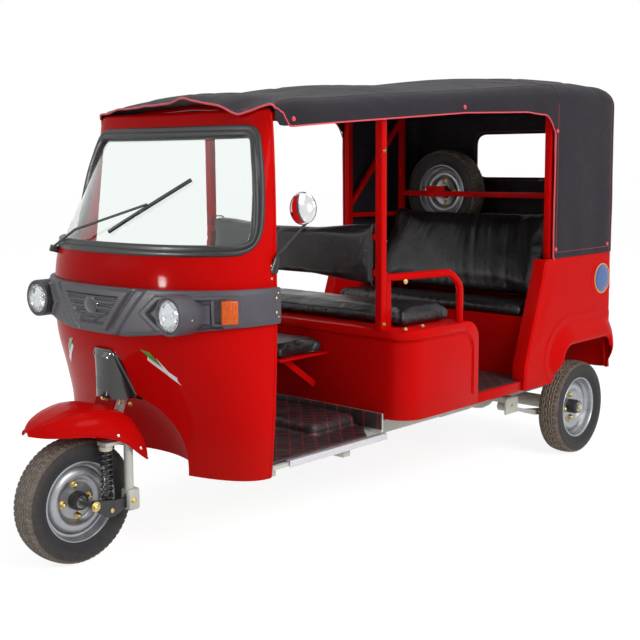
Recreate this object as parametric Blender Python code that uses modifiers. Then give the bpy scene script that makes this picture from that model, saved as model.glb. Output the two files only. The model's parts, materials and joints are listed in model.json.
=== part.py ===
"""Three-wheeled electric passenger rickshaw, at full size.

Metres, +Z up, forward is -Y, the vehicle's left side is +X, tyres stand on z = 0.
Places along the vehicle are written as distances behind the front axle or the rear axle.
"""
import math

import bmesh
import bpy
from mathutils import Matrix, Vector

# Overall layout
TYRE_RADIUS = 0.205
TYRE_WIDTH = 0.100
WHEELBASE = 2.29
REAR_OVERHANG = 0.295        # rear axle to the back of the bumper
REAR_WHEEL_X = 0.499         # centre plane of a rear wheel
OVERALL_LENGTH = TYRE_RADIUS + WHEELBASE + REAR_OVERHANG
FRONT_AXLE = TYRE_RADIUS - OVERALL_LENGTH / 2
REAR_AXLE = FRONT_AXLE + WHEELBASE
SEAT_GAP = 0.0003            # clearance left between pieces that touch
RUN_GAP = 0.0004             # radial clearance of a hub on its spindle
CUT_PAST = 0.050             # how far a cutter runs past what it cuts
CAP = 0.0008                 # step that keeps two faces from lying in one plane
WELD = 0.00001               # points closer than this are one
FLAT_ANGLE = 0.0005          # faces within this angle, in radians, are one flat face

# Wheels
RIM_RADIUS = 0.132
RIM_WIDTH = 0.078
RIM_SHEET = 0.005
HUB_RADIUS = 0.032
HUB_WIDTH = 0.082
SPINDLE_RADIUS = 0.010
WHEEL_SEGMENTS = 28

# Steering and front fork
STEER_RAKE = math.radians(22.0)
STEER_HEAD_BACK = 0.20       # behind the front axle, where the axis crosses STEER_HEAD_Z
STEER_HEAD_Z = 0.50
STEERER_RADIUS = 0.016
HEAD_TUBE_RADIUS = 0.026
SPINE_RADIUS = 0.022
LEG_X = 0.104
LEG_BACK = 0.142
LEG_RADIUS = 0.0155
CROWN_Z = 0.430
CROWN_THICK = 0.014
PIVOT_Z = 0.194
ARM_THICK = 0.014
SHOCK_X = 0.086
SHOCK_BACK = 0.066
SHOCK_RADIUS = 0.021
SHOCK_TOP = 0.388
SHOCK_SEAT = 0.012           # top of the spring seat above the arm's pivot
HANDLEBAR_Z = 0.93
HANDLEBAR_HALF = 0.26
HANDLEBAR_RADIUS = 0.012

# Front mudguard, places behind the front axle: station, half width, crown height, hem height
GUARD_SHEET = 0.006
GUARD_SECTIONS = (
    (-0.172, 0.016, 0.462, 0.450),
    (-0.130, 0.062, 0.486, 0.444),
    (-0.060, 0.100, 0.508, 0.440),
    (0.030, 0.126, 0.518, 0.428),
    (0.110, 0.134, 0.500, 0.395),
    (0.165, 0.134, 0.470, 0.350),
    (0.205, 0.122, 0.414, 0.322),
    (0.228, 0.090, 0.368, 0.316),
)

# Cab, plan sections: height, half width, rear edge and nose as distances behind the front axle
CAB_WALL = 0.018
CAB_ROUND = 2.3              # exponent of the plan curve, 2 is an ellipse
CAB_SECTIONS = (
    (0.285, 0.500, 0.405, 0.225),
    (0.420, 0.503, 0.415, 0.235),
    (0.560, 0.503, 0.425, 0.185),
    (0.690, 0.500, 0.433, 0.130),
    (0.800, 0.496, 0.440, 0.112),
    (0.910, 0.490, 0.446, 0.110),
    (0.990, 0.484, 0.451, 0.124),
    (1.060, 0.479, 0.456, 0.162),
    (1.170, 0.470, 0.464, 0.248),
    (1.290, 0.459, 0.472, 0.340),
    (1.400, 0.447, 0.479, 0.422),
    (1.462, 0.438, 0.482, 0.446),
)
CAB_COLUMNS = 25
CAB_ROWS = (0.285, 0.350, 0.420, 0.490, 0.560, 0.625, 0.690, 0.745, 0.800, 0.855, 0.910,
            0.950, 0.990, 1.060, 1.170, 1.290, 1.400, 1.462)

# Windscreen, outer edge of its rubber frame
SCREEN_BOTTOM = 1.004
SCREEN_TOP = 1.408
PILLAR_WIDTH = 0.050
SCREEN_CORNER = 0.075
SCREEN_STEP = 0.10           # longest facet along its edge
RUBBER_WIDTH = 0.030
RUBBER_PROUD = 0.006
RUBBER_DEPTHS = (-0.022, RUBBER_PROUD)
GLASS_THICK = 0.005
GLASS_BACK = 0.012           # glass face behind the cab's skin
WIPER_FOOT = (-0.345, 0.990)     # places on the cab's skin: distance round from the middle, height
WIPER_BLADE = ((-0.010, 1.068), (0.235, 1.238))

# Recess in the nose for the turning front wheel, an ellipsoid
RECESS_BACK = 0.200
RECESS_HALF = 0.290
RECESS_DEPTH = 0.190
RECESS_HEIGHT = 0.255

# Moulded lamp bar round the nose
BAR_TOP = 0.898
BAR_BOTTOM_SIDE = 0.782
BAR_BOTTOM_MIDDLE = 0.744
BAR_PROUD = 0.020
BAR_ROUNDING = ((0.0, 0.55), (0.12, 1.0), (0.88, 1.0), (1.0, 0.55))   # share of the height and of BAR_PROUD
LAMP_X = 0.354
LAMP_Z = 0.825
LAMP_FACE_BACK = 0.112
LAMP_RADIUS = 0.055
LAMP_SEAT = 0.035            # depth of the hole that takes the lamp
POD_WALL = 0.009
POD_LENGTH = 0.160
PANEL_TOP = (0.905, 0.193)       # trapezoid panel between the lamps: height, half width
PANEL_BOTTOM = (0.752, 0.062)
PANEL_BORDER = 0.020
PANEL_PROUD = 0.008
SLAT_PROUD = 0.004
SLATS = 4
SLAT_HEIGHT = 0.010
BOSS = (0.037, 0.014, 0.029)     # plain oval boss on the panel: half width, depth, half height
LAMP_FRAME_PROUD = 0.007         # six-sided frame round each lamp
LAMP_FRAME_WIDTH = 0.012
SIGNAL_BACK = 0.268
SIGNAL_Z = 0.832
SIGNAL_WIDTH = 0.052
SIGNAL_HEIGHT = 0.074
SIGNAL_PROUD = 0.016

# Shelf inside the nose with the round meter
DASH_ROWS = (CAB_ROWS[10], CAB_ROWS[11])
DASH_DEPTH = 0.150
METER_RADIUS = 0.038

# Cover over the steering head
COVER_TOP = 0.684
COVER_BOTTOM = 0.512
COVER_FRONT_BACK = 0.114
COVER_HALF_TOP = 0.055
COVER_HALF_BOTTOM = 0.108
COVER_DEPTH = 0.160
COVER_COLUMNS = 16
COVER_FLANGE = 0.008         # flange face in front of the cab's skin
COVER_SKIN_DROP = 0.020      # how far the skin falls back at the cover's widest
BONNET_HALF_TOP = 0.036
BONNET_HALF_BOTTOM = 0.060

# Floors
FLOOR_TOP = 0.318
FLOOR_SHEET = 0.012
FLOOR_HALF = 0.498
MAT_THICK = 0.012
REAR_FLOOR_TOP = 0.392
REAR_MAT_THICK = 0.010

# Seat box and middle bench
BOX_BACK = 1.013             # box front, behind the front axle
BOX_LENGTH = 0.444
BOX_HALF = 0.573
BOX_BOTTOM = 0.365
BOX_TOP = 0.692
BOX_WALL = 0.014
BOX_CORNER = 0.095
BOX_REAR_ROUND = 0.075
BOX_RIM = 0.032
BOX_RIM_PROUD = 0.006
BENCH_THICK = 0.054
BENCH_HALF = BOX_HALF - 0.043
BENCH_FRONT = 0.052          # behind the box front
BENCH_DEPTH = 0.315
BACKREST_HALF = 0.435
BACKREST_BOTTOM = 0.846
BACKREST_TOP = 1.074
BACKREST_THICK = 0.072
BACKREST_AHEAD = 0.024       # front face ahead of the posts' middle
BACKREST_TIE = 0.025         # cross bars between the posts; the pad is built round them
BACKREST_TIES = (BACKREST_BOTTOM + 0.05, BACKREST_TOP - 0.05)
SADDLE_HALF = 0.205
SADDLE_DEPTH = 0.262
SADDLE_TOP = 0.628
SADDLE_THICK = 0.046
BATTERY_HALF = 0.360
BATTERY_CLEAR = 0.072        # between the batteries and each end wall, on average
BATTERY_DEPTH = BOX_LENGTH - 2 * BATTERY_CLEAR
BATTERY_HEIGHT = 0.235

# Rear body
BODY_HALF = 0.580
BODY_REAR = 0.215            # rear wall, behind the rear axle
BODY_BOTTOM = 0.365
BODY_TOP = 0.888
BODY_WALL = 0.015
BODY_CORNER = 0.055
SIDE_RETURN = 0.055          # width of the flange at the front edge of the quarter panel
SIDE_TOP_FRONT = -0.362      # front edge of the quarter panel at its top, from the rear axle
SIDE_BOTTOM_FRONT = -0.530
REAR_SEAT_TOP = 0.651
REAR_SEAT_FRONT = -0.425
ARCH_FRONT = -0.300
ARCH_REAR = 0.168
ARCH_TOP = 0.520
ARCH_ROUND = 0.090
FLARE_WIDTH = 0.065
FLARE_ROUNDING = ((0.0, -0.13), (0.15, 0.5), (0.38, 0.85),
                  (0.68, 1.0))   # share of the way to the arch and of FLARE_PROUD
FLARE_PROUD = 0.030
REAR_CUSHION_HALF = BODY_HALF - 0.058
REAR_CUSHION_THICK = 0.044
REAR_CUSHION_DEPTH = 0.265
REAR_BACK_HALF = BODY_HALF - 0.116
REAR_BACK_TOP = 1.082
REAR_BACK_THICK = 0.075
REAR_BACK_LEAN = 0.190

# Roof frame of square tube
TUBE = 0.028
B_POST_X = 0.4513
B_POST_BACK = 1.015
C_POST_X = BODY_HALF - 0.031
C_POST_FROM_REAR = -0.302
D_POST_X = BODY_HALF - 0.100
D_POST_FROM_REAR = 0.020
RAIL_Z_FRONT = 1.437
RAIL_Z_B = 1.462
RAIL_Z_C = 1.512
RAIL_Z_D = 1.530
BACK_BAR_Z = 1.136
HANDRAIL_RADIUS = 0.014
HANDRAIL_FROM_REAR = 0.099
HANDRAIL_RISE = 0.186

# Canopy sections: distance behind the front axle, half width, edge height, crown height,
# how far the sides lie behind the middle, rounding of the edge
CANOPY_SHEET = 0.006
DRAWN_WHEELBASE = 2.29       # wheelbase that these distances were drawn for
CANOPY_SECTIONS = (
    (0.425, 0.458, 1.473, 1.484, 0.055, 0.020),
    (0.480, 0.462, 1.486, 1.510, 0.045, 0.030),
    (0.560, 0.466, 1.496, 1.530, 0.030, 0.040),
    (0.810, 0.476, 1.512, 1.552, 0.000, 0.050),
    (1.143, 0.494, 1.538, 1.588, 0.000, 0.050),
    (1.988, 0.580, 1.600, 1.652, 0.000, 0.050),
    (2.330, 0.584, 1.606, 1.668, 0.000, 0.050),
    (2.450, 0.582, 1.592, 1.655, 0.000, 0.050),
    (2.495, 0.566, 1.562, 1.620, 0.000, 0.050),
    (2.515, 0.525, 1.515, 1.565, 0.000, 0.050),
)
VALANCE_LINE = (              # hem of the side valance: distance behind the front axle, height
    (0.300, 1.467),
    (0.470, 1.467),
    (0.508, 1.405),
    (0.920, 1.434),
    (1.430, 1.472),
    (1.800, 1.484),
    (1.920, 1.474),
    (1.975, 1.430),
)
CURTAIN_BOTTOM = BODY_TOP + SEAT_GAP
WINDOW_LEFT = -0.172
WINDOW_RIGHT = 0.330
WINDOW_BOTTOM = 1.212
WINDOW_TOP = 1.420

# Chassis, axle and springs
RAIL_X = 0.300
RAIL_WIDTH = 0.040
RAIL_HEIGHT = 0.050
MEMBER = 0.036               # square tube of the cross members
AXLE_TUBE_RADIUS = 0.030
DRUM_RADIUS = 0.078
DRUM_WIDTH = 0.040
SPRING_X = 0.412
HANGER_CHEEK = 0.008
HANGER_REACH = 0.045         # half length of the cheek plates
SPRING_WIDTH = 0.050
SPRING_THICK = 0.020
SPRING_FRONT = -0.400
SPRING_REAR = 0.185
SPRING_EYE_Z = 0.262
MOTOR_RADIUS = 0.085
MOTOR_LENGTH = 0.210

# Spare wheel behind the rear seat
SPARE_X = -0.262
SPARE_Z = 1.142
SPARE_FROM_REAR = 0.092

# Mirror, on the left side only
MIRROR_X = 0.556
MIRROR_BACK = 0.500
MIRROR_Z = 1.146
MIRROR_RADIUS = 0.052

# Bumper and lamps at the rear
BUMPER_HALF = BODY_HALF - 0.040
BUMPER_Z = 0.385
BUMPER_HEIGHT = 0.070
TAIL_LAMP_X = BODY_HALF - 0.125
TAIL_LAMP_Z = 0.640
TAIL_LAMP_WIDTH = 0.085
TAIL_LAMP_HEIGHT = 0.150
TAIL_LAMP_DEPTH = 0.022

# Paint and finish colours, linear, with roughness and metallic
RED_PAINT = ((0.60, 0.006, 0.006), 0.18, 0.0)
BLACK_CANVAS = ((0.030, 0.026, 0.028), 0.85, 0.0)
BLACK_LEATHER = ((0.012, 0.011, 0.013), 0.42, 0.0)
BAR_PLASTIC = ((0.040, 0.038, 0.043), 0.55, 0.0)
BLACK_GLOSS = ((0.008, 0.008, 0.009), 0.20, 0.0)
FRAME_GREY = ((0.55, 0.58, 0.54), 0.40, 0.2)
RIM_SILVER = ((0.42, 0.43, 0.45), 0.32, 0.9)
RUBBER = ((0.022, 0.021, 0.020), 0.80, 0.0)
BLACK_STEEL = ((0.015, 0.015, 0.016), 0.45, 0.4)
CHROME = ((0.75, 0.76, 0.78), 0.08, 1.0)
CLEAR_LENS = ((0.82, 0.84, 0.85), 0.08, 0.0)
AMBER_LENS = ((0.85, 0.18, 0.01), 0.15, 0.0)
RED_LENS = ((0.55, 0.01, 0.01), 0.15, 0.0)
SCREEN_GLASS = ((0.75, 0.80, 0.80), 0.05, 0.0)
BATTERY_CASE = ((0.10, 0.11, 0.12), 0.60, 0.0)


def front(distance):
    """Y of a place given as a distance behind the front axle."""
    return FRONT_AXLE + distance


def rear(distance):
    """Y of a place given as a distance behind the rear axle."""
    return REAR_AXLE + distance


def clear_scene():
    for item in list(bpy.data.objects):
        bpy.data.objects.remove(item, do_unlink=True)


def make_collection(name):
    collection = bpy.data.collections.new(name)
    bpy.context.scene.collection.children.link(collection)
    return collection


def add_object(name, mesh, collection):
    item = bpy.data.objects.new(name, mesh)
    collection.objects.link(item)
    return item


def guide(item):
    """Mark a cutter or a helper, which is not part of the vehicle."""
    item.hide_render = True
    item.display_type = "WIRE"
    return item


def from_bmesh(name, bm):
    bmesh.ops.recalc_face_normals(bm, faces=bm.faces)
    mesh = bpy.data.meshes.new(name)
    bm.to_mesh(mesh)
    bm.free()
    return guide(add_object(name, mesh, GUIDES))


def box(low, high, name="box"):
    bm = bmesh.new()
    size = [high[i] - low[i] for i in range(3)]
    middle = [(high[i] + low[i]) / 2 for i in range(3)]
    bmesh.ops.create_cube(bm, size=1.0, matrix=Matrix.Translation(middle) @ Matrix.Diagonal((*size, 1)))
    return from_bmesh(name, bm)


def along(start, end):
    """Matrix that puts +Z along start to end, centred between them, and the length."""
    start, end = Vector(start), Vector(end)
    direction = end - start
    turn = direction.to_track_quat("Z", "Y").to_matrix().to_4x4()
    return Matrix.Translation((start + end) / 2) @ turn, direction.length


def rod(start, end, radius, segments=12, end_radius=None):
    bm = bmesh.new()
    place, length = along(start, end)
    second = radius if end_radius is None else end_radius
    bmesh.ops.create_cone(bm, cap_ends=True, segments=segments, radius1=radius, radius2=second,
                          depth=length, matrix=place)
    return from_bmesh("rod", bm)


def beam(start, end, width, height):
    """Square bar between two points, its width across and its height up or along."""
    bm = bmesh.new()
    place, length = along(start, end)
    bmesh.ops.create_cube(bm, size=1.0, matrix=place @ Matrix.Diagonal((width, height, length, 1)))
    return from_bmesh("beam", bm)


def ball(centre, radii, columns=24, rows=14):
    bm = bmesh.new()
    place = Matrix.Translation(centre) @ Matrix.Diagonal((*radii, 1))
    bmesh.ops.create_uvsphere(bm, u_segments=columns, v_segments=rows, radius=1.0, matrix=place)
    return from_bmesh("ball", bm)


def loft(rings, name="loft"):
    """Closed solid through rings of as many points each, capped at both ends."""
    bm = bmesh.new()
    rows = [[bm.verts.new(point) for point in ring] for ring in rings]
    count = len(rows[0])
    for lower, upper in zip(rows, rows[1:]):
        for i in range(count):
            j = (i + 1) % count
            bm.faces.new((lower[i], lower[j], upper[j], upper[i]))
    bm.faces.new(list(reversed(rows[0])))
    bm.faces.new(rows[-1])
    return from_bmesh(name, bm)


def mesh_of_curve(curve, name):
    """The mesh that a curve's bevel or extrude gives; the curve itself is dropped."""
    carrier = add_object(name, curve, GUIDES)
    graph = bpy.context.evaluated_depsgraph_get()
    mesh = bpy.data.meshes.new_from_object(carrier.evaluated_get(graph))
    bpy.data.objects.remove(carrier, do_unlink=True)
    return mesh


def prism(outline, place, low, high, name="prism"):
    """Flat outline as a filled curve with an extrude; place turns (u, v, depth) into a point."""
    curve = bpy.data.curves.new(name, "CURVE")
    curve.dimensions = "2D"
    curve.fill_mode = "BOTH"
    curve.extrude = (high - low) / 2
    spline = curve.splines.new("POLY")
    spline.points.add(len(outline) - 1)
    for target, (u, v) in zip(spline.points, outline):
        target.co = (u, v, 0.0, 1.0)
    spline.use_cyclic_u = True
    mesh = mesh_of_curve(curve, name)
    bm = bmesh.new()
    bm.from_mesh(mesh)
    bpy.data.meshes.remove(mesh)
    bmesh.ops.remove_doubles(bm, verts=bm.verts, dist=WELD)
    bmesh.ops.dissolve_limit(bm, angle_limit=FLAT_ANGLE, verts=bm.verts, edges=bm.edges)
    bmesh.ops.triangulate(bm, faces=bm.faces)
    middle = (low + high) / 2
    for vertex in bm.verts:
        u, v, depth = vertex.co
        vertex.co = place(u, v, middle + depth)
    return from_bmesh(name, bm)


def on_yz(u, v, depth):
    return (depth, u, v)


def on_xz(u, v, depth):
    return (u, depth, v)


def on_xy(u, v, depth):
    return (u, v, depth)


def filleted(corners, radii, steps=5):
    """Outline with each corner rounded to its own radius."""
    points = []
    count = len(corners)
    for index, corner in enumerate(corners):
        here = Vector(corner)
        before = Vector(corners[index - 1]) - here
        after = Vector(corners[(index + 1) % count]) - here
        half_angle = before.angle(after) / 2
        radius = radii[index]
        if radius <= 0.0:
            points.append(tuple(here))
            continue
        reach = radius / math.tan(half_angle)
        middle = here + (before.normalized()
                         + after.normalized()).normalized() * radius / math.sin(half_angle)
        first = here + before.normalized() * reach - middle
        last = here + after.normalized() * reach - middle
        sweep = first.angle_signed(last)
        for step in range(steps + 1):
            angle = -sweep * step / steps
            points.append(tuple(middle + Matrix.Rotation(angle, 2) @ first))
    return points


def boolean(item, other, operation):
    modifier = item.modifiers.new(operation.lower(), "BOOLEAN")
    modifier.operation = operation
    modifier.object = other


def settle(item):
    """Apply the modifiers on an item and drop the helpers that they used."""
    helpers = [m.object for m in item.modifiers if m.type == "BOOLEAN" and m.object]
    graph = bpy.context.evaluated_depsgraph_get()
    mesh = bpy.data.meshes.new_from_object(item.evaluated_get(graph))
    item.modifiers.clear()
    item.data = mesh
    for helper in set(helpers):
        bpy.data.objects.remove(helper, do_unlink=True)
    return item


def cut(item, *cutters):
    for cutter in cutters:
        boolean(item, cutter, "DIFFERENCE")
    return settle(item)


def fuse(item, *others):
    for other in others:
        boolean(item, other, "UNION")
    return settle(item)


def tube(points, radius, name="tube", resolution=2):
    """Bent round bar through the points, as a mesh with its caps welded."""
    curve = bpy.data.curves.new(name, "CURVE")
    curve.dimensions = "3D"
    curve.bevel_depth = radius
    curve.bevel_resolution = resolution
    curve.use_fill_caps = True
    spline = curve.splines.new("POLY")
    spline.points.add(len(points) - 1)
    for target, point in zip(spline.points, points):
        target.co = (*point, 1.0)
    mesh = mesh_of_curve(curve, name)
    bm = bmesh.new()
    bm.from_mesh(mesh)
    bpy.data.meshes.remove(mesh)
    bmesh.ops.remove_doubles(bm, verts=bm.verts, dist=WELD)
    return from_bmesh(name, bm)


def bent(points, radius, steps=4):
    """Path with its inner corners rounded to a bend radius."""
    path = [Vector(points[0])]
    for before, here, after in zip(points, points[1:], points[2:]):
        here = Vector(here)
        back = (Vector(before) - here)
        ahead = (Vector(after) - here)
        reach = min(radius / math.tan(back.angle(ahead) / 2), back.length * 0.45, ahead.length * 0.45)
        first = here + back.normalized() * reach
        last = here + ahead.normalized() * reach
        for step in range(steps + 1):
            t = step / steps
            path.append(first * (1 - t) ** 2 + here * 2 * t * (1 - t) + last * t ** 2)
    path.append(Vector(points[-1]))
    return path


def turned(profile, name, segments):
    """Body of revolution about the Z axis: a closed (radius, height) line under a Screw modifier."""
    bm = bmesh.new()
    points = [bm.verts.new((radius, 0.0, height)) for radius, height in profile]
    for here, after in zip(points, points[1:] + points[:1]):
        bm.edges.new((here, after))
    mesh = bpy.data.meshes.new(name)
    bm.to_mesh(mesh)
    bm.free()
    item = guide(add_object(name, mesh, GUIDES))
    screw = item.modifiers.new("turn", "SCREW")
    screw.axis = "Z"
    screw.steps = segments
    screw.render_steps = segments
    screw.use_merge_vertices = True
    screw.merge_threshold = WELD
    settle(item)
    bm = bmesh.new()
    bm.from_mesh(item.data)
    bmesh.ops.recalc_face_normals(bm, faces=bm.faces)
    bm.to_mesh(item.data)
    bm.free()
    return item


def finish_part(item, name, finish, smooth_angle=35.0, parent=None):
    """Name a finished solid, give it its own material and file it with the parts."""
    colour, roughness, metallic = finish
    item.name = name
    item.data.name = name
    item.hide_render = False
    item.display_type = "TEXTURED"
    GUIDES.objects.unlink(item)
    PARTS.objects.link(item)
    material = bpy.data.materials.new(name)
    material.use_nodes = True
    shader = material.node_tree.nodes["Principled BSDF"]
    shader.inputs["Base Color"].default_value = (*colour, 1.0)
    shader.inputs["Roughness"].default_value = roughness
    shader.inputs["Metallic"].default_value = metallic
    item.data.materials.clear()
    item.data.materials.append(material)
    item.data.shade_smooth()
    item.data.set_sharp_from_angle(angle=math.radians(smooth_angle))
    if parent is not None:
        item.parent = parent
        item.matrix_parent_inverse = parent.matrix_basis.inverted()
    return item


def joint_frame(name, place):
    """Empty on a joint's axis that carries the pieces that move together."""
    empty = bpy.data.objects.new(name, None)
    empty.location = place
    PARTS.objects.link(empty)
    return empty


# Cab form
def cab_at(height):
    """Half width, rear edge and nose at a height, on a smooth line through the sections."""
    rows = CAB_SECTIONS
    if height <= rows[0][0]:
        return rows[0][1:]
    if height >= rows[-1][0]:
        return rows[-1][1:]
    index = next(i for i in range(len(rows) - 1) if rows[i + 1][0] >= height)
    low, high = rows[index], rows[index + 1]
    span = high[0] - low[0]
    t = (height - low[0]) / span
    values = []
    for column in range(1, 4):
        slopes = []
        for i in (index, index + 1):
            before, after = rows[max(i - 1, 0)], rows[min(i + 1, len(rows) - 1)]
            slopes.append((after[column] - before[column]) / (after[0] - before[0]))
        a, b = low[column], high[column]
        values.append((2 * t ** 3 - 3 * t ** 2 + 1) * a + (t ** 3 - 2 * t ** 2 + t) * span * slopes[0]
                      + (3 * t ** 2 - 2 * t ** 3) * b + (t ** 3 - t ** 2) * span * slopes[1])
    return values


def cab_outline(height, inset=0.0, count=CAB_COLUMNS, rear_extra=0.0):
    """Plan curve from the left rear edge round the nose to the right rear edge."""
    half, rear_edge, nose = cab_at(height)
    half -= inset
    depth = rear_edge - nose - inset
    power = 2 / CAB_ROUND
    points = []
    for step in range(count):
        angle = math.pi * step / (count - 1)
        c, s = math.cos(angle), math.sin(angle)
        x = math.copysign(abs(c) ** power, c) * half
        points.append((x, front(rear_edge - depth * abs(s) ** power)))
    if rear_extra:
        y = front(rear_edge + rear_extra)
        points = [(half, y)] + points + [(-half, y)]
    return points


def cab_solid(low, high, inset=0.0, rear_extra=0.0):
    """Filled block of the cab's form between two heights, its facets the same at any size."""
    heights = [low] + [row for row in CAB_ROWS if low + 0.001 < row < high - 0.001] + [high]
    return loft([[(x, y, z) for x, y in cab_outline(z, inset, rear_extra=rear_extra)] for z in heights],
                "cab_form")


def cab_strip(height):
    """Points of the plan curve with their distance from the centre line along it."""
    plan = cab_outline(height, count=121)
    lengths = [0.0]
    for a, b in zip(plan, plan[1:]):
        lengths.append(lengths[-1] + math.dist(a, b))
    middle = lengths[-1] / 2
    return plan, [middle - value for value in lengths], middle


def cab_point(across, height, proud=0.0):
    """Point on the cab's skin, by distance round from the centre line and by height."""
    def skin(a, z):
        plan, lengths, _ = cab_strip(z)
        for (p, q, low, high) in zip(plan[1:], plan, lengths[1:], lengths):
            if low <= a <= high:
                t = (a - low) / (high - low)
                return Vector((p[0] + (q[0] - p[0]) * t, p[1] + (q[1] - p[1]) * t, z))
        return Vector((*plan[0 if a > 0 else -1], z))
    here = skin(across, height)
    step = 0.004
    sideways = skin(across + step, height) - skin(across - step, height)
    upward = skin(across, height + step) - skin(across, height - step)
    normal = sideways.cross(upward).normalized()
    return here + normal * proud


def screen_corners(margin):
    """Rounded windscreen outline moved in by a margin, in distance round and height."""
    low, high = SCREEN_BOTTOM + margin, SCREEN_TOP - margin
    wide = cab_strip(low)[2] - PILLAR_WIDTH - margin
    narrow = cab_strip(high)[2] - PILLAR_WIDTH - margin
    corners = [(wide, low), (narrow, high), (-narrow, high), (-wide, low)]
    return filleted(corners, [SCREEN_CORNER - margin] * 4, 4)


def screen_outline(margin):
    """The same outline with its long runs divided alike at every margin."""
    full = screen_corners(0.0)
    moved = screen_corners(margin)
    points = []
    for index in range(len(full)):
        after = (index + 1) % len(full)
        pieces = max(1, round(math.dist(full[index], full[after]) / SCREEN_STEP))
        a, b = moved[index], moved[after]
        for step in range(pieces):
            t = step / pieces
            points.append((a[0] + (b[0] - a[0]) * t, a[1] + (b[1] - a[1]) * t))
    return points


def wall_between(bm, lower, upper):
    """Triangles between two loops, split the same way wherever the windscreen parts meet."""
    for i in range(len(lower)):
        j = (i + 1) % len(lower)
        bm.faces.new((lower[i], upper[i], upper[j]))
        bm.faces.new((lower[i], upper[j], lower[j]))


def screen_patch(margin, depths, name):
    """Curved pane inside the windscreen outline, its edge wall through the given depths."""
    outline = screen_outline(margin)
    middle = (0.0, (SCREEN_BOTTOM + SCREEN_TOP) / 2)
    bm = bmesh.new()
    edges = [[bm.verts.new(cab_point(a, z, depth)) for a, z in outline] for depth in depths]
    for lower, upper in zip(edges, edges[1:]):
        wall_between(bm, lower, upper)
    for depth, edge in ((depths[0], edges[0]), (depths[-1], edges[-1])):
        rings = [[bm.verts.new(cab_point(middle[0] + (a - middle[0]) * share,
                                         middle[1] + (z - middle[1]) * share, depth))
                  for a, z in outline] for share in (0.35, 0.7)]
        centre = bm.verts.new(cab_point(*middle, depth))
        for i in range(len(outline)):
            j = (i + 1) % len(outline)
            bm.faces.new((centre, rings[0][i], rings[0][j]))
            for small, large in ((rings[0], rings[1]), (rings[1], edge)):
                bm.faces.new((small[i], large[i], large[j], small[j]))
    return from_bmesh(name, bm)


def screen_rubber():
    """Rubber frame round the glass."""
    outer, inner = screen_outline(SEAT_GAP), screen_outline(RUBBER_WIDTH)
    bm = bmesh.new()
    loops = [[bm.verts.new(cab_point(a, z, depth)) for a, z in outer] for depth in RUBBER_DEPTHS]
    glass_levels = (RUBBER_PROUD, -GLASS_BACK, -GLASS_BACK - GLASS_THICK, RUBBER_DEPTHS[0])
    inside = [[bm.verts.new(cab_point(a, z, depth)) for a, z in inner] for depth in glass_levels]
    wall_between(bm, loops[0], loops[1])
    for upper, lower in zip(inside, inside[1:]):
        wall_between(bm, lower, upper)
    for first, second in ((loops[1], inside[0]), (inside[-1], loops[0])):
        for i in range(len(first)):
            j = (i + 1) % len(first)
            bm.faces.new((first[i], second[i], second[j], first[j]))
    return from_bmesh("rubber", bm)


def recess(extra):
    """Ellipsoid that hollows the nose over the front wheel."""
    centre = (0.0, front(RECESS_BACK), CAB_SECTIONS[0][0])
    return ball(centre, (RECESS_HALF + extra, RECESS_DEPTH + extra, RECESS_HEIGHT + extra))


def steer_point(height):
    """Point of the steering axis at a height."""
    return Vector((0.0, front(STEER_HEAD_BACK) + (height - STEER_HEAD_Z) * math.tan(STEER_RAKE), height))


def make_cab():
    bottom, top = CAB_SECTIONS[0][0], CAB_SECTIONS[-1][0]
    shell = cab_solid(bottom, top)
    inner = cab_solid(bottom - 0.05, top - CAB_WALL, inset=CAB_WALL, rear_extra=0.10)
    cut(inner, recess(CAB_WALL))
    screen_hole = screen_patch(0.0, (-0.09, *RUBBER_DEPTHS, 0.05), "screen_hole")
    head_hole = rod(steer_point(0.36), steer_point(0.60), HEAD_TUBE_RADIUS + 0.006, 16)
    cut(shell, recess(0.0), inner, screen_hole, head_hole)
    finish_part(shell, "cab_shell", RED_PAINT)

    glass = screen_patch(RUBBER_WIDTH + SEAT_GAP, (-GLASS_BACK - GLASS_THICK, -GLASS_BACK), "glass")
    finish_part(glass, "windscreen_glass", SCREEN_GLASS)
    finish_part(screen_rubber(), "windscreen_rubber", RUBBER)


def bar_bottom(x):
    """Lower edge of the lamp bar, which drops towards the middle."""
    share = min(1.0, max(0.0, (abs(x) - 0.14) / (0.49 - 0.14)))
    return BAR_BOTTOM_MIDDLE + (BAR_BOTTOM_SIDE - BAR_BOTTOM_MIDDLE) * share


def bar_form(extra):
    """Filled block of the lamp bar's outer form, grown by an extra."""
    rings = []
    for share, proud in BAR_ROUNDING:
        ring = []
        for x, y in cab_outline(LAMP_Z, inset=-BAR_PROUD * proud - extra):
            low = bar_bottom(x)
            ring.append((x, y, low + (BAR_TOP - low) * share))
        rings.append(ring)
    return loft(rings, "bar")


def raised_on_bar(outline, hole, proud):
    """Low relief on the bar: an outline seen from the front, with a hole in it."""
    relief = bar_form(proud)
    boolean(relief, prism(outline, on_xz, front(-CUT_PAST), front(SIGNAL_BACK)), "INTERSECT")
    if hole:
        boolean(relief, prism(hole, on_xz, front(-CUT_PAST), front(SIGNAL_BACK + CUT_PAST)), "DIFFERENCE")
    return settle(relief)


def panel_outline(margin, top_margin):
    """Trapezoid between the lamps, moved in by a margin at its sides and foot."""
    (high, wide), (low, narrow) = PANEL_TOP, PANEL_BOTTOM
    slope = (wide - narrow) / (high - low)
    foot, head = low + margin, high - top_margin
    half_foot = narrow + slope * (foot - low) - margin * 1.3
    half_head = narrow + slope * (head - low) - margin * 1.3
    return [(half_foot, foot), (half_head, head), (-half_head, head), (-half_foot, foot)]


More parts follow.
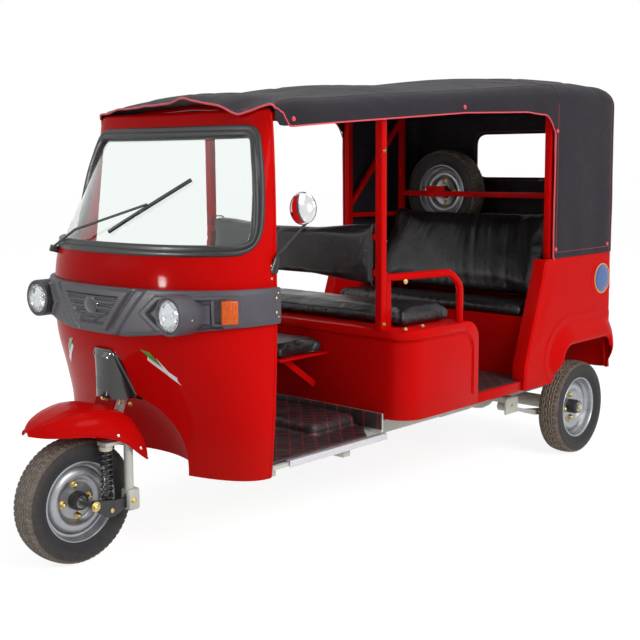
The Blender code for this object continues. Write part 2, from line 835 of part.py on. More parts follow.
def lamp_frame(side, grow):
    """Six-sided outline round a lamp."""
    half, tall = LAMP_RADIUS + 0.034 + grow, LAMP_RADIUS * 0.62 + grow * 0.6
    x = side * (LAMP_X - 0.012)
    return [(x - half, LAMP_Z), (x - half * 0.62, LAMP_Z + tall), (x + half * 0.7, LAMP_Z + tall),
            (x + half, LAMP_Z), (x + half * 0.7, LAMP_Z - tall), (x - half * 0.62, LAMP_Z - tall)]


def make_lamp_bar():
    skin = cab_solid(CAB_ROWS[6], CAB_ROWS[12], inset=-1.5 * SEAT_GAP, rear_extra=0.03)
    bar = bar_form(0.0)
    face = front(LAMP_FACE_BACK)
    pieces = [raised_on_bar(panel_outline(0.0, 0.0), panel_outline(PANEL_BORDER, PANEL_BORDER * 1.4),
                            PANEL_PROUD)]
    low, high = PANEL_BOTTOM[0] + 0.036, PANEL_TOP[0] - PANEL_BORDER * 1.4
    for index in range(SLATS):
        height = low + (high - low) * (index + 0.5) / SLATS
        share = (height - PANEL_BOTTOM[0]) / (PANEL_TOP[0] - PANEL_BOTTOM[0])
        half = PANEL_BOTTOM[1] + (PANEL_TOP[1] - PANEL_BOTTOM[1]) * share - PANEL_BORDER
        slat = [(-half, height - SLAT_HEIGHT / 2), (half, height - SLAT_HEIGHT / 2),
                (half, height + SLAT_HEIGHT / 2), (-half, height + SLAT_HEIGHT / 2)]
        pieces.append(raised_on_bar(slat, None, SLAT_PROUD))
    pieces.append(ball((0.0, front(cab_at(LAMP_Z)[2]) - BAR_PROUD, LAMP_Z + 0.008), BOSS, 20, 10))
    for side in (1, -1):
        pieces.append(raised_on_bar(lamp_frame(side, LAMP_FRAME_WIDTH), lamp_frame(side, 0.0),
                                    LAMP_FRAME_PROUD))
        pieces.append(rod((side * LAMP_X, face, LAMP_Z), (side * LAMP_X, face + POD_LENGTH, LAMP_Z),
                          LAMP_RADIUS + POD_WALL, 24))
    fuse(bar, *pieces)
    cutters = [skin]
    for side in (1, -1):
        cutters.append(rod((side * LAMP_X, face - 0.01, LAMP_Z), (side * LAMP_X, face + LAMP_SEAT, LAMP_Z),
                           LAMP_RADIUS + SEAT_GAP, 24))
    cut(bar, *cutters)
    finish_part(bar, "lamp_bar", BAR_PLASTIC)
    for side, word in ((1, "left"), (-1, "right")):
        back = face + LAMP_SEAT - SEAT_GAP
        lamp = turned([(0.001, 0.0), (LAMP_RADIUS, 0.0), (LAMP_RADIUS, 0.030), (LAMP_RADIUS * 0.72, 0.038),
                       (LAMP_RADIUS * 0.36, 0.042), (0.001, 0.043)], "lamp", 24)
        close_axis(lamp)
        lamp.data.transform(Matrix.Translation((side * LAMP_X, back, LAMP_Z)) @ Matrix.Rotation(math.pi / 2,
                                                                                                4, "X"))
        finish_part(lamp, "headlamp_" + word, CLEAR_LENS)


def close_axis(item):
    """Pull the points nearest a turned body's axis together."""
    bm = bmesh.new()
    bm.from_mesh(item.data)
    for vertex in bm.verts:
        if math.hypot(vertex.co.x, vertex.co.y) < 0.0015:
            vertex.co.x = 0.0
            vertex.co.y = 0.0
    bmesh.ops.remove_doubles(bm, verts=bm.verts, dist=0.00001)
    loose = [face for face in bm.faces if face.calc_area() < 1e-12]
    bmesh.ops.delete(bm, geom=loose, context="FACES_ONLY")
    wires = [edge for edge in bm.edges if not edge.link_faces]
    bmesh.ops.delete(bm, geom=wires, context="EDGES")
    bmesh.ops.recalc_face_normals(bm, faces=bm.faces)
    bm.to_mesh(item.data)
    bm.free()


def make_signals():
    for side, word in ((1, "left"), (-1, "right")):
        seat = bar_form(SEAT_GAP)
        strip = cab_outline(SIGNAL_Z, inset=-BAR_PROUD, count=121)
        place = min(strip, key=lambda p: abs(p[1] - front(SIGNAL_BACK)) + (0 if p[0] * side > 0 else 9))
        index = strip.index(place)
        before, after = strip[index - 1], strip[(index + 1) % len(strip)]
        heading = math.atan2(after[1] - before[1], after[0] - before[0])
        lens = box((-SIGNAL_WIDTH / 2, -SIGNAL_PROUD, -SIGNAL_HEIGHT / 2),
                   (SIGNAL_WIDTH / 2, 0.012, SIGNAL_HEIGHT / 2), "signal")
        turn = Matrix.Rotation(heading, 4, "Z")
        outward = turn @ Vector((0, -1, 0))
        if outward.y > 0:
            turn = turn @ Matrix.Rotation(math.pi, 4, "Z")
            outward = -outward
        spot = Vector((place[0], place[1], SIGNAL_Z)) 
        lens.data.transform(Matrix.Translation(spot) @ turn)
        bevel_edges(lens, 0.005)
        cut(lens, seat)
        finish_part(lens, "turn_signal_" + word, AMBER_LENS)


def bevel_edges(item, width, segments=2):
    modifier = item.modifiers.new("rounding", "BEVEL")
    modifier.width = width
    modifier.segments = segments
    modifier.limit_method = "ANGLE"
    modifier.angle_limit = math.radians(40)
    modifier.use_clamp_overlap = True
    return settle(item)


def cover_ring(height, half, bonnet_half, ahead):
    """Section of the cover: a flange on the cab's skin with a round bonnet in its middle."""
    behind = front(COVER_FRONT_BACK + COVER_DEPTH)
    points = [(half, behind, height)]
    for step in range(COVER_COLUMNS + 1):
        x = half * (1 - 2 * step / COVER_COLUMNS)
        skin = front(cab_at(height)[2] + COVER_SKIN_DROP * (x / COVER_HALF_BOTTOM) ** 2) - COVER_FLANGE
        rise = max(0.0, 1 - (abs(x) / bonnet_half) ** 2.6) ** 0.55
        points.append((x, skin + (min(ahead, skin) - skin) * rise, height))
    points.append((-half, behind, height))
    return points


def make_steering_cover():
    rings = []
    ahead = front(COVER_FRONT_BACK)
    for share in (0.0, 0.35, 0.7, 0.9, 1.0):
        height = COVER_BOTTOM + (COVER_TOP - COVER_BOTTOM) * share
        half = COVER_HALF_BOTTOM + (COVER_HALF_TOP - COVER_HALF_BOTTOM) * share ** 0.8
        bonnet_half = BONNET_HALF_BOTTOM + (BONNET_HALF_TOP - BONNET_HALF_BOTTOM) * share
        rings.append(cover_ring(height, half, bonnet_half, ahead + 0.016 * max(0.0, share - 0.7) / 0.3))
    cover = loft(rings, "cover")
    skin = cab_solid(CAB_ROWS[1], CAB_ROWS[8], inset=-SEAT_GAP)
    way = rod(steer_point(0.42), steer_point(0.62), HEAD_TUBE_RADIUS + 0.006, 16)
    cut(cover, skin, way)
    finish_part(cover, "steering_cover", BLACK_GLOSS)


def make_dash():
    low, high = DASH_ROWS
    limit = front(cab_at(high)[2] + DASH_DEPTH)
    shelf = cab_solid(low, high, inset=CAB_WALL + SEAT_GAP)
    rest = box((-1, limit, low - 0.1), (1, limit + 0.5, high + 0.1))
    cut(shelf, rest)
    meter = rod((0.0, limit - 0.020, high - 0.010), (0.0, limit - 0.050, high + 0.045), METER_RADIUS, 20)
    fuse(shelf, meter)
    finish_part(shelf, "dash_panel", BAR_PLASTIC)


def make_mirror():
    centre = Vector((MIRROR_X, front(MIRROR_BACK), MIRROR_Z))
    foot_z = 0.985
    skin_x = cab_at(foot_z - 0.05)[0] + SEAT_GAP
    foot = Vector((skin_x + 0.009, front(cab_at(foot_z)[1]) - 0.012, foot_z))
    dome = turned([(0.001, 0.0), (MIRROR_RADIUS, 0.0), (MIRROR_RADIUS * 0.94, 0.010),
                   (MIRROR_RADIUS * 0.72, 0.020),
                   (MIRROR_RADIUS * 0.38, 0.027), (0.001, 0.029)], "dome", 24)
    close_axis(dome)
    dome.data.transform(Matrix.Translation(centre) @ Matrix.Rotation(math.pi / 2 + 0.06, 4, "X"))
    neck = centre + Vector((-0.022, 0.0, -MIRROR_RADIUS * 0.8))
    stalk = tube([foot, foot + Vector((0.006, 0, 0.03)), neck, centre + Vector((-0.008, -0.006, -0.02))],
                 0.005)
    clamp = rod(foot + Vector((0.0, 0, -0.045)), foot + Vector((0.001, 0, 0.030)), 0.009, 10)
    pad = box(foot + Vector((-0.015, -0.012, -0.040)), foot + Vector((0.004, 0.012, -0.015)))
    fuse(dome, stalk, clamp, pad)
    cut(dome, cab_solid(CAB_ROWS[9], CAB_ROWS[14], inset=-SEAT_GAP))
    finish_part(dome, "mirror_left", CHROME)


def make_floor():
    top, bottom = FLOOR_TOP, FLOOR_TOP - FLOOR_SHEET
    inside = cab_outline(top, inset=CAB_WALL + 0.003, count=21)
    rear_edge = front(cab_at(top)[1]) + 0.004
    ahead = [p for p in inside if p[1] < rear_edge - 0.01]
    wide = FLOOR_HALF
    back = front(BOX_BACK) - SEAT_GAP
    step_back = rear_edge + 0.004
    outline = [(wide, back - 0.11), (wide, step_back), (ahead[0][0], rear_edge)] + ahead
    outline += [(ahead[-1][0], rear_edge), (-wide, step_back), (-wide, back - 0.11), (-wide + 0.10, back),
                (wide - 0.10, back)]
    pan = prism(outline, on_xy, bottom, top, "pan")
    riser_half = BOX_HALF - BOX_CORNER - FLOOR_SHEET
    riser = box((-riser_half, back - FLOOR_SHEET, bottom + FLOOR_SHEET / 3),
                (riser_half, back - CAP, BOX_BOTTOM + 0.02))
    fuse(pan, riser)
    cut(pan, recess(CAB_WALL + 0.003), spine(SEAT_GAP))
    finish_part(pan, "front_floor", FRAME_GREY)
    edge = wide - 0.012
    nip = ahead[0][0] - 0.012
    half_mat = [(edge, back - 0.115), (edge, rear_edge + 0.008), (nip, rear_edge + 0.004),
                (nip - 0.004, rear_edge - 0.05), (nip - 0.020, front(0.38))]
    mat_outline = half_mat + [(-x, y) for x, y in reversed(half_mat)]
    mat_outline += [(-edge + 0.10, back - 0.02), (edge - 0.10, back - 0.02)]
    mat = prism(mat_outline, on_xy, top + SEAT_GAP, top + MAT_THICK, "mat")
    hump = box((-0.36, back - 0.26, top + SEAT_GAP), (0.36, back - 0.02, top + 0.055))
    bevel_edges(hump, 0.030, 3)
    flat = box((-0.5, back - 0.4, top - 0.1), (0.5, back, top + SEAT_GAP))
    cut(hump, flat)
    fuse(mat, hump)
    cut(mat, recess(CAB_WALL + 0.004), spine(0.004))
    finish_part(mat, "front_mat", BLACK_LEATHER)


def box_outline(grow=0.0):
    low, high = front(BOX_BACK) - grow, front(BOX_BACK) + BOX_LENGTH + grow
    half = BOX_HALF + grow
    corners = [(half, low), (half, high), (-half, high), (-half, low)]
    front_round = max(BOX_CORNER + grow, 0.01)
    return filleted(corners, [front_round, 0.0, 0.0, front_round], 6)


def make_seat_box():
    shell = prism(box_outline(), on_xy, BOX_BOTTOM, BOX_TOP, "shell")
    rim = prism(box_outline(BOX_RIM_PROUD), on_xy, BOX_TOP - BOX_RIM, BOX_TOP, "rim")
    rear_y = front(BOX_BACK) + BOX_LENGTH
    rim_end = box((-1, rear_y - BOX_REAR_ROUND - 0.02, 0.5), (1, rear_y + 0.1, 0.8))
    cut(rim, rim_end)
    fuse(shell, rim)
    hollow = prism(box_outline(-BOX_WALL), on_xy, BOX_BOTTOM - 0.05, BOX_TOP - BOX_WALL, "hollow")
    reach = BOX_REAR_ROUND
    corner = [(rear_y - reach, BOX_TOP - reach)]
    for step in range(7):
        angle = math.pi / 2 * step / 6
        corner.append((rear_y - reach + reach * math.sin(angle), BOX_TOP - reach + reach * math.cos(angle)))
    keep_out = [(corner[1][0], BOX_TOP + 0.02)] + corner[1:] + [(rear_y + 0.02, BOX_TOP - reach),
                                                                (rear_y + 0.02, BOX_TOP + 0.02)]
    round_off = prism(keep_out, on_yz, -1.0, 1.0, "round_off")
    slope = [(rear_y - BOX_WALL - reach, BOX_TOP - BOX_WALL + 0.001),
             (rear_y - BOX_WALL + 0.001, BOX_TOP - reach),
             (rear_y - BOX_WALL + 0.001, BOX_TOP - BOX_WALL + 0.001)]
    wedge = prism(slope, on_yz, -BOX_HALF + BOX_WALL - 0.001, BOX_HALF - BOX_WALL + 0.001, "wedge")
    cut(hollow, wedge)
    cut(shell, hollow, round_off)
    finish_part(shell, "seat_box", RED_PAINT)

    low = front(BOX_BACK)
    deck = box((-BATTERY_HALF, low + 0.05, BOX_TOP - BOX_WALL - SEAT_GAP - BATTERY_HEIGHT),
               (BATTERY_HALF, low + 0.05 + BATTERY_DEPTH, BOX_TOP - BOX_WALL - SEAT_GAP))
    finish_part(deck, "battery_block", BATTERY_CASE)

    base = BOX_TOP + SEAT_GAP
    bench = box((-BENCH_HALF, low + BENCH_FRONT, base),
                (BENCH_HALF, low + BENCH_FRONT + BENCH_DEPTH, base + BENCH_THICK))
    finish_part(bevel_edges(bench, 0.016), "middle_cushion", BLACK_LEATHER)

    plate_top = SADDLE_TOP - SADDLE_THICK
    near = low - SEAT_GAP - 0.004
    saddle = box((-SADDLE_HALF, near - SADDLE_DEPTH, plate_top), (SADDLE_HALF, near, SADDLE_TOP))
    finish_part(bevel_edges(saddle, 0.014), "driver_cushion", BLACK_LEATHER)
    plate = box((-SADDLE_HALF + 0.01, near - SADDLE_DEPTH + 0.01, plate_top - 0.008),
                (SADDLE_HALF - 0.01, low - SEAT_GAP, plate_top - SEAT_GAP))
    props = []
    for side in (1, -1):
        props.append(beam((side * 0.13, near - 0.18, plate_top - 0.010),
                          (side * 0.13, low - 0.016, plate_top - 0.13), 0.024, 0.024))
    fuse(plate, *props)
    stop = box((-1, low - SEAT_GAP, 0.2), (1, low + 0.2, 0.8))
    cut(plate, stop)
    finish_part(plate, "driver_seat_plate", RED_PAINT)


def make_middle_backrest():
    post_y = front(B_POST_BACK)
    face = post_y - BACKREST_AHEAD
    pad = box((-BACKREST_HALF, face, BACKREST_BOTTOM), (BACKREST_HALF, face + BACKREST_THICK, BACKREST_TOP))
    bevel_edges(pad, 0.014)
    reach = BACKREST_TIE / 2 + SEAT_GAP
    channels = [box((-1, post_y - reach, height - reach), (1, post_y + reach, height + reach))
                for height in BACKREST_TIES]
    cut(pad, *channels)
    finish_part(pad, "middle_backrest", BLACK_LEATHER)


def make_handrails():
    for side, word in ((1, "left"), (-1, "right")):
        post_y = front(B_POST_BACK) + TUBE / 2 + SEAT_GAP
        outer = BOX_HALF - 0.022
        end = front(BOX_BACK) + BOX_LENGTH - HANDRAIL_FROM_REAR
        top = BOX_TOP + HANDRAIL_RISE
        path = [(side * B_POST_X, post_y, top), (side * (B_POST_X + 0.03), post_y + 0.07, top),
                (side * outer, end - 0.06, top + 0.004), (side * outer, end, top - 0.045),
                (side * outer, end, BOX_TOP + SEAT_GAP)]
        rail = tube(bent(path, 0.05, 3), HANDRAIL_RADIUS, "rail")
        flange = box((side * B_POST_X - TUBE / 2, post_y, BOX_TOP + SEAT_GAP),
                     (side * B_POST_X + TUBE / 2, post_y + 0.006, top + 0.02))
        strut = beam((side * B_POST_X, post_y + 0.020, BOX_TOP + SEAT_GAP),
                     (side * B_POST_X, post_y + 0.020, top), 0.022, 0.022)
        tie = box((side * B_POST_X - 0.011, post_y + 0.002, top - 0.05),
                  (side * B_POST_X + 0.011, post_y + 0.02, top - 0.02))
        behind = box((-1, post_y - 0.1, 0.5), (1, post_y, 1.2))
        below = box((-1, post_y - 0.2, 0.5), (1, post_y + 0.6, BOX_TOP + SEAT_GAP))
        fuse(rail, strut, flange, tie)
        cut(rail, behind, below)
        finish_part(rail, "handrail_" + word, RED_PAINT)


def canopy_ring(station, row, inset, low):
    """Section of the canopy across the vehicle: straight sides, a round edge, a crowned top."""
    half, edge, crown, bow, rounding = row
    half -= inset
    edge -= inset
    crown -= inset
    right = [(half, low), (half, edge - rounding)]
    for step in range(1, 4):
        angle = math.pi / 2 * step / 3
        right.append((half - rounding + rounding * math.cos(angle),
                      edge - rounding + rounding * math.sin(angle)))
    start = half - rounding
    for step in range(1, 4):
        x = start * (1 - step / 4)
        right.append((x, edge + (crown - edge) * (1 - (x / start) ** 2)))
    ring = right + [(0.0, crown)] + [(-x, z) for x, z in reversed(right)]
    return [(x, station + bow * (x / half) ** 2, z) for x, z in ring]


def canopy_form(inset):
    rings = []
    for index, (back, *row) in enumerate(CANOPY_SECTIONS):
        y = front(back * WHEELBASE / DRAWN_WHEELBASE)
        if back > DRAWN_WHEELBASE:
            y -= inset
        if index == 0 and inset:
            y -= CUT_PAST
        bottom = CURTAIN_BOTTOM - (CUT_PAST if inset else 0.0)
        rings.append(canopy_ring(y, row, inset, bottom))
    return loft(rings, "canopy_form")


def make_canopy():
    shell = canopy_form(0.0)
    hollow = canopy_form(CANOPY_SHEET)
    line = [(front(back * WHEELBASE / DRAWN_WHEELBASE), height) for back, height in VALANCE_LINE]
    curtain_y = line[-1][0] + 0.006
    opening = [(line[0][0] - 0.2, line[0][1])] + line + [(curtain_y, line[-1][1] - 0.04), (curtain_y, 0.6),
                                                       (line[0][0] - 0.2, 0.6)]
    sides = prism(opening, on_yz, -1.0, 1.0, "sides")
    corners = [(WINDOW_RIGHT, WINDOW_BOTTOM), (WINDOW_RIGHT, WINDOW_TOP), (WINDOW_LEFT, WINDOW_TOP),
               (WINDOW_LEFT, WINDOW_BOTTOM)]
    window = prism(filleted(corners, [0.05] * 4, 4), on_xz, rear(0.1), rear(0.4), "window")
    cut(shell, hollow, sides, window)
    finish_part(shell, "canopy", BLACK_CANVAS)


def make_roof_frame():
    y_cab = front(cab_at(RAIL_Z_FRONT + TUBE)[1]) + SEAT_GAP
    y_b, y_c, y_d = front(B_POST_BACK), rear(C_POST_FROM_REAR), rear(D_POST_FROM_REAR)
    half_cab = cab_at(RAIL_Z_FRONT)[0] - TUBE / 2 - 0.002
    foot_b = BOX_TOP + SEAT_GAP
    foot_c = BODY_TOP + SEAT_GAP
    half = TUBE / 2
    pieces = []
    for side in (1, -1):
        front_end = Vector((side * half_cab, y_cab, RAIL_Z_FRONT))
        top_b = Vector((side * B_POST_X, y_b, RAIL_Z_B))
        top_c = Vector((side * C_POST_X, y_c, RAIL_Z_C))
        top_d = Vector((side * D_POST_X, y_d, RAIL_Z_D))
        pieces += [
            beam(front_end, top_b, TUBE, TUBE),
            beam(top_b, top_c, TUBE, TUBE),
            beam(top_c, top_d, TUBE, TUBE),
            beam((side * B_POST_X, y_b, foot_b), top_b + Vector((0, 0, half)), TUBE, TUBE),
            beam((side * C_POST_X, y_c, foot_c), top_c + Vector((0, 0, half)), TUBE, TUBE),
            beam((side * D_POST_X, y_d, REAR_SEAT_TOP + SEAT_GAP), top_d + Vector((0, 0, half)),
                 TUBE * 0.86, TUBE * 0.86),
            beam((side * C_POST_X, y_c + 0.01, 1.085), (side * D_POST_X, y_d, RAIL_Z_D - 0.03), 0.020, 0.020),
            beam((side * C_POST_X, y_c + 0.01, BACK_BAR_Z - 0.10),
                 (side * D_POST_X, y_d, BACK_BAR_Z - 0.10), 0.020, 0.020),
        ]
    bows = ((y_cab + 0.05, half_cab, RAIL_Z_FRONT, 1.480), (y_b, B_POST_X, RAIL_Z_B, 1.545),
            (y_c, C_POST_X, RAIL_Z_C, 1.605), (y_d, D_POST_X, RAIL_Z_D, 1.600))
    for y, x, low, high in bows:
        path = [(-x, y, low), (-x * 0.55, y, high - 0.01), (0, y, high), (x * 0.55, y, high - 0.01),
                (x, y, low)]
        pieces.append(tube(path, 0.010, "bow"))
    pieces.append(beam((-D_POST_X, y_d, BACK_BAR_Z), (D_POST_X, y_d, BACK_BAR_Z), TUBE * 0.86, TUBE * 0.86))
    for height in BACKREST_TIES:
        pieces.append(beam((-B_POST_X, y_b, height), (B_POST_X, y_b, height), BACKREST_TIE, BACKREST_TIE))
    spare_y = rear(SPARE_FROM_REAR) - RIM_WIDTH / 2 + 0.012
    pieces.append(rod((SPARE_X, y_d, SPARE_Z), (SPARE_X, spare_y + 0.045, SPARE_Z),
                      SPINDLE_RADIUS - RUN_GAP, 12))
    pieces.append(box((SPARE_X - 0.055, y_d - 0.018, SPARE_Z - 0.022),
                      (SPARE_X + 0.055, y_d - 0.008, SPARE_Z + 0.030)))
    first = pieces[0]
    fuse(first, *pieces[1:])
    ahead = box((-1, y_cab - 0.2, 1.3), (1, y_cab, 1.6))
    cut(first, ahead)
    finish_part(first, "roof_frame", RED_PAINT)


def make_rear_body():
    back = rear(BODY_REAR)
    ahead = rear(SIDE_BOTTOM_FRONT)
    corners = [(BODY_HALF, ahead), (BODY_HALF, back), (-BODY_HALF, back), (-BODY_HALF, ahead)]
    outer = filleted(corners, [0.0, BODY_CORNER, BODY_CORNER, 0.0], 5)
    inner_half, inner_back = BODY_HALF - BODY_WALL, back - BODY_WALL
    shell = prism(outer, on_xy, BODY_BOTTOM, BODY_TOP, "shell")
    arch = [(rear(ARCH_FRONT) - 0.02, BODY_BOTTOM - 0.05), (rear(ARCH_FRONT) + 0.075, ARCH_TOP),
            (rear(ARCH_REAR) - 0.02, ARCH_TOP), (rear(ARCH_REAR) + 0.02, BODY_BOTTOM - 0.05)]
    lips = []
    for side in (1, -1):
        grown = [(arch[0][0] - FLARE_WIDTH, arch[0][1] + 0.05),
                 (arch[1][0] - FLARE_WIDTH * 0.6, ARCH_TOP + FLARE_WIDTH),
                 (arch[2][0] + FLARE_WIDTH * 0.4, ARCH_TOP + FLARE_WIDTH), (back - 0.015, BODY_BOTTOM)]
        wide = filleted(grown, [0, ARCH_ROUND + 0.06, ARCH_ROUND + 0.01, 0], 5)
        narrow = filleted(arch, [0, ARCH_ROUND, ARCH_ROUND * 0.7, 0], 5)
        rings = []
        for share, proud in FLARE_ROUNDING:
            x = side * (BODY_HALF + FLARE_PROUD * proud)
            rings.append([(x, y + (yn - y) * share, max(z + (zn - z) * share, BODY_BOTTOM))
                          for (y, z), (yn, zn) in zip(wide, narrow)])
        lips.append(loft(rings, "lip"))
    fuse(shell, *lips)
    cabin = box((-inner_half, ahead - 0.2, REAR_SEAT_TOP), (inner_half, inner_back, BODY_TOP + 0.1))
    legs = box((-inner_half, ahead - 0.2, BODY_BOTTOM - 0.1),
               (inner_half, rear(REAR_SEAT_FRONT), BODY_TOP + 0.1))
    under = box((-inner_half, rear(REAR_SEAT_FRONT) + BODY_WALL, BODY_BOTTOM - 0.1),
                (inner_half, inner_back, REAR_SEAT_TOP - BODY_WALL))
    edge = [(ahead + 0.004, BODY_BOTTOM - 0.1), (ahead + 0.012, BODY_BOTTOM + 0.10),
            (rear(SIDE_TOP_FRONT) - 0.03, BODY_TOP - 0.07), (rear(SIDE_TOP_FRONT), BODY_TOP + 0.02)]
    slant = [(ahead - 0.1, BODY_BOTTOM - 0.1)] + edge + [(ahead - 0.1, BODY_TOP + 0.02)]
    band_top = (rear(SIDE_TOP_FRONT) - 0.003, BODY_TOP - CAP)
    band = [(ahead + 0.010, REAR_FLOOR_TOP + REAR_MAT_THICK + 0.003)] + edge[1:3] + [band_top]
    band = [(y - BODY_WALL, z) for y, z in band] + [(y + BODY_WALL, z) for y, z in reversed(band)]
    opened = prism(slant, on_yz, -1.0, 1.0, "slant")
    wells = prism(filleted(arch, [0, ARCH_ROUND, ARCH_ROUND * 0.7, 0], 5), on_yz, -1.0, 1.0, "wells")
    cut(shell, cabin, legs, under, wells)
    returns = [prism(band, on_yz, min(x, x + reach), max(x, x + reach), "return")
               for x, reach in ((BODY_HALF - CAP, -SIDE_RETURN), (-BODY_HALF + CAP, SIDE_RETURN))]
    fuse(shell, *returns)
    cut(shell, opened)
    finish_part(shell, "rear_body", RED_PAINT)

    base = REAR_SEAT_TOP + SEAT_GAP
    low = rear(REAR_SEAT_FRONT) - 0.030
    cushion = box((-REAR_CUSHION_HALF, low, base),
                  (REAR_CUSHION_HALF, low + REAR_CUSHION_DEPTH, base + REAR_CUSHION_THICK))
    finish_part(bevel_edges(cushion, 0.014), "rear_cushion", BLACK_LEATHER)
    foot = low + REAR_CUSHION_DEPTH + SEAT_GAP
    top_y = foot + REAR_BACK_LEAN
    side = [(foot - 0.06, base + REAR_CUSHION_THICK + SEAT_GAP),
            (foot + REAR_BACK_THICK - 0.02, base + REAR_CUSHION_THICK + SEAT_GAP),
            (top_y + 0.01, REAR_BACK_TOP - 0.01), (top_y - REAR_BACK_THICK * 0.7, REAR_BACK_TOP)]
    pad = prism(filleted(side, [0.01, 0.01, 0.02, 0.02], 2), on_yz, -REAR_BACK_HALF, REAR_BACK_HALF, "pad")
    finish_part(pad, "rear_backrest", BLACK_LEATHER)


def make_rear_floor():
    low = front(BOX_BACK) + BOX_LENGTH + SEAT_GAP
    side_end = rear(SIDE_BOTTOM_FRONT) - SEAT_GAP
    inner_end = rear(REAR_SEAT_FRONT) - SEAT_GAP
    under = REAR_FLOOR_TOP - FLOOR_SHEET
    pan = box((-BOX_HALF, low, under), (BOX_HALF, side_end, REAR_FLOOR_TOP))
    tail = box((-BODY_HALF + BODY_WALL + SEAT_GAP, side_end - 0.01, under),
               (BODY_HALF - BODY_WALL - SEAT_GAP, inner_end, REAR_FLOOR_TOP))
    skirts = [box((x, low, BOX_BOTTOM), (x + BOX_WALL, side_end, REAR_FLOOR_TOP - 0.002))
              for x in (-BOX_HALF, BOX_HALF - BOX_WALL)]
    lips = [box((x, low, under), (x + BOX_WALL, side_end, REAR_FLOOR_TOP + 0.012))
            for x in (-BOX_HALF, BOX_HALF - BOX_WALL)]
    fuse(pan, tail, *skirts, *lips)
    finish_part(pan, "rear_floor", RED_PAINT)
    mat = box((-BOX_HALF + BOX_WALL + 0.004, low + 0.008, REAR_FLOOR_TOP + SEAT_GAP),
              (BOX_HALF - BOX_WALL - 0.004, inner_end - 0.008, REAR_FLOOR_TOP + REAR_MAT_THICK))
    finish_part(mat, "rear_mat", BLACK_LEATHER)


def spine(extra):
    """Tube from the steering head back over the wheel recess and down to the frame."""
    top = FLOOR_TOP - FLOOR_SHEET - SEAT_GAP
    path = [steer_point(0.63) + Vector((0, 0.01, 0)), (0, front(0.44), 0.56), (0, front(0.475), top - 0.02)]
    return tube(bent(path, 0.05, 3), SPINE_RADIUS + extra, "spine")


def make_chassis():
    top = FLOOR_TOP - FLOOR_SHEET - SEAT_GAP
    low = top - RAIL_HEIGHT
    start, end = front(0.44), rear(BODY_REAR) - BODY_WALL - 0.02
    pieces = []
    for side in (1, -1):
        pieces.append(box((side * RAIL_X - RAIL_WIDTH / 2, start, low),
                          (side * RAIL_X + RAIL_WIDTH / 2, end, top)))
    for y, half in ((start + 0.01, 0.44), (front(0.80), 0.46),
                    (end - 0.04, SPRING_X - SPRING_WIDTH / 2 - 0.012)):
        pieces.append(box((-half, y, low + 0.008), (half, y + 0.036, top - 0.003)))
    box_y = front(BOX_BACK)
    for y in (box_y + BOX_CORNER + 0.005, box_y + BOX_LENGTH - 0.11):
        pieces.append(box((-BOX_HALF + BOX_WALL + 0.006, y, BOX_BOTTOM + 0.004),
                          (BOX_HALF - BOX_WALL - 0.006, y + MEMBER, BOX_BOTTOM + MEMBER)))
        for side in (1, -1):
            pieces.append(box((side * RAIL_X - MEMBER / 2, y, top - 0.01),
                              (side * RAIL_X + MEMBER / 2, y + MEMBER, BOX_BOTTOM + 0.01)))
    floor_under = REAR_FLOOR_TOP - FLOOR_SHEET - SEAT_GAP
    for y in (box_y + BOX_LENGTH + 0.10, rear(REAR_SEAT_FRONT) - 0.07):
        pieces.append(box((-0.50, y, floor_under - MEMBER), (0.50, y + MEMBER, floor_under)))
        for side in (1, -1):
            pieces.append(box((side * RAIL_X - MEMBER / 2, y, top - 0.01),
                              (side * RAIL_X + MEMBER / 2, y + MEMBER, floor_under - 0.01)))
    for side in (1, -1):
        x = side * SPRING_X
        eye_y = rear(SPRING_FRONT)
        pieces.append(box((x - SPRING_WIDTH / 2 - 0.008, eye_y - 0.03, SPRING_EYE_Z + 0.016),
                          (x + SPRING_WIDTH / 2 + 0.008, eye_y + 0.03, top - 0.004)))
        pieces.append(box((min(x, side * RAIL_X), eye_y - 0.028, SPRING_EYE_Z + 0.018),
                          (max(x, side * RAIL_X), eye_y + 0.028, top - 0.006)))
        cheek_x = x + side * (SPRING_WIDTH / 2 + 0.004)
        pieces.append(box((min(cheek_x, cheek_x + side * HANGER_CHEEK), eye_y - HANGER_REACH,
                           SPRING_EYE_Z - 0.030),
                          (max(cheek_x, cheek_x + side * HANGER_CHEEK), eye_y + HANGER_REACH, top - 0.008)))
        rear_y = rear(SPRING_REAR)
        pieces.append(box((min(x - 0.02, side * RAIL_X), rear_y - 0.026, SPRING_EYE_Z + 0.018),
                          (max(x + 0.02, side * RAIL_X), rear_y + 0.022, top - 0.008)))
    head_low, head_high = steer_point(0.545), steer_point(0.680)
    recess_clear = recess(CAB_WALL + 0.006)
    head = rod(head_low, head_high, HEAD_TUBE_RADIUS, 16)
    fuse(pieces[0], *pieces[1:], spine(0.0), head)
    bore = rod(steer_point(0.5), steer_point(0.75), STEERER_RADIUS + RUN_GAP, 16)
    cut(pieces[0], bore, recess_clear)
    finish_part(pieces[0], "chassis_frame", FRAME_GREY)


def spring_path(thick):
    """Side outline of a leaf spring: eye, arc under the axle, eye."""
    axle_low = TYRE_RADIUS - AXLE_TUBE_RADIUS + 0.006
    stations = ((SPRING_FRONT, SPRING_EYE_Z), (SPRING_FRONT * 0.5, axle_low + 0.028), (0.0, axle_low),
                (SPRING_REAR * 0.55, axle_low + 0.030), (SPRING_REAR, SPRING_EYE_Z))
    upper = [(rear(y), z) for y, z in stations]
    lower = [(y, z - thick * (1.0 if 0 < i < len(upper) - 1 else 0.5)) for i, (y, z) in enumerate(upper)]
    return upper + lower[::-1]


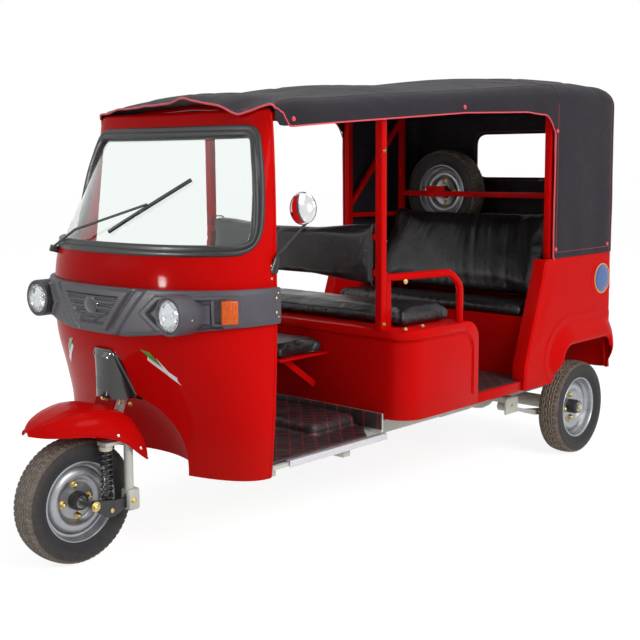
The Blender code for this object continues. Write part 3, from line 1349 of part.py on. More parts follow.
def make_rear_axle():
    hub_face = REAR_WHEEL_X - HUB_WIDTH / 2 - 0.006
    centre = (0.0, REAR_AXLE, TYRE_RADIUS)
    axle = rod((-hub_face, REAR_AXLE, TYRE_RADIUS), (hub_face, REAR_AXLE, TYRE_RADIUS), AXLE_TUBE_RADIUS, 16)
    pieces = [ball(centre, (0.095, 0.085, 0.085), 14, 8)]
    pieces.append(rod((0.0, REAR_AXLE - 0.12, TYRE_RADIUS + 0.012),
                      (0.0, REAR_AXLE - 0.12 - MOTOR_LENGTH, TYRE_RADIUS + 0.012), MOTOR_RADIUS, 16))
    pieces.append(rod((0.0, REAR_AXLE, TYRE_RADIUS + 0.006), (0.0, REAR_AXLE - 0.13, TYRE_RADIUS + 0.012),
                      0.050, 12))
    for side in (1, -1):
        x = side * SPRING_X
        pieces.append(prism(spring_path(SPRING_THICK), on_yz, x - SPRING_WIDTH / 2, x + SPRING_WIDTH / 2,
                            "leaf"))
        for y, z in ((rear(SPRING_FRONT), SPRING_EYE_Z - 0.005), (rear(SPRING_REAR), SPRING_EYE_Z - 0.005)):
            pieces.append(rod((x - SPRING_WIDTH / 2, y, z), (x + SPRING_WIDTH / 2, y, z), 0.0205, 12))
        drum_in = side * (REAR_WHEEL_X - HUB_WIDTH / 2 - 0.006 - DRUM_WIDTH)
        pieces.append(rod((drum_in, REAR_AXLE, TYRE_RADIUS), (side * hub_face, REAR_AXLE, TYRE_RADIUS),
                          DRUM_RADIUS, 16))
        tip = side * (REAR_WHEEL_X + HUB_WIDTH / 2 + 0.010)
        pieces.append(rod((side * (hub_face - 0.02), REAR_AXLE, TYRE_RADIUS), (tip, REAR_AXLE, TYRE_RADIUS),
                          SPINDLE_RADIUS, 16))
    fuse(axle, *pieces)
    finish_part(axle, "rear_axle", BLACK_STEEL)


def tyre_profile():
    """Closed outline of the tyre section, radius against width."""
    r, w = TYRE_RADIUS, TYRE_WIDTH / 2
    bead = RIM_RADIUS + SEAT_GAP
    half = [(bead, RIM_WIDTH / 2 - 0.010), (bead + 0.012, w * 0.86), (r - 0.040, w), (r - 0.012, w * 0.88),
            (r, w * 0.50)]
    return half + [(radius, -x) for radius, x in reversed(half)]


def rim_profile():
    """Closed outline of rim, disc and hub tube, radius against width."""
    r, w, t = RIM_RADIUS, RIM_WIDTH / 2, RIM_SHEET
    bore = SPINDLE_RADIUS + RUN_GAP
    hub = HUB_WIDTH / 2
    return [
        (bore, -hub), (HUB_RADIUS, -hub), (HUB_RADIUS, -t), (r * 0.60, 0.008), (r - 0.020, -0.006),
        (r - 0.014, -w + 0.006), (r, -w), (r, -w + 0.015), (r - 0.012, -w + 0.022),
        (r - 0.012, w - 0.022), (r, w - 0.015), (r, w),
        (r - 0.014, w - 0.006), (r - 0.018, 0.004), (r * 0.60, t + 0.012), (HUB_RADIUS, t), (HUB_RADIUS, hub),
        (bore, hub),
    ]


def make_wheel(tyre_name, rim_name, place, turn, parent):
    tyre = turned(tyre_profile(), "tyre", WHEEL_SEGMENTS)
    rim = turned(rim_profile(), "rim", WHEEL_SEGMENTS)
    for item in (tyre, rim):
        item.data.transform(Matrix.Translation(place) @ turn)
    finish_part(tyre, tyre_name, RUBBER, 50.0, parent)
    finish_part(rim, rim_name, RIM_SILVER, 35.0, parent)


def make_wheels():
    left_turn = Matrix.Rotation(math.pi / 2, 4, "Y")
    right_turn = Matrix.Rotation(-math.pi / 2, 4, "Y")
    rows = (
        ("front_tyre", "front_rim", (0.0, FRONT_AXLE, TYRE_RADIUS), left_turn, "front_wheel_axis"),
        ("rear_tyre_left", "rear_rim_left", (REAR_WHEEL_X, REAR_AXLE, TYRE_RADIUS), left_turn,
         "rear_left_axis"),
        ("rear_tyre_right", "rear_rim_right", (-REAR_WHEEL_X, REAR_AXLE, TYRE_RADIUS), right_turn,
         "rear_right_axis"),
        ("spare_tyre", "spare_rim", (SPARE_X, rear(SPARE_FROM_REAR), SPARE_Z),
         Matrix.Rotation(math.pi / 2, 4, "X"), None),
    )
    for tyre_name, rim_name, place, turn, axis_name in rows:
        parent = joint_frame(axis_name, place) if axis_name else None
        make_wheel(tyre_name, rim_name, place, turn, parent)


def make_fork(parent):
    stem = rod(steer_point(CROWN_Z), steer_point(HANDLEBAR_Z - 0.03), STEERER_RADIUS, 16)
    leg_y = front(LEG_BACK)
    crown_y = steer_point(CROWN_Z).y
    wide = LEG_X + 0.010
    plan = [(-wide, leg_y - 0.022), (wide, leg_y - 0.022), (wide, leg_y + 0.012), (0.040, crown_y + 0.010),
            (-0.040, crown_y + 0.010), (-wide, leg_y + 0.012)]
    crown = prism(plan, on_xy, CROWN_Z - CROWN_THICK, CROWN_Z, "crown")
    pieces = [crown]
    shock_y = front(SHOCK_BACK)
    for side in (1, -1):
        leg = side * LEG_X
        pieces.append(rod((leg, leg_y, PIVOT_Z + 0.02), (leg, leg_y, CROWN_Z - 0.004), LEG_RADIUS, 14))
        low_x, high_x = sorted((side * (SHOCK_X - 0.018), side * (LEG_X + 0.012)))
        pieces.append(box((low_x, shock_y - 0.020, SHOCK_TOP), (high_x, leg_y, SHOCK_TOP + 0.012)))
        pieces.append(box((low_x, leg_y - 0.020, SHOCK_TOP), (high_x, leg_y - 0.008, CROWN_Z - 0.002)))
        cheek_low, cheek_high = leg - 0.025, leg + 0.025
        yoke = box((cheek_low, leg_y - 0.018, PIVOT_Z - 0.034), (cheek_high, leg_y + 0.028, PIVOT_Z + 0.040))
        bevel_edges(yoke, 0.010)
        slot = box((leg - ARM_THICK / 2 - 0.001, leg_y - 0.03, PIVOT_Z - 0.05),
                   (leg + ARM_THICK / 2 + 0.001, leg_y + 0.022, PIVOT_Z + 0.024))
        cut(yoke, slot)
        pieces.append(yoke)
    fuse(stem, *pieces)
    finish_part(stem, "front_fork", FRAME_GREY, 35.0, parent)


def make_swing_arms(parent):
    """Leading arms from the fork's clevises to the front axle, joined by its spindle."""
    spindle = rod((-LEG_X - 0.014, FRONT_AXLE, TYRE_RADIUS), (LEG_X + 0.014, FRONT_AXLE, TYRE_RADIUS),
                  SPINDLE_RADIUS, 16)
    pieces = []
    pivot_y = front(LEG_BACK) + 0.002
    for side in (1, -1):
        x = side * LEG_X
        low_x, high_x = x - ARM_THICK / 2, x + ARM_THICK / 2
        outline = [(pivot_y + 0.012, PIVOT_Z + 0.008), (front(SHOCK_BACK) + 0.01, PIVOT_Z + 0.014),
                   (FRONT_AXLE, TYRE_RADIUS + 0.016),
                   (FRONT_AXLE - 0.016, TYRE_RADIUS), (FRONT_AXLE, TYRE_RADIUS - 0.016),
                   (front(SHOCK_BACK) - 0.012, PIVOT_Z - 0.040),
                   (front(SHOCK_BACK) + 0.012, PIVOT_Z - 0.040), (pivot_y + 0.012, PIVOT_Z - 0.010)]
        pieces.append(prism(outline, on_yz, low_x, high_x, "arm"))
        seat_low, seat_high = sorted((side * (SHOCK_X - 0.014), side * (LEG_X + 0.002)))
        pieces.append(box((seat_low, front(SHOCK_BACK) - 0.017, PIVOT_Z + 0.002),
                          (seat_high, front(SHOCK_BACK) + 0.019, PIVOT_Z + SHOCK_SEAT)))
    fuse(spindle, *pieces)
    finish_part(spindle, "swing_arms", BLACK_STEEL, 35.0, parent)


def make_shocks(parent):
    base = PIVOT_Z + SHOCK_SEAT + SEAT_GAP
    top = SHOCK_TOP - SEAT_GAP
    y = front(SHOCK_BACK)
    for side, word in ((1, "left"), (-1, "right")):
        core = rod((0, 0, base), (0, 0, top), 0.010, 12)
        spring = rod((0, 0, base + 0.014), (0, 0, top - 0.012), SHOCK_RADIUS, 16)
        fuse(core, spring)
        core.data.transform(Matrix.Translation((side * SHOCK_X, y, 0)))
        finish_part(core, "shock_" + word, BLACK_STEEL, 35.0, parent)


def guard_ring(back, half, crown, hem, inset):
    half = max(half - inset, 0.003)
    crown -= inset
    points = []
    low = hem - (0.02 if inset else 0.0)
    for step in range(13):
        angle = math.pi * step / 12
        c, s = math.cos(angle), math.sin(angle)
        points.append((math.copysign(abs(c) ** 0.55, c) * half, front(back), hem + (crown - hem) * s ** 0.75))
    if inset:
        points = [(points[0][0], front(back), low)] + points + [(points[-1][0], front(back), low)]
    return points


def make_guard(parent):
    outer = loft([guard_ring(*row, 0.0) for row in GUARD_SECTIONS], "guard")
    inner_rows = [list(row) for row in GUARD_SECTIONS]
    inner_rows[0][0] += 0.010
    inner_rows[-1][0] += 0.010
    inner = loft([guard_ring(*row, GUARD_SHEET) for row in inner_rows], "guard_inner")
    stem_way = rod(steer_point(0.40), steer_point(0.60), STEERER_RADIUS + 0.002, 16)
    cut(outer, inner, stem_way)
    finish_part(outer, "front_mudguard", RED_PAINT, 35.0, parent)


def make_handlebar(parent):
    centre = steer_point(HANDLEBAR_Z)
    pull = Vector((0, 0.05, 0.01))
    path = [centre + Vector((-HANDLEBAR_HALF, 0, 0.03)) + pull * 1.4,
            centre + Vector((-0.14, 0, 0.03)) + pull * 0.6, centre + Vector((-0.05, 0, 0)),
            centre + Vector((0.05, 0, 0)), centre + Vector((0.14, 0, 0.03)) + pull * 0.6,
            centre + Vector((HANDLEBAR_HALF, 0, 0.03)) + pull * 1.4]
    bar = tube(bent(path, 0.04, 3), HANDLEBAR_RADIUS, "bar")
    grips = []
    for side in (1, -1):
        end = centre + Vector((side * HANDLEBAR_HALF, 0, 0.03)) + pull * 1.4
        inner = centre + Vector((side * 0.14, 0, 0.03)) + pull * 0.6
        grips.append(rod(end, end + (inner - end).normalized() * 0.11, HANDLEBAR_RADIUS + 0.005, 14))
    clamp = rod(steer_point(HANDLEBAR_Z - 0.03) + Vector((0, 0, SEAT_GAP)),
                centre + Vector((0, 0.004, 0.012)), 0.020, 14)
    fuse(bar, clamp, *grips)
    finish_part(bar, "handlebar", BLACK_STEEL, 35.0, parent)


def make_rear_fittings():
    back = rear(BODY_REAR) + SEAT_GAP
    end = rear(REAR_OVERHANG)
    low, high = BUMPER_Z - BUMPER_HEIGHT / 2, BUMPER_Z + BUMPER_HEIGHT / 2
    outline = [(BUMPER_HALF, end - 0.035), (BUMPER_HALF - 0.06, end), (-BUMPER_HALF + 0.06, end),
               (-BUMPER_HALF, end - 0.035),
               (-BUMPER_HALF + 0.05, end - 0.055), (BUMPER_HALF - 0.05, end - 0.055)]
    bumper = prism(outline, on_xy, low, high, "bumper")
    bevel_edges(bumper, 0.008)
    stays = [box((x - 0.03, back, BUMPER_Z - 0.012), (x + 0.03, end - 0.02, BUMPER_Z + 0.012))
             for x in (-0.28, 0.28)]
    fuse(bumper, *stays)
    finish_part(bumper, "rear_bumper", BLACK_GLOSS)
    for side, word in ((1, "left"), (-1, "right")):
        x = side * (TAIL_LAMP_X - BODY_CORNER * 0.35)
        lamp = box((x - TAIL_LAMP_WIDTH / 2, back, TAIL_LAMP_Z - TAIL_LAMP_HEIGHT / 2),
                   (x + TAIL_LAMP_WIDTH / 2, back + TAIL_LAMP_DEPTH, TAIL_LAMP_Z + TAIL_LAMP_HEIGHT / 2))
        finish_part(bevel_edges(lamp, 0.007), "tail_lamp_" + word, RED_LENS)


def make_wiper():
    foot, foot_z = WIPER_FOOT
    low_end, high_end = WIPER_BLADE
    blade_path = []
    for step in range(6):
        share = step / 5
        blade_path.append(cab_point(low_end[0] + (high_end[0] - low_end[0]) * share,
                                    low_end[1] + (high_end[1] - low_end[1]) * share, 0.008 - GLASS_BACK))
    blade = tube(blade_path, 0.007, "blade", 1)
    middle = ((low_end[0] + high_end[0]) / 2, (low_end[1] + high_end[1]) / 2)
    base = rod(cab_point(foot, foot_z, SEAT_GAP), cab_point(foot, foot_z, 0.030), 0.012, 12)
    arm = tube([cab_point(foot, foot_z, 0.024),
                cab_point(foot * 0.6 + middle[0] * 0.4, foot_z * 0.6 + middle[1] * 0.4, 0.026),
                cab_point(*middle, 0.006)], 0.0045, "arm")
    fuse(base, arm, blade)
    finish_part(base, "wiper", BLACK_STEEL)


def build():
    make_cab()
    make_lamp_bar()
    make_signals()
    make_steering_cover()
    make_dash()
    make_mirror()
    make_wiper()
    make_floor()
    make_seat_box()
    make_middle_backrest()
    make_handrails()
    make_roof_frame()
    make_canopy()
    make_rear_body()
    make_rear_floor()
    make_chassis()
    make_rear_axle()
    make_rear_fittings()
    steering = joint_frame("steering_axis", steer_point(STEER_HEAD_Z))
    make_fork(steering)
    make_swing_arms(steering)
    make_shocks(steering)
    make_guard(steering)
    make_handlebar(steering)
    make_wheels()


clear_scene()
PARTS = make_collection("electric_rickshaw")
GUIDES = make_collection("guides")
build()
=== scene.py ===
import bisect
import functools
import json
import math

import bmesh
import bpy
from mathutils import Matrix, Vector, noise

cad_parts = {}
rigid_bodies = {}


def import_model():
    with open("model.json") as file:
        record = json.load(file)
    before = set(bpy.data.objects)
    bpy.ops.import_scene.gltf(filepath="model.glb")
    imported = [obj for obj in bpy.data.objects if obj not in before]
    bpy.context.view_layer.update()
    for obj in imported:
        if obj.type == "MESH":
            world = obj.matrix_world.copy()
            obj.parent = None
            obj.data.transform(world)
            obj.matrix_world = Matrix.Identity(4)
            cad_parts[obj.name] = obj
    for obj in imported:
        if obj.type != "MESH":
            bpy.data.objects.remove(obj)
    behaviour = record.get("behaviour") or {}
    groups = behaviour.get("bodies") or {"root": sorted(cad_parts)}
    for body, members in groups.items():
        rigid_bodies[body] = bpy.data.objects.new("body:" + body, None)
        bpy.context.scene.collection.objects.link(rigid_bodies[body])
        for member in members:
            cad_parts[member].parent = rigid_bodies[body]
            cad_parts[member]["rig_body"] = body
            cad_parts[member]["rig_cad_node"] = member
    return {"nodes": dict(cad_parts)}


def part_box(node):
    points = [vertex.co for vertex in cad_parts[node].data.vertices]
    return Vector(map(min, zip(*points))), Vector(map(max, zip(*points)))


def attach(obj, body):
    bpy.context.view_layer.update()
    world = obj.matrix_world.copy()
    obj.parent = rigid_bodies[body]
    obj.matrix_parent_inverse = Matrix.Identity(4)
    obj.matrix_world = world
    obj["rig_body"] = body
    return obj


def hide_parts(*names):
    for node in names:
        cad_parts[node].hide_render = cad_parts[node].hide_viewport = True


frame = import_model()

bl_info = {
    "name": "Electric passenger rickshaw",
    "version": (1, 0, 0),
    "blender": (4, 5, 0),
    "location": "View3D > Sidebar > Rickshaw",
    "description": "Dresses the rickshaw's solids with paint, canvas, seats, tyres and small parts",
    "category": "Object",
}

NODES = frame["nodes"]
AXLE_Y = sum(corner.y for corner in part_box("front_tyre")) / 2
REAR_Y = sum(corner.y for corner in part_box("rear_tyre_left")) / 2


def front(distance):
    """Place along the vehicle, as a distance behind the front axle."""
    return AXLE_Y + distance


def rear(distance):
    """Place along the vehicle, as a distance behind the rear axle."""
    return REAR_Y + distance


def linear(code):
    """Linear colour of an sRGB hex value."""
    values = [int(code[i:i + 2], 16) / 255 for i in (1, 3, 5)]
    return tuple(v / 12.92 if v <= 0.04045 else ((v + 0.055) / 1.055) ** 2.4 for v in values) + (1.0,)


def per_mm(size):
    """Texture scale, on coordinates in metres, of a detail that many millimetres across."""
    return 1000.0 / size


# ---------------------------------------------------------------- sizes and colours

def colour_property(name, description, code):
    return bpy.props.FloatVectorProperty(name=name, description=description, subtype="COLOR", size=4,
                                         min=0.0, max=1.0, default=linear(code))


class RickshawColours(bpy.types.PropertyGroup):
    paint: colour_property("Paint", "Sprayed enamel of the cab, seat box, body and tubes", "#C60B0A")
    canvas: colour_property("Canvas", "Cloth of the canopy and its curtain", "#252228")
    piping: colour_property("Piping", "Binding sewn along the canopy's edges", "#E5414F")
    leather: colour_property("Seat cover", "Vinyl of the cushions and backrests", "#1A191B")
    stitch: colour_property("Mat stitching", "Thread of the quilted floor mats", "#B03038")
    frame: colour_property("Frame enamel", "Pale enamel of the chassis and fork", "#C9CCC3")


class RickshawSizes(bpy.types.PropertyGroup):
    sag: bpy.props.FloatProperty(name="Canopy sag",
                                 description="How far the roof cloth sinks between its bows",
                                 default=0.009, min=0.0, unit="LENGTH")
    piping: bpy.props.FloatProperty(name="Piping", description="Thickness of the canopy's bound edge",
                                    default=0.0036, min=0.001, unit="LENGTH")
    quilt: bpy.props.FloatProperty(name="Quilt", description="Spacing of the stitched rows on the floor mats",
                                   default=0.046, min=0.01, unit="LENGTH")
    tread: bpy.props.FloatProperty(name="Tread depth", description="Depth of the grooves round the tyres",
                                   default=0.0045, min=0.0, unit="LENGTH")
    swell: bpy.props.FloatProperty(name="Cushion swell",
                                   description="How far a filled cushion may stand proud",
                                   default=0.022, min=0.0, unit="LENGTH")


def colour(name):
    return tuple(getattr(bpy.context.scene.rickshaw_colours, name))


def size(name):
    return getattr(bpy.context.scene.rickshaw_sizes, name)


# ---------------------------------------------------------------- materials

def add_node(material, kind, inputs=None, **settings):
    """Adds a node with its settings; an input takes a value or a link from another node's socket."""
    tree = material.node_tree
    node = tree.nodes.new(kind)
    for key, value in settings.items():
        setattr(node, key, value)
    for key, value in (inputs or {}).items():
        if isinstance(value, bpy.types.NodeSocket):
            tree.links.new(value, node.inputs[key])
        else:
            node.inputs[key].default_value = value
    return node


def surface(name, base, roughness, sockets=None):
    """Starts a material with its constants on the shader's own sockets."""
    material = bpy.data.materials.new(name)
    material.use_nodes = True
    shader = material.node_tree.nodes["Principled BSDF"]
    shader.inputs["Base Color"].default_value = base
    shader.inputs["Roughness"].default_value = roughness
    for key, value in (sockets or {}).items():
        shader.inputs[key].default_value = value
    return material, shader


def link(material, output, socket):
    material.node_tree.links.new(output, socket)


def shade(base, factor):
    return tuple(min(1.0, value * factor) for value in base[:3]) + (1.0,)


def mottle(material, shader, size_mm, low, high, roughness=None):
    """Colour that drifts between two tones, and roughness with it."""
    where = add_node(material, "ShaderNodeTexCoord").outputs["Object"]
    spots = add_node(material, "ShaderNodeTexNoise",
                     {"Vector": where, "Scale": per_mm(size_mm), "Detail": 4.0})
    ramp = add_node(material, "ShaderNodeMix", {0: spots.outputs[0], 6: low, 7: high}, data_type="RGBA")
    link(material, ramp.outputs[2], shader.inputs["Base Color"])
    if roughness:
        wear = add_node(material, "ShaderNodeMapRange",
                        {0: spots.outputs[0], 1: 0.3, 2: 0.7, 3: roughness[0], 4: roughness[1]})
        link(material, wear.outputs[0], shader.inputs["Roughness"])
    return where


def grain(material, shader, where, size_mm, depth_mm, detail=2.0, coat=False):
    """Fine bumps of a surface, as large and deep as given."""
    bumps = add_node(material, "ShaderNodeTexNoise",
                     {"Vector": where, "Scale": per_mm(size_mm), "Detail": detail})
    bump = add_node(material, "ShaderNodeBump",
                    {"Height": bumps.outputs[0], "Distance": depth_mm / 1000.0, "Strength": 1.0})
    link(material, bump.outputs[0], shader.inputs["Normal"])
    if coat:
        link(material, bump.outputs[0], shader.inputs["Coat Normal"])
    return bump


def plain(name, base, roughness, drift, fine=None, sockets=None):
    """A finish whose tone drifts in patches, with fine bumps.

    drift is the patches' size in mm, both tones as hex values or shares of the base, and the roughness range;
    fine is the bumps' size and depth in mm, and their detail."""
    base = linear(base) if isinstance(base, str) else base
    material, shader = surface(name, base, roughness, sockets)
    tones = [linear(tone) if isinstance(tone, str) else shade(base, tone) for tone in drift[1:3]]
    where = mottle(material, shader, drift[0], *tones, *drift[3:])
    if fine:
        grain(material, shader, where, *fine)
    return material


def red_paint():
    # Two-pack enamel sprayed on steel and moulded panels: deep even red under a wet clear gloss,
    # with a trace of orange peel and a little road dust low down.
    base = colour("paint")
    material, shader = surface("sprayed_red_enamel", base, 0.26,
                               {"Coat Weight": 0.09, "Coat Roughness": 0.02, "Coat IOR": 1.30,
                                "Specular IOR Level": 0.02,
                                                               "Specular Tint": (1.0, 0.10, 0.09, 1.0)})
    where = add_node(material, "ShaderNodeTexCoord").outputs["Object"]
    drift = add_node(material, "ShaderNodeTexNoise", {"Vector": where, "Scale": per_mm(300), "Detail": 3.0})
    tone = add_node(material, "ShaderNodeMix",
                    {0: drift.outputs[0], 6: shade(base, 0.93), 7: shade(base, 1.06)}, data_type="RGBA")
    place = add_node(material, "ShaderNodeSeparateXYZ", {0: where})
    low = add_node(material, "ShaderNodeMapRange", {0: place.outputs["Z"], 1: 0.46, 2: 0.27, 3: 0.0, 4: 0.5})
    specks = add_node(material, "ShaderNodeTexNoise", {"Vector": where, "Scale": per_mm(14), "Detail": 6.0})
    dust = add_node(material, "ShaderNodeMath", {0: low.outputs[0], 1: specks.outputs[0]},
                    operation="MULTIPLY")
    dusty = add_node(material, "ShaderNodeMix",
                     {0: dust.outputs[0], 6: tone.outputs[2], 7: linear("#6B2A20")}, data_type="RGBA")
    link(material, dusty.outputs[2], shader.inputs["Base Color"])
    dull = add_node(material, "ShaderNodeMapRange", {0: dust.outputs[0], 1: 0.0, 2: 0.4, 3: 0.24, 4: 0.5})
    link(material, dull.outputs[0], shader.inputs["Roughness"])
    grain(material, shader, where, 6.0, 0.012, 1.0, coat=True)
    return material


def frame_paint():
    # Pale grey-green enamel brushed and sprayed on welded steel: satin, slightly uneven, dust in the corners.
    return plain("pale_frame_enamel", colour("frame"), 0.38, (60, 0.80, 1.04, (0.30, 0.48)), (3.0, 0.05),
                 {"Coat Weight": 0.25, "Coat Roughness": 0.2})


def black_canvas():
    # Coated polyester canvas: charcoal plain weave, matt, paler where folds rub, softly creased.
    base = colour("canvas")
    material, shader = surface("woven_canvas", base, 0.86,
                               {"Sheen Weight": 0.08, "Sheen Roughness": 0.5, "Specular IOR Level": 0.22})
    coordinates = add_node(material, "ShaderNodeTexCoord")
    flat, where = coordinates.outputs["UV"], coordinates.outputs["Object"]
    rubs = add_node(material, "ShaderNodeTexNoise",
                    {"Vector": where, "Scale": per_mm(180), "Detail": 6.0, "Roughness": 0.62})
    tone = add_node(material, "ShaderNodeMix",
                    {0: rubs.outputs[0], 6: shade(base, 0.66), 7: shade(base, 1.34)}, data_type="RGBA")
    link(material, tone.outputs[2], shader.inputs["Base Color"])
    # Threads are 0.8 mm apart on the cloth and are drawn 2.4 mm apart, so that they show.
    period = 0.31416 / 0.0024
    warp = add_node(material, "ShaderNodeTexWave", {"Vector": flat, "Scale": period}, bands_direction="X")
    weft = add_node(material, "ShaderNodeTexWave", {"Vector": flat, "Scale": period}, bands_direction="Y")
    weave = add_node(material, "ShaderNodeMath", {0: warp.outputs["Fac"], 1: weft.outputs["Fac"]},
                     operation="MULTIPLY")
    stretched = add_node(material, "ShaderNodeMapping", {"Vector": where, "Scale": (7.0, 3.0, 9.0)})
    folds = add_node(material, "ShaderNodeTexNoise",
                     {"Vector": stretched.outputs[0], "Scale": 1.6, "Detail": 5.0, "Distortion": 0.6})
    soft = add_node(material, "ShaderNodeBump",
                    {"Height": folds.outputs[0], "Distance": 0.012, "Strength": 0.55})
    bump = add_node(material, "ShaderNodeBump",
                    {"Height": weave.outputs[0], "Distance": 0.0005, "Strength": 0.6,
                     "Normal": soft.outputs[0]})
    link(material, bump.outputs[0], shader.inputs["Normal"])
    return material


def black_leather():
    # Vinyl leathercloth over foam: near black, pebbled, with a soft broad sheen and faint stretch marks.
    base = colour("leather")
    material, shader = surface("vinyl_leathercloth", base, 0.36, {"Specular IOR Level": 0.55})
    where = mottle(material, shader, 90, shade(base, 0.8), shade(base, 1.25), (0.30, 0.44))
    # The pebbles are 1 mm on the cover and are drawn 3 mm across.
    cells = add_node(material, "ShaderNodeTexVoronoi", {"Vector": where, "Scale": per_mm(3.0)}, feature="F1")
    drape = add_node(material, "ShaderNodeTexNoise",
                     {"Vector": where, "Scale": per_mm(55), "Detail": 3.0, "Distortion": 0.8})
    soft = add_node(material, "ShaderNodeBump",
                    {"Height": drape.outputs[0], "Distance": 0.004, "Strength": 0.5})
    bump = add_node(material, "ShaderNodeBump",
                    {"Height": cells.outputs[0], "Distance": 0.0004, "Strength": 0.5,
                     "Normal": soft.outputs[0]})
    link(material, bump.outputs[0], shader.inputs["Normal"])
    return material


def quilted_vinyl():
    # Stitched floor mat: brown-black vinyl, dull and a little dusty where feet rub.
    # Red thread crosses it in rows, stitch by stitch.
    material, shader = surface("quilted_vinyl", linear("#241B1C"), 0.5)
    where = mottle(material, shader, 70, linear("#1B1415"), linear("#35282A"), (0.42, 0.62))
    grain(material, shader, where, 3.0, 0.25)
    tone = shader.inputs["Base Color"].links[0].from_socket
    turned_by = add_node(material, "ShaderNodeMapping",
                         {"Vector": where, "Rotation": (0.0, 0.0, math.radians(45))})
    place = add_node(material, "ShaderNodeSeparateXYZ", {0: turned_by.outputs[0]})
    masks = []
    for across, along in (("X", "Y"), ("Y", "X")):
        row = add_node(material, "ShaderNodeMath", {0: place.outputs[across], 1: size("quilt") / 2},
                       operation="PINGPONG")
        thin = add_node(material, "ShaderNodeMath", {0: row.outputs[0], 1: 0.0008}, operation="LESS_THAN")
        dash = add_node(material, "ShaderNodeMath", {0: place.outputs[along], 1: 0.0040},
                        operation="PINGPONG")
        kept = add_node(material, "ShaderNodeMath", {0: dash.outputs[0], 1: 0.0030}, operation="LESS_THAN")
        masks.append(add_node(material, "ShaderNodeMath", {0: thin.outputs[0], 1: kept.outputs[0]},
                              operation="MULTIPLY").outputs[0])
    thread = add_node(material, "ShaderNodeMath", {0: masks[0], 1: masks[1]}, operation="MAXIMUM")
    sewn = add_node(material, "ShaderNodeMix", {0: thread.outputs[0], 6: tone, 7: colour("stitch")},
                    data_type="RGBA")
    link(material, sewn.outputs[2], shader.inputs["Base Color"])
    return material


def stitch_thread():
    # Bonded polyester thread: dull red, twisted, slightly fuzzy.
    return plain("red_sewing_thread", colour("stitch"), 0.75, (4, 0.7, 1.15), (1.5, 0.3),
                 {"Sheen Weight": 0.3})


def coral_piping():
    # Woven binding folded over a cord: bright coral, matt.
    return plain("woven_coral_binding", colour("piping"), 0.7, (8, 0.82, 1.08), (2.0, 0.3),
                 {"Sheen Weight": 0.3})


def bar_plastic():
    # Injection-moulded ABS with a spark-eroded texture: charcoal, low sheen, scuffed to a lighter grey.
    return plain("textured_moulded_abs", "#413F46", 0.52, (45, "#3B3940", "#4D4A53", (0.46, 0.6)),
                 (1.6, 0.10, 4.0))


def black_plastic():
    # Polished ABS: black with a clear gloss and hairline haze.
    return plain("polished_black_abs", "#0D0D0F", 0.16, (50, "#0A0A0C", "#141417", (0.13, 0.24)), (8.0, 0.03),
                 {"Coat Weight": 0.6, "Coat Roughness": 0.05})


def black_steel():
    # Steel under sprayed black enamel: satin, small runs and chips.
    return plain("black_enamelled_steel", "#151517", 0.4, (22, "#0E0E10", "#232326", (0.3, 0.52)),
                 (2.5, 0.08),
                 {"Coat Weight": 0.3, "Coat Roughness": 0.25})


def chrome_plate():
    # Chromium plate on polished steel: mirror bright with the faintest haze.
    return plain("chromium_plate", "#DCDDE0", 0.07, (30, "#CFD1D5", "#E8E9EA", (0.04, 0.12)), None,
                 {"Metallic": 1.0})


def rim_silver():
    # Aluminium-pigment lacquer on pressed steel: silver grey, semi-gloss, brake dust in the well.
    return plain("silver_wheel_lacquer", "#A2A4A8", 0.34, (35, "#8C8E92", "#B4B6BA", (0.28, 0.42)),
                 (1.4, 0.02),
                 {"Metallic": 0.75, "Coat Weight": 0.4, "Coat Roughness": 0.12})


def zinc_yellow():
    # Zinc plate with a yellow chromate: pale gold with a rainbow drift from green to pink.
    return plain("yellow_chromated_zinc", "#C9AE62", 0.3, (7, "#B79A4C", "#D8C79A", (0.22, 0.4)), (1.0, 0.02),
                 {"Metallic": 1.0})


def bright_steel():
    # Turned or galvanised steel: pale grey metal with fine tool marks.
    return plain("bright_steel", "#B9BABB", 0.3, (12, "#9C9D9E", "#CBCCCD", (0.22, 0.4)), (1.2, 0.03),
                 {"Metallic": 1.0})


def brushed_aluminium():
    # Extruded aluminium sill: long brushed lines, worn pale.
    material, shader = surface("brushed_aluminium", linear("#D2D1D6"), 0.38, {"Metallic": 0.6})
    where = add_node(material, "ShaderNodeTexCoord").outputs["Object"]
    pulled = add_node(material, "ShaderNodeMapping", {"Vector": where, "Scale": (1.0, 0.03, 1.0)})
    lines = add_node(material, "ShaderNodeTexNoise",
                     {"Vector": pulled.outputs[0], "Scale": per_mm(1.5), "Detail": 3.0})
    tone = add_node(material, "ShaderNodeMix",
                    {0: lines.outputs[0], 6: linear("#BDBCC2"), 7: linear("#E4E3E7")}, data_type="RGBA")
    link(material, tone.outputs[2], shader.inputs["Base Color"])
    return material


def screen_glass():
    # Laminated safety glass: clear with a hint of green, perfectly smooth.
    material, shader = surface("laminated_glass", linear("#F2F8F5"), 0.0,
                               {"Transmission Weight": 1.0, "IOR": 1.45})
    where = add_node(material, "ShaderNodeTexCoord").outputs["Object"]
    haze = add_node(material, "ShaderNodeTexNoise", {"Vector": where, "Scale": per_mm(120), "Detail": 4.0})
    film = add_node(material, "ShaderNodeMapRange", {0: haze.outputs[0], 1: 0.45, 2: 0.8, 3: 0.0, 4: 0.03})
    link(material, film.outputs[0], shader.inputs["Roughness"])
    return material


def black_rubber():
    # EPDM weather strip: black, faint grey bloom, soft highlight along its ridges.
    return plain("extruded_rubber", "#151516", 0.42, (25, "#101011", "#222224", (0.34, 0.52)), (2.0, 0.05))


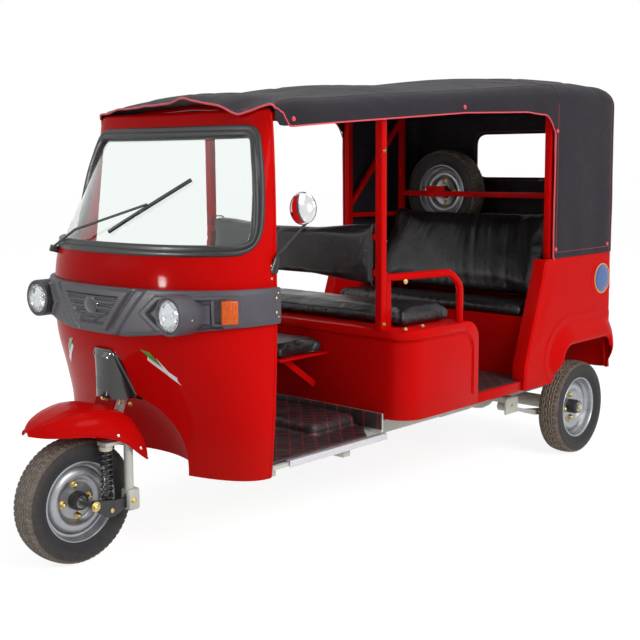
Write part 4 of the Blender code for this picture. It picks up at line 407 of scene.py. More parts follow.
def clear_lens():
    # Clear polycarbonate: glossy, colourless.
    material, shader = surface("clear_polycarbonate", linear("#F6F8F8"), 0.02,
                               {"Transmission Weight": 1.0, "IOR": 1.5})
    where = add_node(material, "ShaderNodeTexCoord").outputs["Object"]
    grain(material, shader, where, 9.0, 0.05)
    return material


def coloured_lens(name, base, deep):
    # Painted glow: the lens gives off a faint light in its own colour, though no lamp is lit behind it.
    material, shader = surface(name, base, 0.15,
                               {"Transmission Weight": 0.08, "IOR": 1.3, "Coat Weight": 0.25,
                                "Coat Roughness": 0.03,
                                                  "Emission Color": base, "Emission Strength": 0.12})
    where = mottle(material, shader, 9, deep, base)
    # Moulded optic cells, 5 mm apart.
    cells = add_node(material, "ShaderNodeTexVoronoi",
                     {"Vector": where, "Scale": per_mm(6.0), "Randomness": 0.25}, feature="F1")
    bump = add_node(material, "ShaderNodeBump",
                    {"Height": cells.outputs[0], "Distance": 0.002, "Strength": 0.8})
    link(material, bump.outputs[0], shader.inputs["Normal"])
    return material


def amber_lens():
    # Amber acrylic over a reflector: orange, darker in the cells, with a painted glow from a faint emission.
    return coloured_lens("amber_acrylic", linear("#EE6602"), linear("#A83A00"))


def red_lens():
    # Red acrylic: deep and glossy, with the same painted glow.
    return coloured_lens("red_acrylic", linear("#B80E10"), linear("#6E0508"))


def battery_case():
    # Polypropylene battery box: dark grey, dull, moulded grain.
    return plain("grey_polypropylene", "#34363A", 0.6, (40, "#2B2D30", "#3E4145", (0.55, 0.7)), (2.0, 0.1))


def tyre_rubber():
    # Carbon-black tyre compound: matt charcoal, mould bloom on the wall, pale brown dust in the tread.
    material, shader = surface("vulcanised_tyre_rubber", linear("#242325"), 0.78)
    where = add_node(material, "ShaderNodeTexCoord").outputs["Object"]
    bloom = add_node(material, "ShaderNodeTexNoise", {"Vector": where, "Scale": per_mm(18), "Detail": 5.0})
    wall = add_node(material, "ShaderNodeMix",
                    {0: bloom.outputs[0], 6: linear("#1B1A1C"), 7: linear("#302F32")}, data_type="RGBA")
    mask = add_node(material, "ShaderNodeAttribute", attribute_name="dust")
    specks = add_node(material, "ShaderNodeMath", {0: mask.outputs["Fac"], 1: bloom.outputs[0]},
                      operation="MULTIPLY")
    dusty = add_node(material, "ShaderNodeMix",
                     {0: specks.outputs[0], 6: wall.outputs[2], 7: linear("#A3917F")}, data_type="RGBA")
    link(material, dusty.outputs[2], shader.inputs["Base Color"])
    grain(material, shader, where, 1.8, 0.12, 3.0)
    return material


def sign_film(name, base):
    # Cut vinyl film: flat even colour with a plastic sheen, edges a little dusty.
    return plain(name, base, 0.25, (20, 0.92, 1.05, (0.2, 0.32)), (5.0, 0.01), {"Coat Weight": 0.4})


def green_film():
    # Green cut film of the plain side flashes.
    return sign_film("green_vinyl_film", linear("#2C9A22"))


def white_film():
    # White cut film of the plain side flashes.
    return sign_film("white_vinyl_film", linear("#E6E4E8"))


def blue_film():
    # Domed blue disc on the rear quarter, left plain.
    return sign_film("blue_domed_film", linear("#1D4F94"))


def gold_film():
    # Orange-gold printed rim of the plain round badge.
    return sign_film("gold_vinyl_film", linear("#DB8A2E"))


def cream_plastic():
    # Moulded nylon spring saucer: warm off-white, waxy.
    return plain("cream_nylon", "#CFC9B4", 0.5, (15, "#B9B29B", "#DAD5C4", (0.4, 0.6)), (2.0, 0.05),
                 {"Subsurface Weight": 0.05})


MAKERS = {
    "red_paint": red_paint, "frame_paint": frame_paint, "black_canvas": black_canvas,
    "black_leather": black_leather,
    "quilted_vinyl": quilted_vinyl, "stitch_thread": stitch_thread, "coral_piping": coral_piping,
    "bar_plastic": bar_plastic, "black_plastic": black_plastic, "black_steel": black_steel,
    "chrome_plate": chrome_plate, "rim_silver": rim_silver, "zinc_yellow": zinc_yellow,
    "bright_steel": bright_steel, "brushed_aluminium": brushed_aluminium, "screen_glass": screen_glass,
    "black_rubber": black_rubber, "clear_lens": clear_lens, "amber_lens": amber_lens, "red_lens": red_lens,
    "battery_case": battery_case, "tyre_rubber": tyre_rubber, "green_film": green_film,
    "white_film": white_film,
    "blue_film": blue_film, "gold_film": gold_film, "cream_plastic": cream_plastic,
}
MADE = {}


def material_of(finish):
    """The material of a finish, made the first time that it is asked for."""
    if finish not in MADE:
        MADE[finish] = MAKERS[finish]()
    return MADE[finish]


# ---------------------------------------------------------------- modelling helpers

def only(item):
    """Leaves one object selected and active, in object mode."""
    if bpy.context.object and bpy.context.object.mode != "OBJECT":
        bpy.ops.object.mode_set(mode="OBJECT")
    bpy.ops.object.select_all(action="DESELECT")
    if item:
        item.select_set(True)
        bpy.context.view_layer.objects.active = item


def start(name, adder, **settings):
    """Adds a primitive at its size and place, and names it."""
    only(None)
    adder(**settings)
    item = bpy.context.object
    item.name = item.data.name = name
    return item


def pick(item, test, kind="FACE"):
    """Opens a piece in edit mode with the faces, edges or points that pass a test selected."""
    only(item)
    bpy.ops.object.mode_set(mode="EDIT")
    bpy.ops.mesh.select_mode(type=kind)
    bpy.ops.mesh.select_all(action="DESELECT")
    net = bmesh.from_edit_mesh(item.data)
    parts = {"FACE": net.faces, "EDGE": net.edges, "VERT": net.verts}[kind]
    for part in parts:
        if test(part):
            part.select_set(True)
    bmesh.update_edit_mesh(item.data)


def done(item):
    if item.mode != "OBJECT":
        bpy.ops.object.mode_set(mode="OBJECT")
    return item


def modify(item, kind, **settings):
    """Adds a modifier and applies it."""
    only(item)
    modifier = item.modifiers.new(kind.lower(), kind)
    for key, value in settings.items():
        setattr(modifier, key, value)
    bpy.ops.object.modifier_apply(modifier=modifier.name)
    return item


def outward(item, merge=0.0):
    """Merges doubles if asked and turns all faces outwards."""
    only(item)
    bpy.ops.object.mode_set(mode="EDIT")
    bpy.ops.mesh.select_all(action="SELECT")
    if merge:
        bpy.ops.mesh.remove_doubles(threshold=merge)
    bpy.ops.mesh.normals_make_consistent(inside=False)
    bpy.ops.object.mode_set(mode="OBJECT")
    return item


def smooth(item, angle=35.0):
    only(item)
    bpy.ops.object.shade_smooth_by_angle(angle=math.radians(angle))
    return item


def net(name, across, along, place, close_across=False, close_along=False):
    """A grid pulled to a form: place(i, j) gives each point, and a closed way ends where it began."""
    item = start(name, bpy.ops.mesh.primitive_grid_add, x_subdivisions=across, y_subdivisions=along, size=1.0)
    mesh = item.data
    spots = []
    for vertex in mesh.vertices:
        i = round((vertex.co.x + 0.5) * across)
        j = round((vertex.co.y + 0.5) * along)
        spots.extend(place(i % across if close_across else i, j % along if close_along else j))
    mesh.vertices.foreach_set("co", spots)
    mesh.update()
    if close_across or close_along:
        outward(item, 0.00002)
    return item


def wire(name, points, radius, resolution=3, closed=False, smooth_path=True):
    """A rod, wire or bead along a line of points, as a curve made a mesh."""
    only(None)
    data = bpy.data.curves.new(name, "CURVE")
    data.dimensions = "3D"
    data.bevel_depth = radius
    data.bevel_resolution = resolution
    data.use_fill_caps = not closed
    spline = data.splines.new("BEZIER" if smooth_path else "POLY")
    if smooth_path:
        data.resolution_u = 4
        spline.bezier_points.add(len(points) - 1)
        for handle, spot in zip(spline.bezier_points, points):
            handle.co = spot
            handle.handle_left_type = handle.handle_right_type = "AUTO"
    else:
        spline.points.add(len(points) - 1)
        for handle, spot in zip(spline.points, points):
            handle.co = (*spot, 1.0)
    spline.use_cyclic_u = closed
    item = bpy.data.objects.new(name, data)
    bpy.context.scene.collection.objects.link(item)
    only(item)
    bpy.ops.object.convert(target="MESH")
    return smooth(bpy.context.object, 50)


def turned(name, profile, steps=24, close=True):
    """A lathe form about Z: rings of (radius, height) drawn out one from the next and capped."""
    radius, height = profile[0]
    item = start(name, bpy.ops.mesh.primitive_circle_add, vertices=steps, radius=radius,
                 location=(0, 0, height),
                 fill_type="NGON" if close else "NOTHING")
    bpy.ops.object.transform_apply(location=True)
    bpy.ops.object.mode_set(mode="EDIT")
    bpy.ops.mesh.select_mode(type="VERT")
    bpy.ops.mesh.select_all(action="SELECT")
    for (before, low), (after, high) in zip(profile, profile[1:]):
        bpy.ops.mesh.extrude_region_move(TRANSFORM_OT_translate={"value": (0, 0, high - low)})
        share = after / before
        bpy.ops.transform.resize(value=(share, share, 1.0), center_override=(0, 0, high))
    bpy.ops.object.mode_set(mode="OBJECT")
    return outward(item, 0.000001)


def turn_to(direction, spot):
    """Matrix that stands a Z form on a spot, facing a direction."""
    return Matrix.Translation(spot) @ Vector(direction).to_track_quat("Z", "Y").to_matrix().to_4x4()


def copy_at(item, matrix, name):
    """A copy with its own mesh, moved there."""
    twin = item.copy()
    twin.data = item.data.copy()
    twin.data.transform(matrix)
    twin.name = twin.data.name = name
    bpy.context.scene.collection.objects.link(twin)
    return twin


def joined(name, items):
    """One piece of several like ones."""
    only(None)
    for item in items:
        item.select_set(True)
    bpy.context.view_layer.objects.active = items[0]
    if len(items) > 1:
        bpy.ops.object.join()
    item = bpy.context.object
    item.name = item.data.name = name
    return item


def drop(item):
    bpy.data.objects.remove(item)


def settle(item, finish, body, stands_for=()):
    """Fixes a piece's place in its mesh, gives it its finish and the body that it rides on."""
    only(item)
    bpy.ops.object.transform_apply(location=True, rotation=True, scale=True)
    item.data.materials.clear()
    item.data.materials.append(material_of(finish))
    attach(item, body)
    if stands_for:
        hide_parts(*stands_for)
    return item


def merged_copy(node, name):
    """A copy of a solid with its loose triangles joined up."""
    only(None)
    twin = NODES[node].copy()
    twin.data = NODES[node].data.copy()
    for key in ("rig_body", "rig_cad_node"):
        if key in twin:
            del twin[key]
    twin.parent = None
    twin.name = twin.data.name = name
    bpy.context.scene.collection.objects.link(twin)
    only(twin)
    if twin.data.has_custom_normals:
        bpy.ops.mesh.customdata_custom_splitnormals_clear()
    bpy.ops.object.mode_set(mode="EDIT")
    bpy.ops.mesh.select_all(action="SELECT")
    bpy.ops.mesh.remove_doubles(threshold=0.00001)
    bpy.ops.object.mode_set(mode="OBJECT")
    return twin


# ---------------------------------------------------------------- stage

class RICKSHAW_OT_stage(bpy.types.Operator):
    """Lays the pale floor, hangs the soft lights and sets the camera at the photograph's angle"""
    bl_idname = "rickshaw.stage"
    bl_label = "Stage"

    def execute(self, context):
        scene = context.scene
        scene.view_settings.view_transform = "Standard"
        floor = start("floor", bpy.ops.mesh.primitive_plane_add, size=60.0)
        paper = bpy.data.materials.new("pale_paper_floor")
        paper.use_nodes = True
        paper.node_tree.nodes.clear()
        matt = add_node(paper, "ShaderNodeBsdfDiffuse", {"Color": linear("#F4F4F4")})
        plain = add_node(paper, "ShaderNodeEmission", {"Color": (1.0, 1.0, 1.0, 1.0), "Strength": 1.38})
        seen = self.direct_rays(paper)
        share = add_node(paper, "ShaderNodeMath", {0: seen, 1: 0.62}, operation="MULTIPLY")
        both = add_node(paper, "ShaderNodeMixShader",
                        {0: share.outputs[0], 1: matt.outputs[0], 2: plain.outputs[0]})
        add_node(paper, "ShaderNodeOutputMaterial", {"Surface": both.outputs[0]})
        floor.data.materials.append(paper)

        world = bpy.data.worlds.new("studio")
        world.use_nodes = True
        world.node_tree.nodes.clear()
        scene.world = world
        soft = add_node(world, "ShaderNodeBackground", {"Color": (1.0, 1.0, 1.0, 1.0), "Strength": 0.40})
        white = add_node(world, "ShaderNodeBackground", {"Color": (1.0, 1.0, 1.0, 1.0), "Strength": 1.0})
        seen = self.direct_rays(world)
        both = add_node(world, "ShaderNodeMixShader", {0: seen, 1: soft.outputs[0], 2: white.outputs[0]})
        add_node(world, "ShaderNodeOutputWorld", {"Surface": both.outputs[0]})

        for name, spot, power, width in (("side_lamp", (4.4, -0.6, 3.0), 130.0, 2.2),
                                         ("window_lamp", (-0.16, -4.47, 1.15), 150.0, 0.42),
                                         ("front_lamp", (-2.6, -4.2, 2.6), 14.0, 2.0),
                                         ("top_lamp", (0.4, 0.6, 4.6), 70.0, 3.0)):
            lamp = bpy.data.lights.new(name, "AREA")
            lamp.energy = power
            lamp.size = width
            item = bpy.data.objects.new(name, lamp)
            item.location = spot
            item.rotation_euler = (Vector((0, 0, 0.7)) - Vector(spot)).to_track_quat("-Z", "Y").to_euler()
            item.visible_diffuse = name != "window_lamp"
            scene.collection.objects.link(item)

        view = bpy.data.cameras.new("camera")
        view.lens = 61.907
        view.sensor_width = 36.0
        view.shift_x = 0.00298
        view.shift_y = -0.0524
        item = bpy.data.objects.new("camera", view)
        item.location = (2.941, -3.2065, 1.293)
        aim = Vector((0.0, -0.0175, 0.800)) - item.location
        level = aim.to_track_quat("-Z", "Y").to_matrix().to_4x4()
        tilt = Matrix.Rotation(math.radians(-0.24), 4, "Z")
        item.matrix_world = Matrix.Translation(item.location) @ level @ tilt
        scene.collection.objects.link(item)
        scene.camera = item
        return {"FINISHED"}

    def direct_rays(self, material):
        """1 for rays from the camera, and for those that gloss or glass sends on."""
        path = add_node(material, "ShaderNodeLightPath")
        first = add_node(material, "ShaderNodeMath",
                         {0: path.outputs["Is Camera Ray"], 1: path.outputs["Is Glossy Ray"]},
                         operation="MAXIMUM")
        second = add_node(material, "ShaderNodeMath",
                          {0: first.outputs[0], 1: path.outputs["Is Transmission Ray"]}, operation="MAXIMUM")
        return second.outputs[0]


# ---------------------------------------------------------------- forms shared by several pieces

# Form of the cab: height, half width, rear edge and nose as distances behind the front axle.
CAB_FORM = (
    (0.285, 0.500, 0.405, 0.225), (0.420, 0.503, 0.415, 0.235), (0.560, 0.503, 0.425, 0.185),
    (0.690, 0.500, 0.433, 0.130), (0.800, 0.496, 0.440, 0.112), (0.910, 0.490, 0.446, 0.110),
    (0.990, 0.484, 0.451, 0.124), (1.060, 0.479, 0.456, 0.162), (1.170, 0.470, 0.464, 0.248),
    (1.290, 0.459, 0.472, 0.340), (1.400, 0.447, 0.479, 0.422), (1.462, 0.438, 0.482, 0.446),
)
CAB_POWER = 2 / 2.3
CAB_WALL = 0.018
STEER_TILT = math.radians(22)
LAMP_X, LAMP_Z, LAMP_FACE = 0.354, 0.825, 0.112


def between(rows, at):
    """The other columns of a table at a place, on a smooth line through its rows."""
    at = min(max(at, rows[0][0]), rows[-1][0])
    index = max(0, min(len(rows) - 2, bisect.bisect_right([row[0] for row in rows], at) - 1))
    low, high = rows[index], rows[index + 1]
    span = high[0] - low[0]
    t = (at - low[0]) / span
    values = []
    for column in range(1, len(low)):
        slopes = []
        for i in (index, index + 1):
            before, after = rows[max(i - 1, 0)], rows[min(i + 1, len(rows) - 1)]
            slopes.append((after[column] - before[column]) / (after[0] - before[0]))
        values.append((2 * t ** 3 - 3 * t ** 2 + 1) * low[column] + (t ** 3 - 2 * t ** 2 + t) * span
                      * slopes[0]
                      + (3 * t ** 2 - 2 * t ** 3) * high[column] + (t ** 3 - t ** 2) * span * slopes[1])
    return values


def step_up(value, low, high):
    """0 below low, 1 above high, smooth between."""
    t = min(1.0, max(0.0, (value - low) / (high - low)))
    return t * t * (3 - 2 * t)


def hump(value, centre, half):
    """1 at the centre, 0 beyond the half width, smooth between."""
    return max(0.0, 1 - ((value - centre) / half) ** 2) ** 2


@functools.lru_cache(maxsize=None)
def cab_plan(height):
    """Plan curve of the cab at a height, right to left, with distances from its middle."""
    half, edge, nose = between(CAB_FORM, height)
    points = []
    for step in range(121):
        angle = math.pi * step / 120
        c, s = -math.cos(angle), math.sin(angle)
        points.append(Vector((math.copysign(abs(c) ** CAB_POWER, c) * half,
                              front(edge - (edge - nose) * abs(s) ** CAB_POWER), height)))
    runs = [0.0]
    for a, b in zip(points, points[1:]):
        runs.append(runs[-1] + (b - a).length)
    return points, [run - runs[-1] / 2 for run in runs]


def cab_spot(distance, height):
    points, runs = cab_plan(round(height, 4))
    index = max(0, min(len(runs) - 2, bisect.bisect_right(runs, distance) - 1))
    t = (distance - runs[index]) / (runs[index + 1] - runs[index])
    spot = points[index].lerp(points[index + 1], min(1.0, max(0.0, t)))
    spot.z = height
    return spot


def on_cab(distance, height, out=0.0):
    """Point on the cab's skin, by distance round from the middle (left is positive) and by height."""
    gap = 0.004
    sideways = cab_spot(distance + gap, height) - cab_spot(distance - gap, height)
    upward = cab_spot(distance, height + gap) - cab_spot(distance, height - gap)
    return cab_spot(distance, height) + sideways.cross(upward).normalized() * out


def steer_axis(height):
    """Point of the steering axis at a height."""
    return Vector((0.0, front(0.20) + (height - 0.50) * math.tan(STEER_TILT), height))


def cab_block(name, low, high, inset, behind, round_top=0.0, across=104, along=64):
    """Closed block of the cab's form between two heights."""
    def place(i, j):
        rows = along - 5 if round_top else along
        shrink = 0.0
        if j > rows:
            turn = math.pi / 2 * (j - rows) / 5
            z = high - round_top * (1 - math.sin(turn))
            shrink = round_top * (1 - math.cos(turn))
        else:
            z = low + (high - round_top - low) * j / rows
        half, edge, nose = between(CAB_FORM, z)
        half, depth = half - inset - shrink, edge - nose - inset - shrink
        if i in (0, across - 1):
            return (half if i else -half, front(edge + behind), z)
        angle = math.pi * (i - 1) / (across - 3)
        c, s = -math.cos(angle), math.sin(angle)
        return (math.copysign(abs(c) ** CAB_POWER, c) * half, front(edge - depth * abs(s) ** CAB_POWER), z)
    return capped(net(name, across, along, place, close_across=True))


def capped(item):
    """Fills the open ends of a piece and turns its faces outwards."""
    only(item)
    bpy.ops.object.mode_set(mode="EDIT")
    bpy.ops.mesh.select_all(action="SELECT")
    bpy.ops.mesh.fill_holes(sides=0)
    bpy.ops.object.mode_set(mode="OBJECT")
    return outward(item)


def carve(item, operation, *others):
    """Cuts, joins or trims a piece with others, which are then dropped."""
    for other in others:
        modify(item, "BOOLEAN", operation=operation, object=other, solver="EXACT")
        drop(other)
    return item


def prism(name, outline, low, high, along="x"):
    """Block with a flat outline, (y, z) drawn along x or (x, z) drawn along y."""
    def place(i, j):
        u, v = outline[i]
        depth = high if j else low
        return (depth, u, v) if along == "x" else (u, depth, v)
    return capped(net(name, len(outline), 1, place, close_across=True))


def rounded(corners, radius, steps=8):
    """Outline with its corners rounded; radius is one number or one for each corner."""
    points = []
    for index, corner in enumerate(corners):
        here = Vector(corner)
        reach = radius[index] if isinstance(radius, (list, tuple)) else radius
        before = (Vector(corners[index - 1]) - here).normalized()
        after = (Vector(corners[(index + 1) % len(corners)]) - here).normalized()
        cut = reach / math.tan(before.angle(after) / 2)
        for step in range(steps + 1):
            t = step / steps
            spot = ((here + before * cut) * (1 - t) ** 2 + here * 2 * t * (1 - t)
                    + (here + after * cut) * t ** 2)
            points.append(tuple(spot))
    return points


def evenly(points, count, closed=True):
    """The same line with its points the same distance apart."""
    ring = [Vector(p) for p in points] + ([Vector(points[0])] if closed else [])
    runs = [0.0]
    for a, b in zip(ring, ring[1:]):
        runs.append(runs[-1] + (b - a).length)
    result = []
    for step in range(count):
        at = runs[-1] * step / (count if closed else count - 1)
        index = max(0, min(len(runs) - 2, bisect.bisect_right(runs, at) - 1))
        t = (at - runs[index]) / max(1e-9, runs[index + 1] - runs[index])
        result.append(ring[index].lerp(ring[index + 1], t))
    return result


def sweep(name, line, profile, place):
    """Closed profile drawn along a closed line: place(point, inward, depth) gives the point in space."""
    count = len(line)
    inward = []
    for k in range(count):
        along = (line[(k + 1) % count] - line[k - 1]).normalized()
        inward.append(Vector((-along.y, along.x)))

    def spot(i, j):
        margin, depth = profile[i]
        return place(line[j] + inward[j] * margin, depth)
    return net(name, len(profile), count, spot, close_across=True, close_along=True)


def dome(name, radius, height, steps=20):
    """Small domed head standing on its spot, facing up."""
    profile = [(radius, 0.0)] + [(radius * math.cos(t), height * math.sin(t)) for t in (0.3, 0.7, 1.1, 1.4)]
    return smooth(turned(name, profile, steps), 60)


def hex_bolt(name, radius, height):
    """Hexagon head with a washer and the rounded end of its screw."""
    washer = smooth(turned("washer", [(radius * 1.5, 0.0), (radius * 1.5, height * 0.2),
                                      (radius, height * 0.2)], 20), 40)
    head = turned("head", [(radius * 1.15, height * 0.2), (radius * 1.15, height * 0.85),
                           (radius * 0.95, height)], 6)
    end = dome("end", radius * 0.55, height * 0.35, 12)
    end.data.transform(Matrix.Translation((0, 0, height)))
    return joined(name, [washer, head, end])


def spread(item, places, name):
    """Copies of a small piece at each (spot, direction), as one piece; the pattern piece is dropped."""
    twins = [copy_at(item, turn_to(direction, spot), name) for spot, direction in places]
    drop(item)
    return joined(name, twins)


def refined(node, name, finish, body, bevel=0.0025, segments=2, angle=40.0, limit=50.0):
    """A solid's own form with its edges softened."""
    item = merged_copy(node, name)
    modify(item, "BEVEL", width=bevel, segments=segments, limit_method="ANGLE",
           angle_limit=math.radians(limit), harden_normals=False)
    smooth(item, angle)
    return settle(item, finish, body, [node])


def block(name, middle, sides, bevel, segments=2):
    """A bar or plate with its edges rounded."""
    item = start(name, bpy.ops.mesh.primitive_cube_add, size=1.0, location=middle, scale=sides)
    bpy.ops.object.transform_apply(location=True, scale=True)
    return modify(item, "BEVEL", width=bevel, segments=segments)


# ---------------------------------------------------------------- cab

def screen_line(count=176):
    """Rounded outline of the windscreen's rubber, in distance round the cab and height."""
    low, high, pillar, corner = 1.004, 1.408, 0.050, 0.075
    wide, narrow = cab_plan(low)[1][-1] - pillar, cab_plan(high)[1][-1] - pillar
    return evenly(rounded([(-wide, low), (wide, low), (narrow, high), (-narrow, high)], corner, 10), count)


def pane(name, margin, outer, inner, rings=9):
    """Curved slab inside the windscreen outline, between two depths."""
    line = screen_line()
    middle = Vector((0.0, 1.206))
    count = len(line)
    shares = [0.02 + 0.98 * k / rings for k in range(rings + 1)]
    rows = [(share, outer) for share in shares] + [(share, inner) for share in reversed(shares)]

    def place(i, j):
        share, depth = rows[j]
        along = (line[(i + 1) % count] - line[i - 1]).normalized()
        edge = line[i] + Vector((-along.y, along.x)) * margin
        spot = middle + (edge - middle) * share
        return on_cab(spot.x, spot.y, depth)
    return capped(net(name, count, len(rows) - 1, place, close_across=True))


class RICKSHAW_OT_cab(bpy.types.Operator):
    """Builds the smooth cab skin with its wheel recess, windscreen, rubber and door beads"""
    bl_idname = "rickshaw.cab"
    bl_label = "Cab"

    def recess(self, extra):
        ball = start("recess", bpy.ops.mesh.primitive_uv_sphere_add, segments=96, ring_count=48, radius=1.0)
        ball.data.transform(Matrix.Translation((0, front(0.200), 0.285))
                            @ Matrix.Diagonal((0.290 + extra, 0.190 + extra, 0.255 + extra, 1.0)))
        return ball

    def execute(self, context):
        low, high = CAB_FORM[0][0], CAB_FORM[-1][0]
        skin = cab_block("cab_skin", low, high, 0.0, 0.0, round_top=0.014)
        inner = cab_block("inner", low - 0.05, high - CAB_WALL, CAB_WALL, 0.10)
        carve(inner, "DIFFERENCE", self.recess(CAB_WALL))
        neck = start("neck", bpy.ops.mesh.primitive_cylinder_add, vertices=32, radius=0.032, depth=0.26)
        neck.data.transform(turn_to((0, math.sin(STEER_TILT), math.cos(STEER_TILT)), steer_axis(0.48)))
        carve(skin, "DIFFERENCE", inner, self.recess(0.0), pane("hole", 0.006, 0.06, -0.09), neck)
        settle(smooth(skin, 32), "red_paint", "vehicle", ["cab_shell"])

        beads = []
        for side in (1, -1):
            line = []
            for step in range(40):
                z = low + 0.004 + (high - low - 0.02) * step / 39
                half, edge, _ = between(CAB_FORM, z)
                line.append((side * (half - 0.004), front(edge) - 0.003, z))
            beads.append(wire("bead", line, 0.0075, 3))
        settle(joined("door_beads", beads), "red_paint", "vehicle")

        profile = [(-0.004, 0.0005), (-0.002, 0.0045), (0.002, 0.0075), (0.007, 0.0085), (0.012, 0.0060),
                   (0.0145, 0.0040),
                   (0.017, 0.0055), (0.021, 0.0085), (0.026, 0.0080), (0.0305, 0.0050), (0.033, -0.002),
                   (0.0335, -0.010),
                   (0.032, -0.021), (0.010, -0.023), (0.004, -0.012), (0.002, -0.001)]
        rubber = sweep("screen_rubber", screen_line(), profile, lambda spot,
                       depth: on_cab(spot.x, spot.y, depth))
        settle(smooth(rubber, 50), "black_rubber", "vehicle", ["windscreen_rubber"])
        glass = pane("screen_pane", 0.030, -0.010, -0.0145)
        settle(smooth(glass, 35), "screen_glass", "vehicle", ["windscreen_glass"])

        rivet = dome("rivet", 0.0050, 0.0030, 14)
        places = []
        for side in (1, -1):
            for z in (0.965, 0.925, 0.865, 0.820):
                half, edge, _ = between(CAB_FORM, z)
                places.append((Vector((side * (half - 0.012), front(edge) + 0.0008, z)), (0.25 * side, 1, 0)))
                places.append((on_cab(side * (cab_plan(z)[1][-1] - 0.020), z, 0.0002 if z > 0.9 else 0.0215),
                               (side, 0.15, 0)))
        settle(spread(rivet, places, "pillar_rivets"), "zinc_yellow", "vehicle")

        self.flashes()
        return {"FINISHED"}

    def flashes(self):
        """Plain cut shapes on each side of the nose, without any writing."""
        shapes = {
            "green_film": (((0.183, 0.701), (0.2190, 0.6945), (0.2530, 0.6480), (0.2290, 0.6640)),),
            "white_film": (((0.2010, 0.6680), (0.2055, 0.6790), (0.2955, 0.6150), (0.2930, 0.6000)),
                           ((0.2620, 0.6220), (0.2935, 0.6040), (0.3020, 0.5900), (0.2660, 0.6180)),
                           ((0.2385, 0.6760), (0.2415, 0.6740), (0.2740, 0.6290), (0.2590, 0.6370))),
        }
        for finish, quads in shapes.items():
            items = []
            for side in (1, -1):
                for a, b, c, d in quads:
                    def place(i, j, corners=(a, b, c, d), side=side):
                        u, v = i / 8, j / 8
                        spots = [Vector(p) for p in corners]
                        spot = ((spots[0] * (1 - u) + spots[1] * u) * (1 - v)
                                + (spots[3] * (1 - u) + spots[2] * u) * v)
                        return on_cab(side * spot.x, spot.y, 0.0010)
                    items.append(modify(net("film", 8, 8, place), "SOLIDIFY", thickness=0.0006, offset=0.0))
            settle(joined(finish + "_flashes", [outward(item) for item in items]), finish, "vehicle")


# ---------------------------------------------------------------- lamp bar and nose

def bar_foot(x):
    share = min(1.0, max(0.0, (abs(x) - 0.14) / 0.35))
    share = share * share * (3 - 2 * share) * 0.35 + share * 0.65
    return 0.744 + 0.038 * share


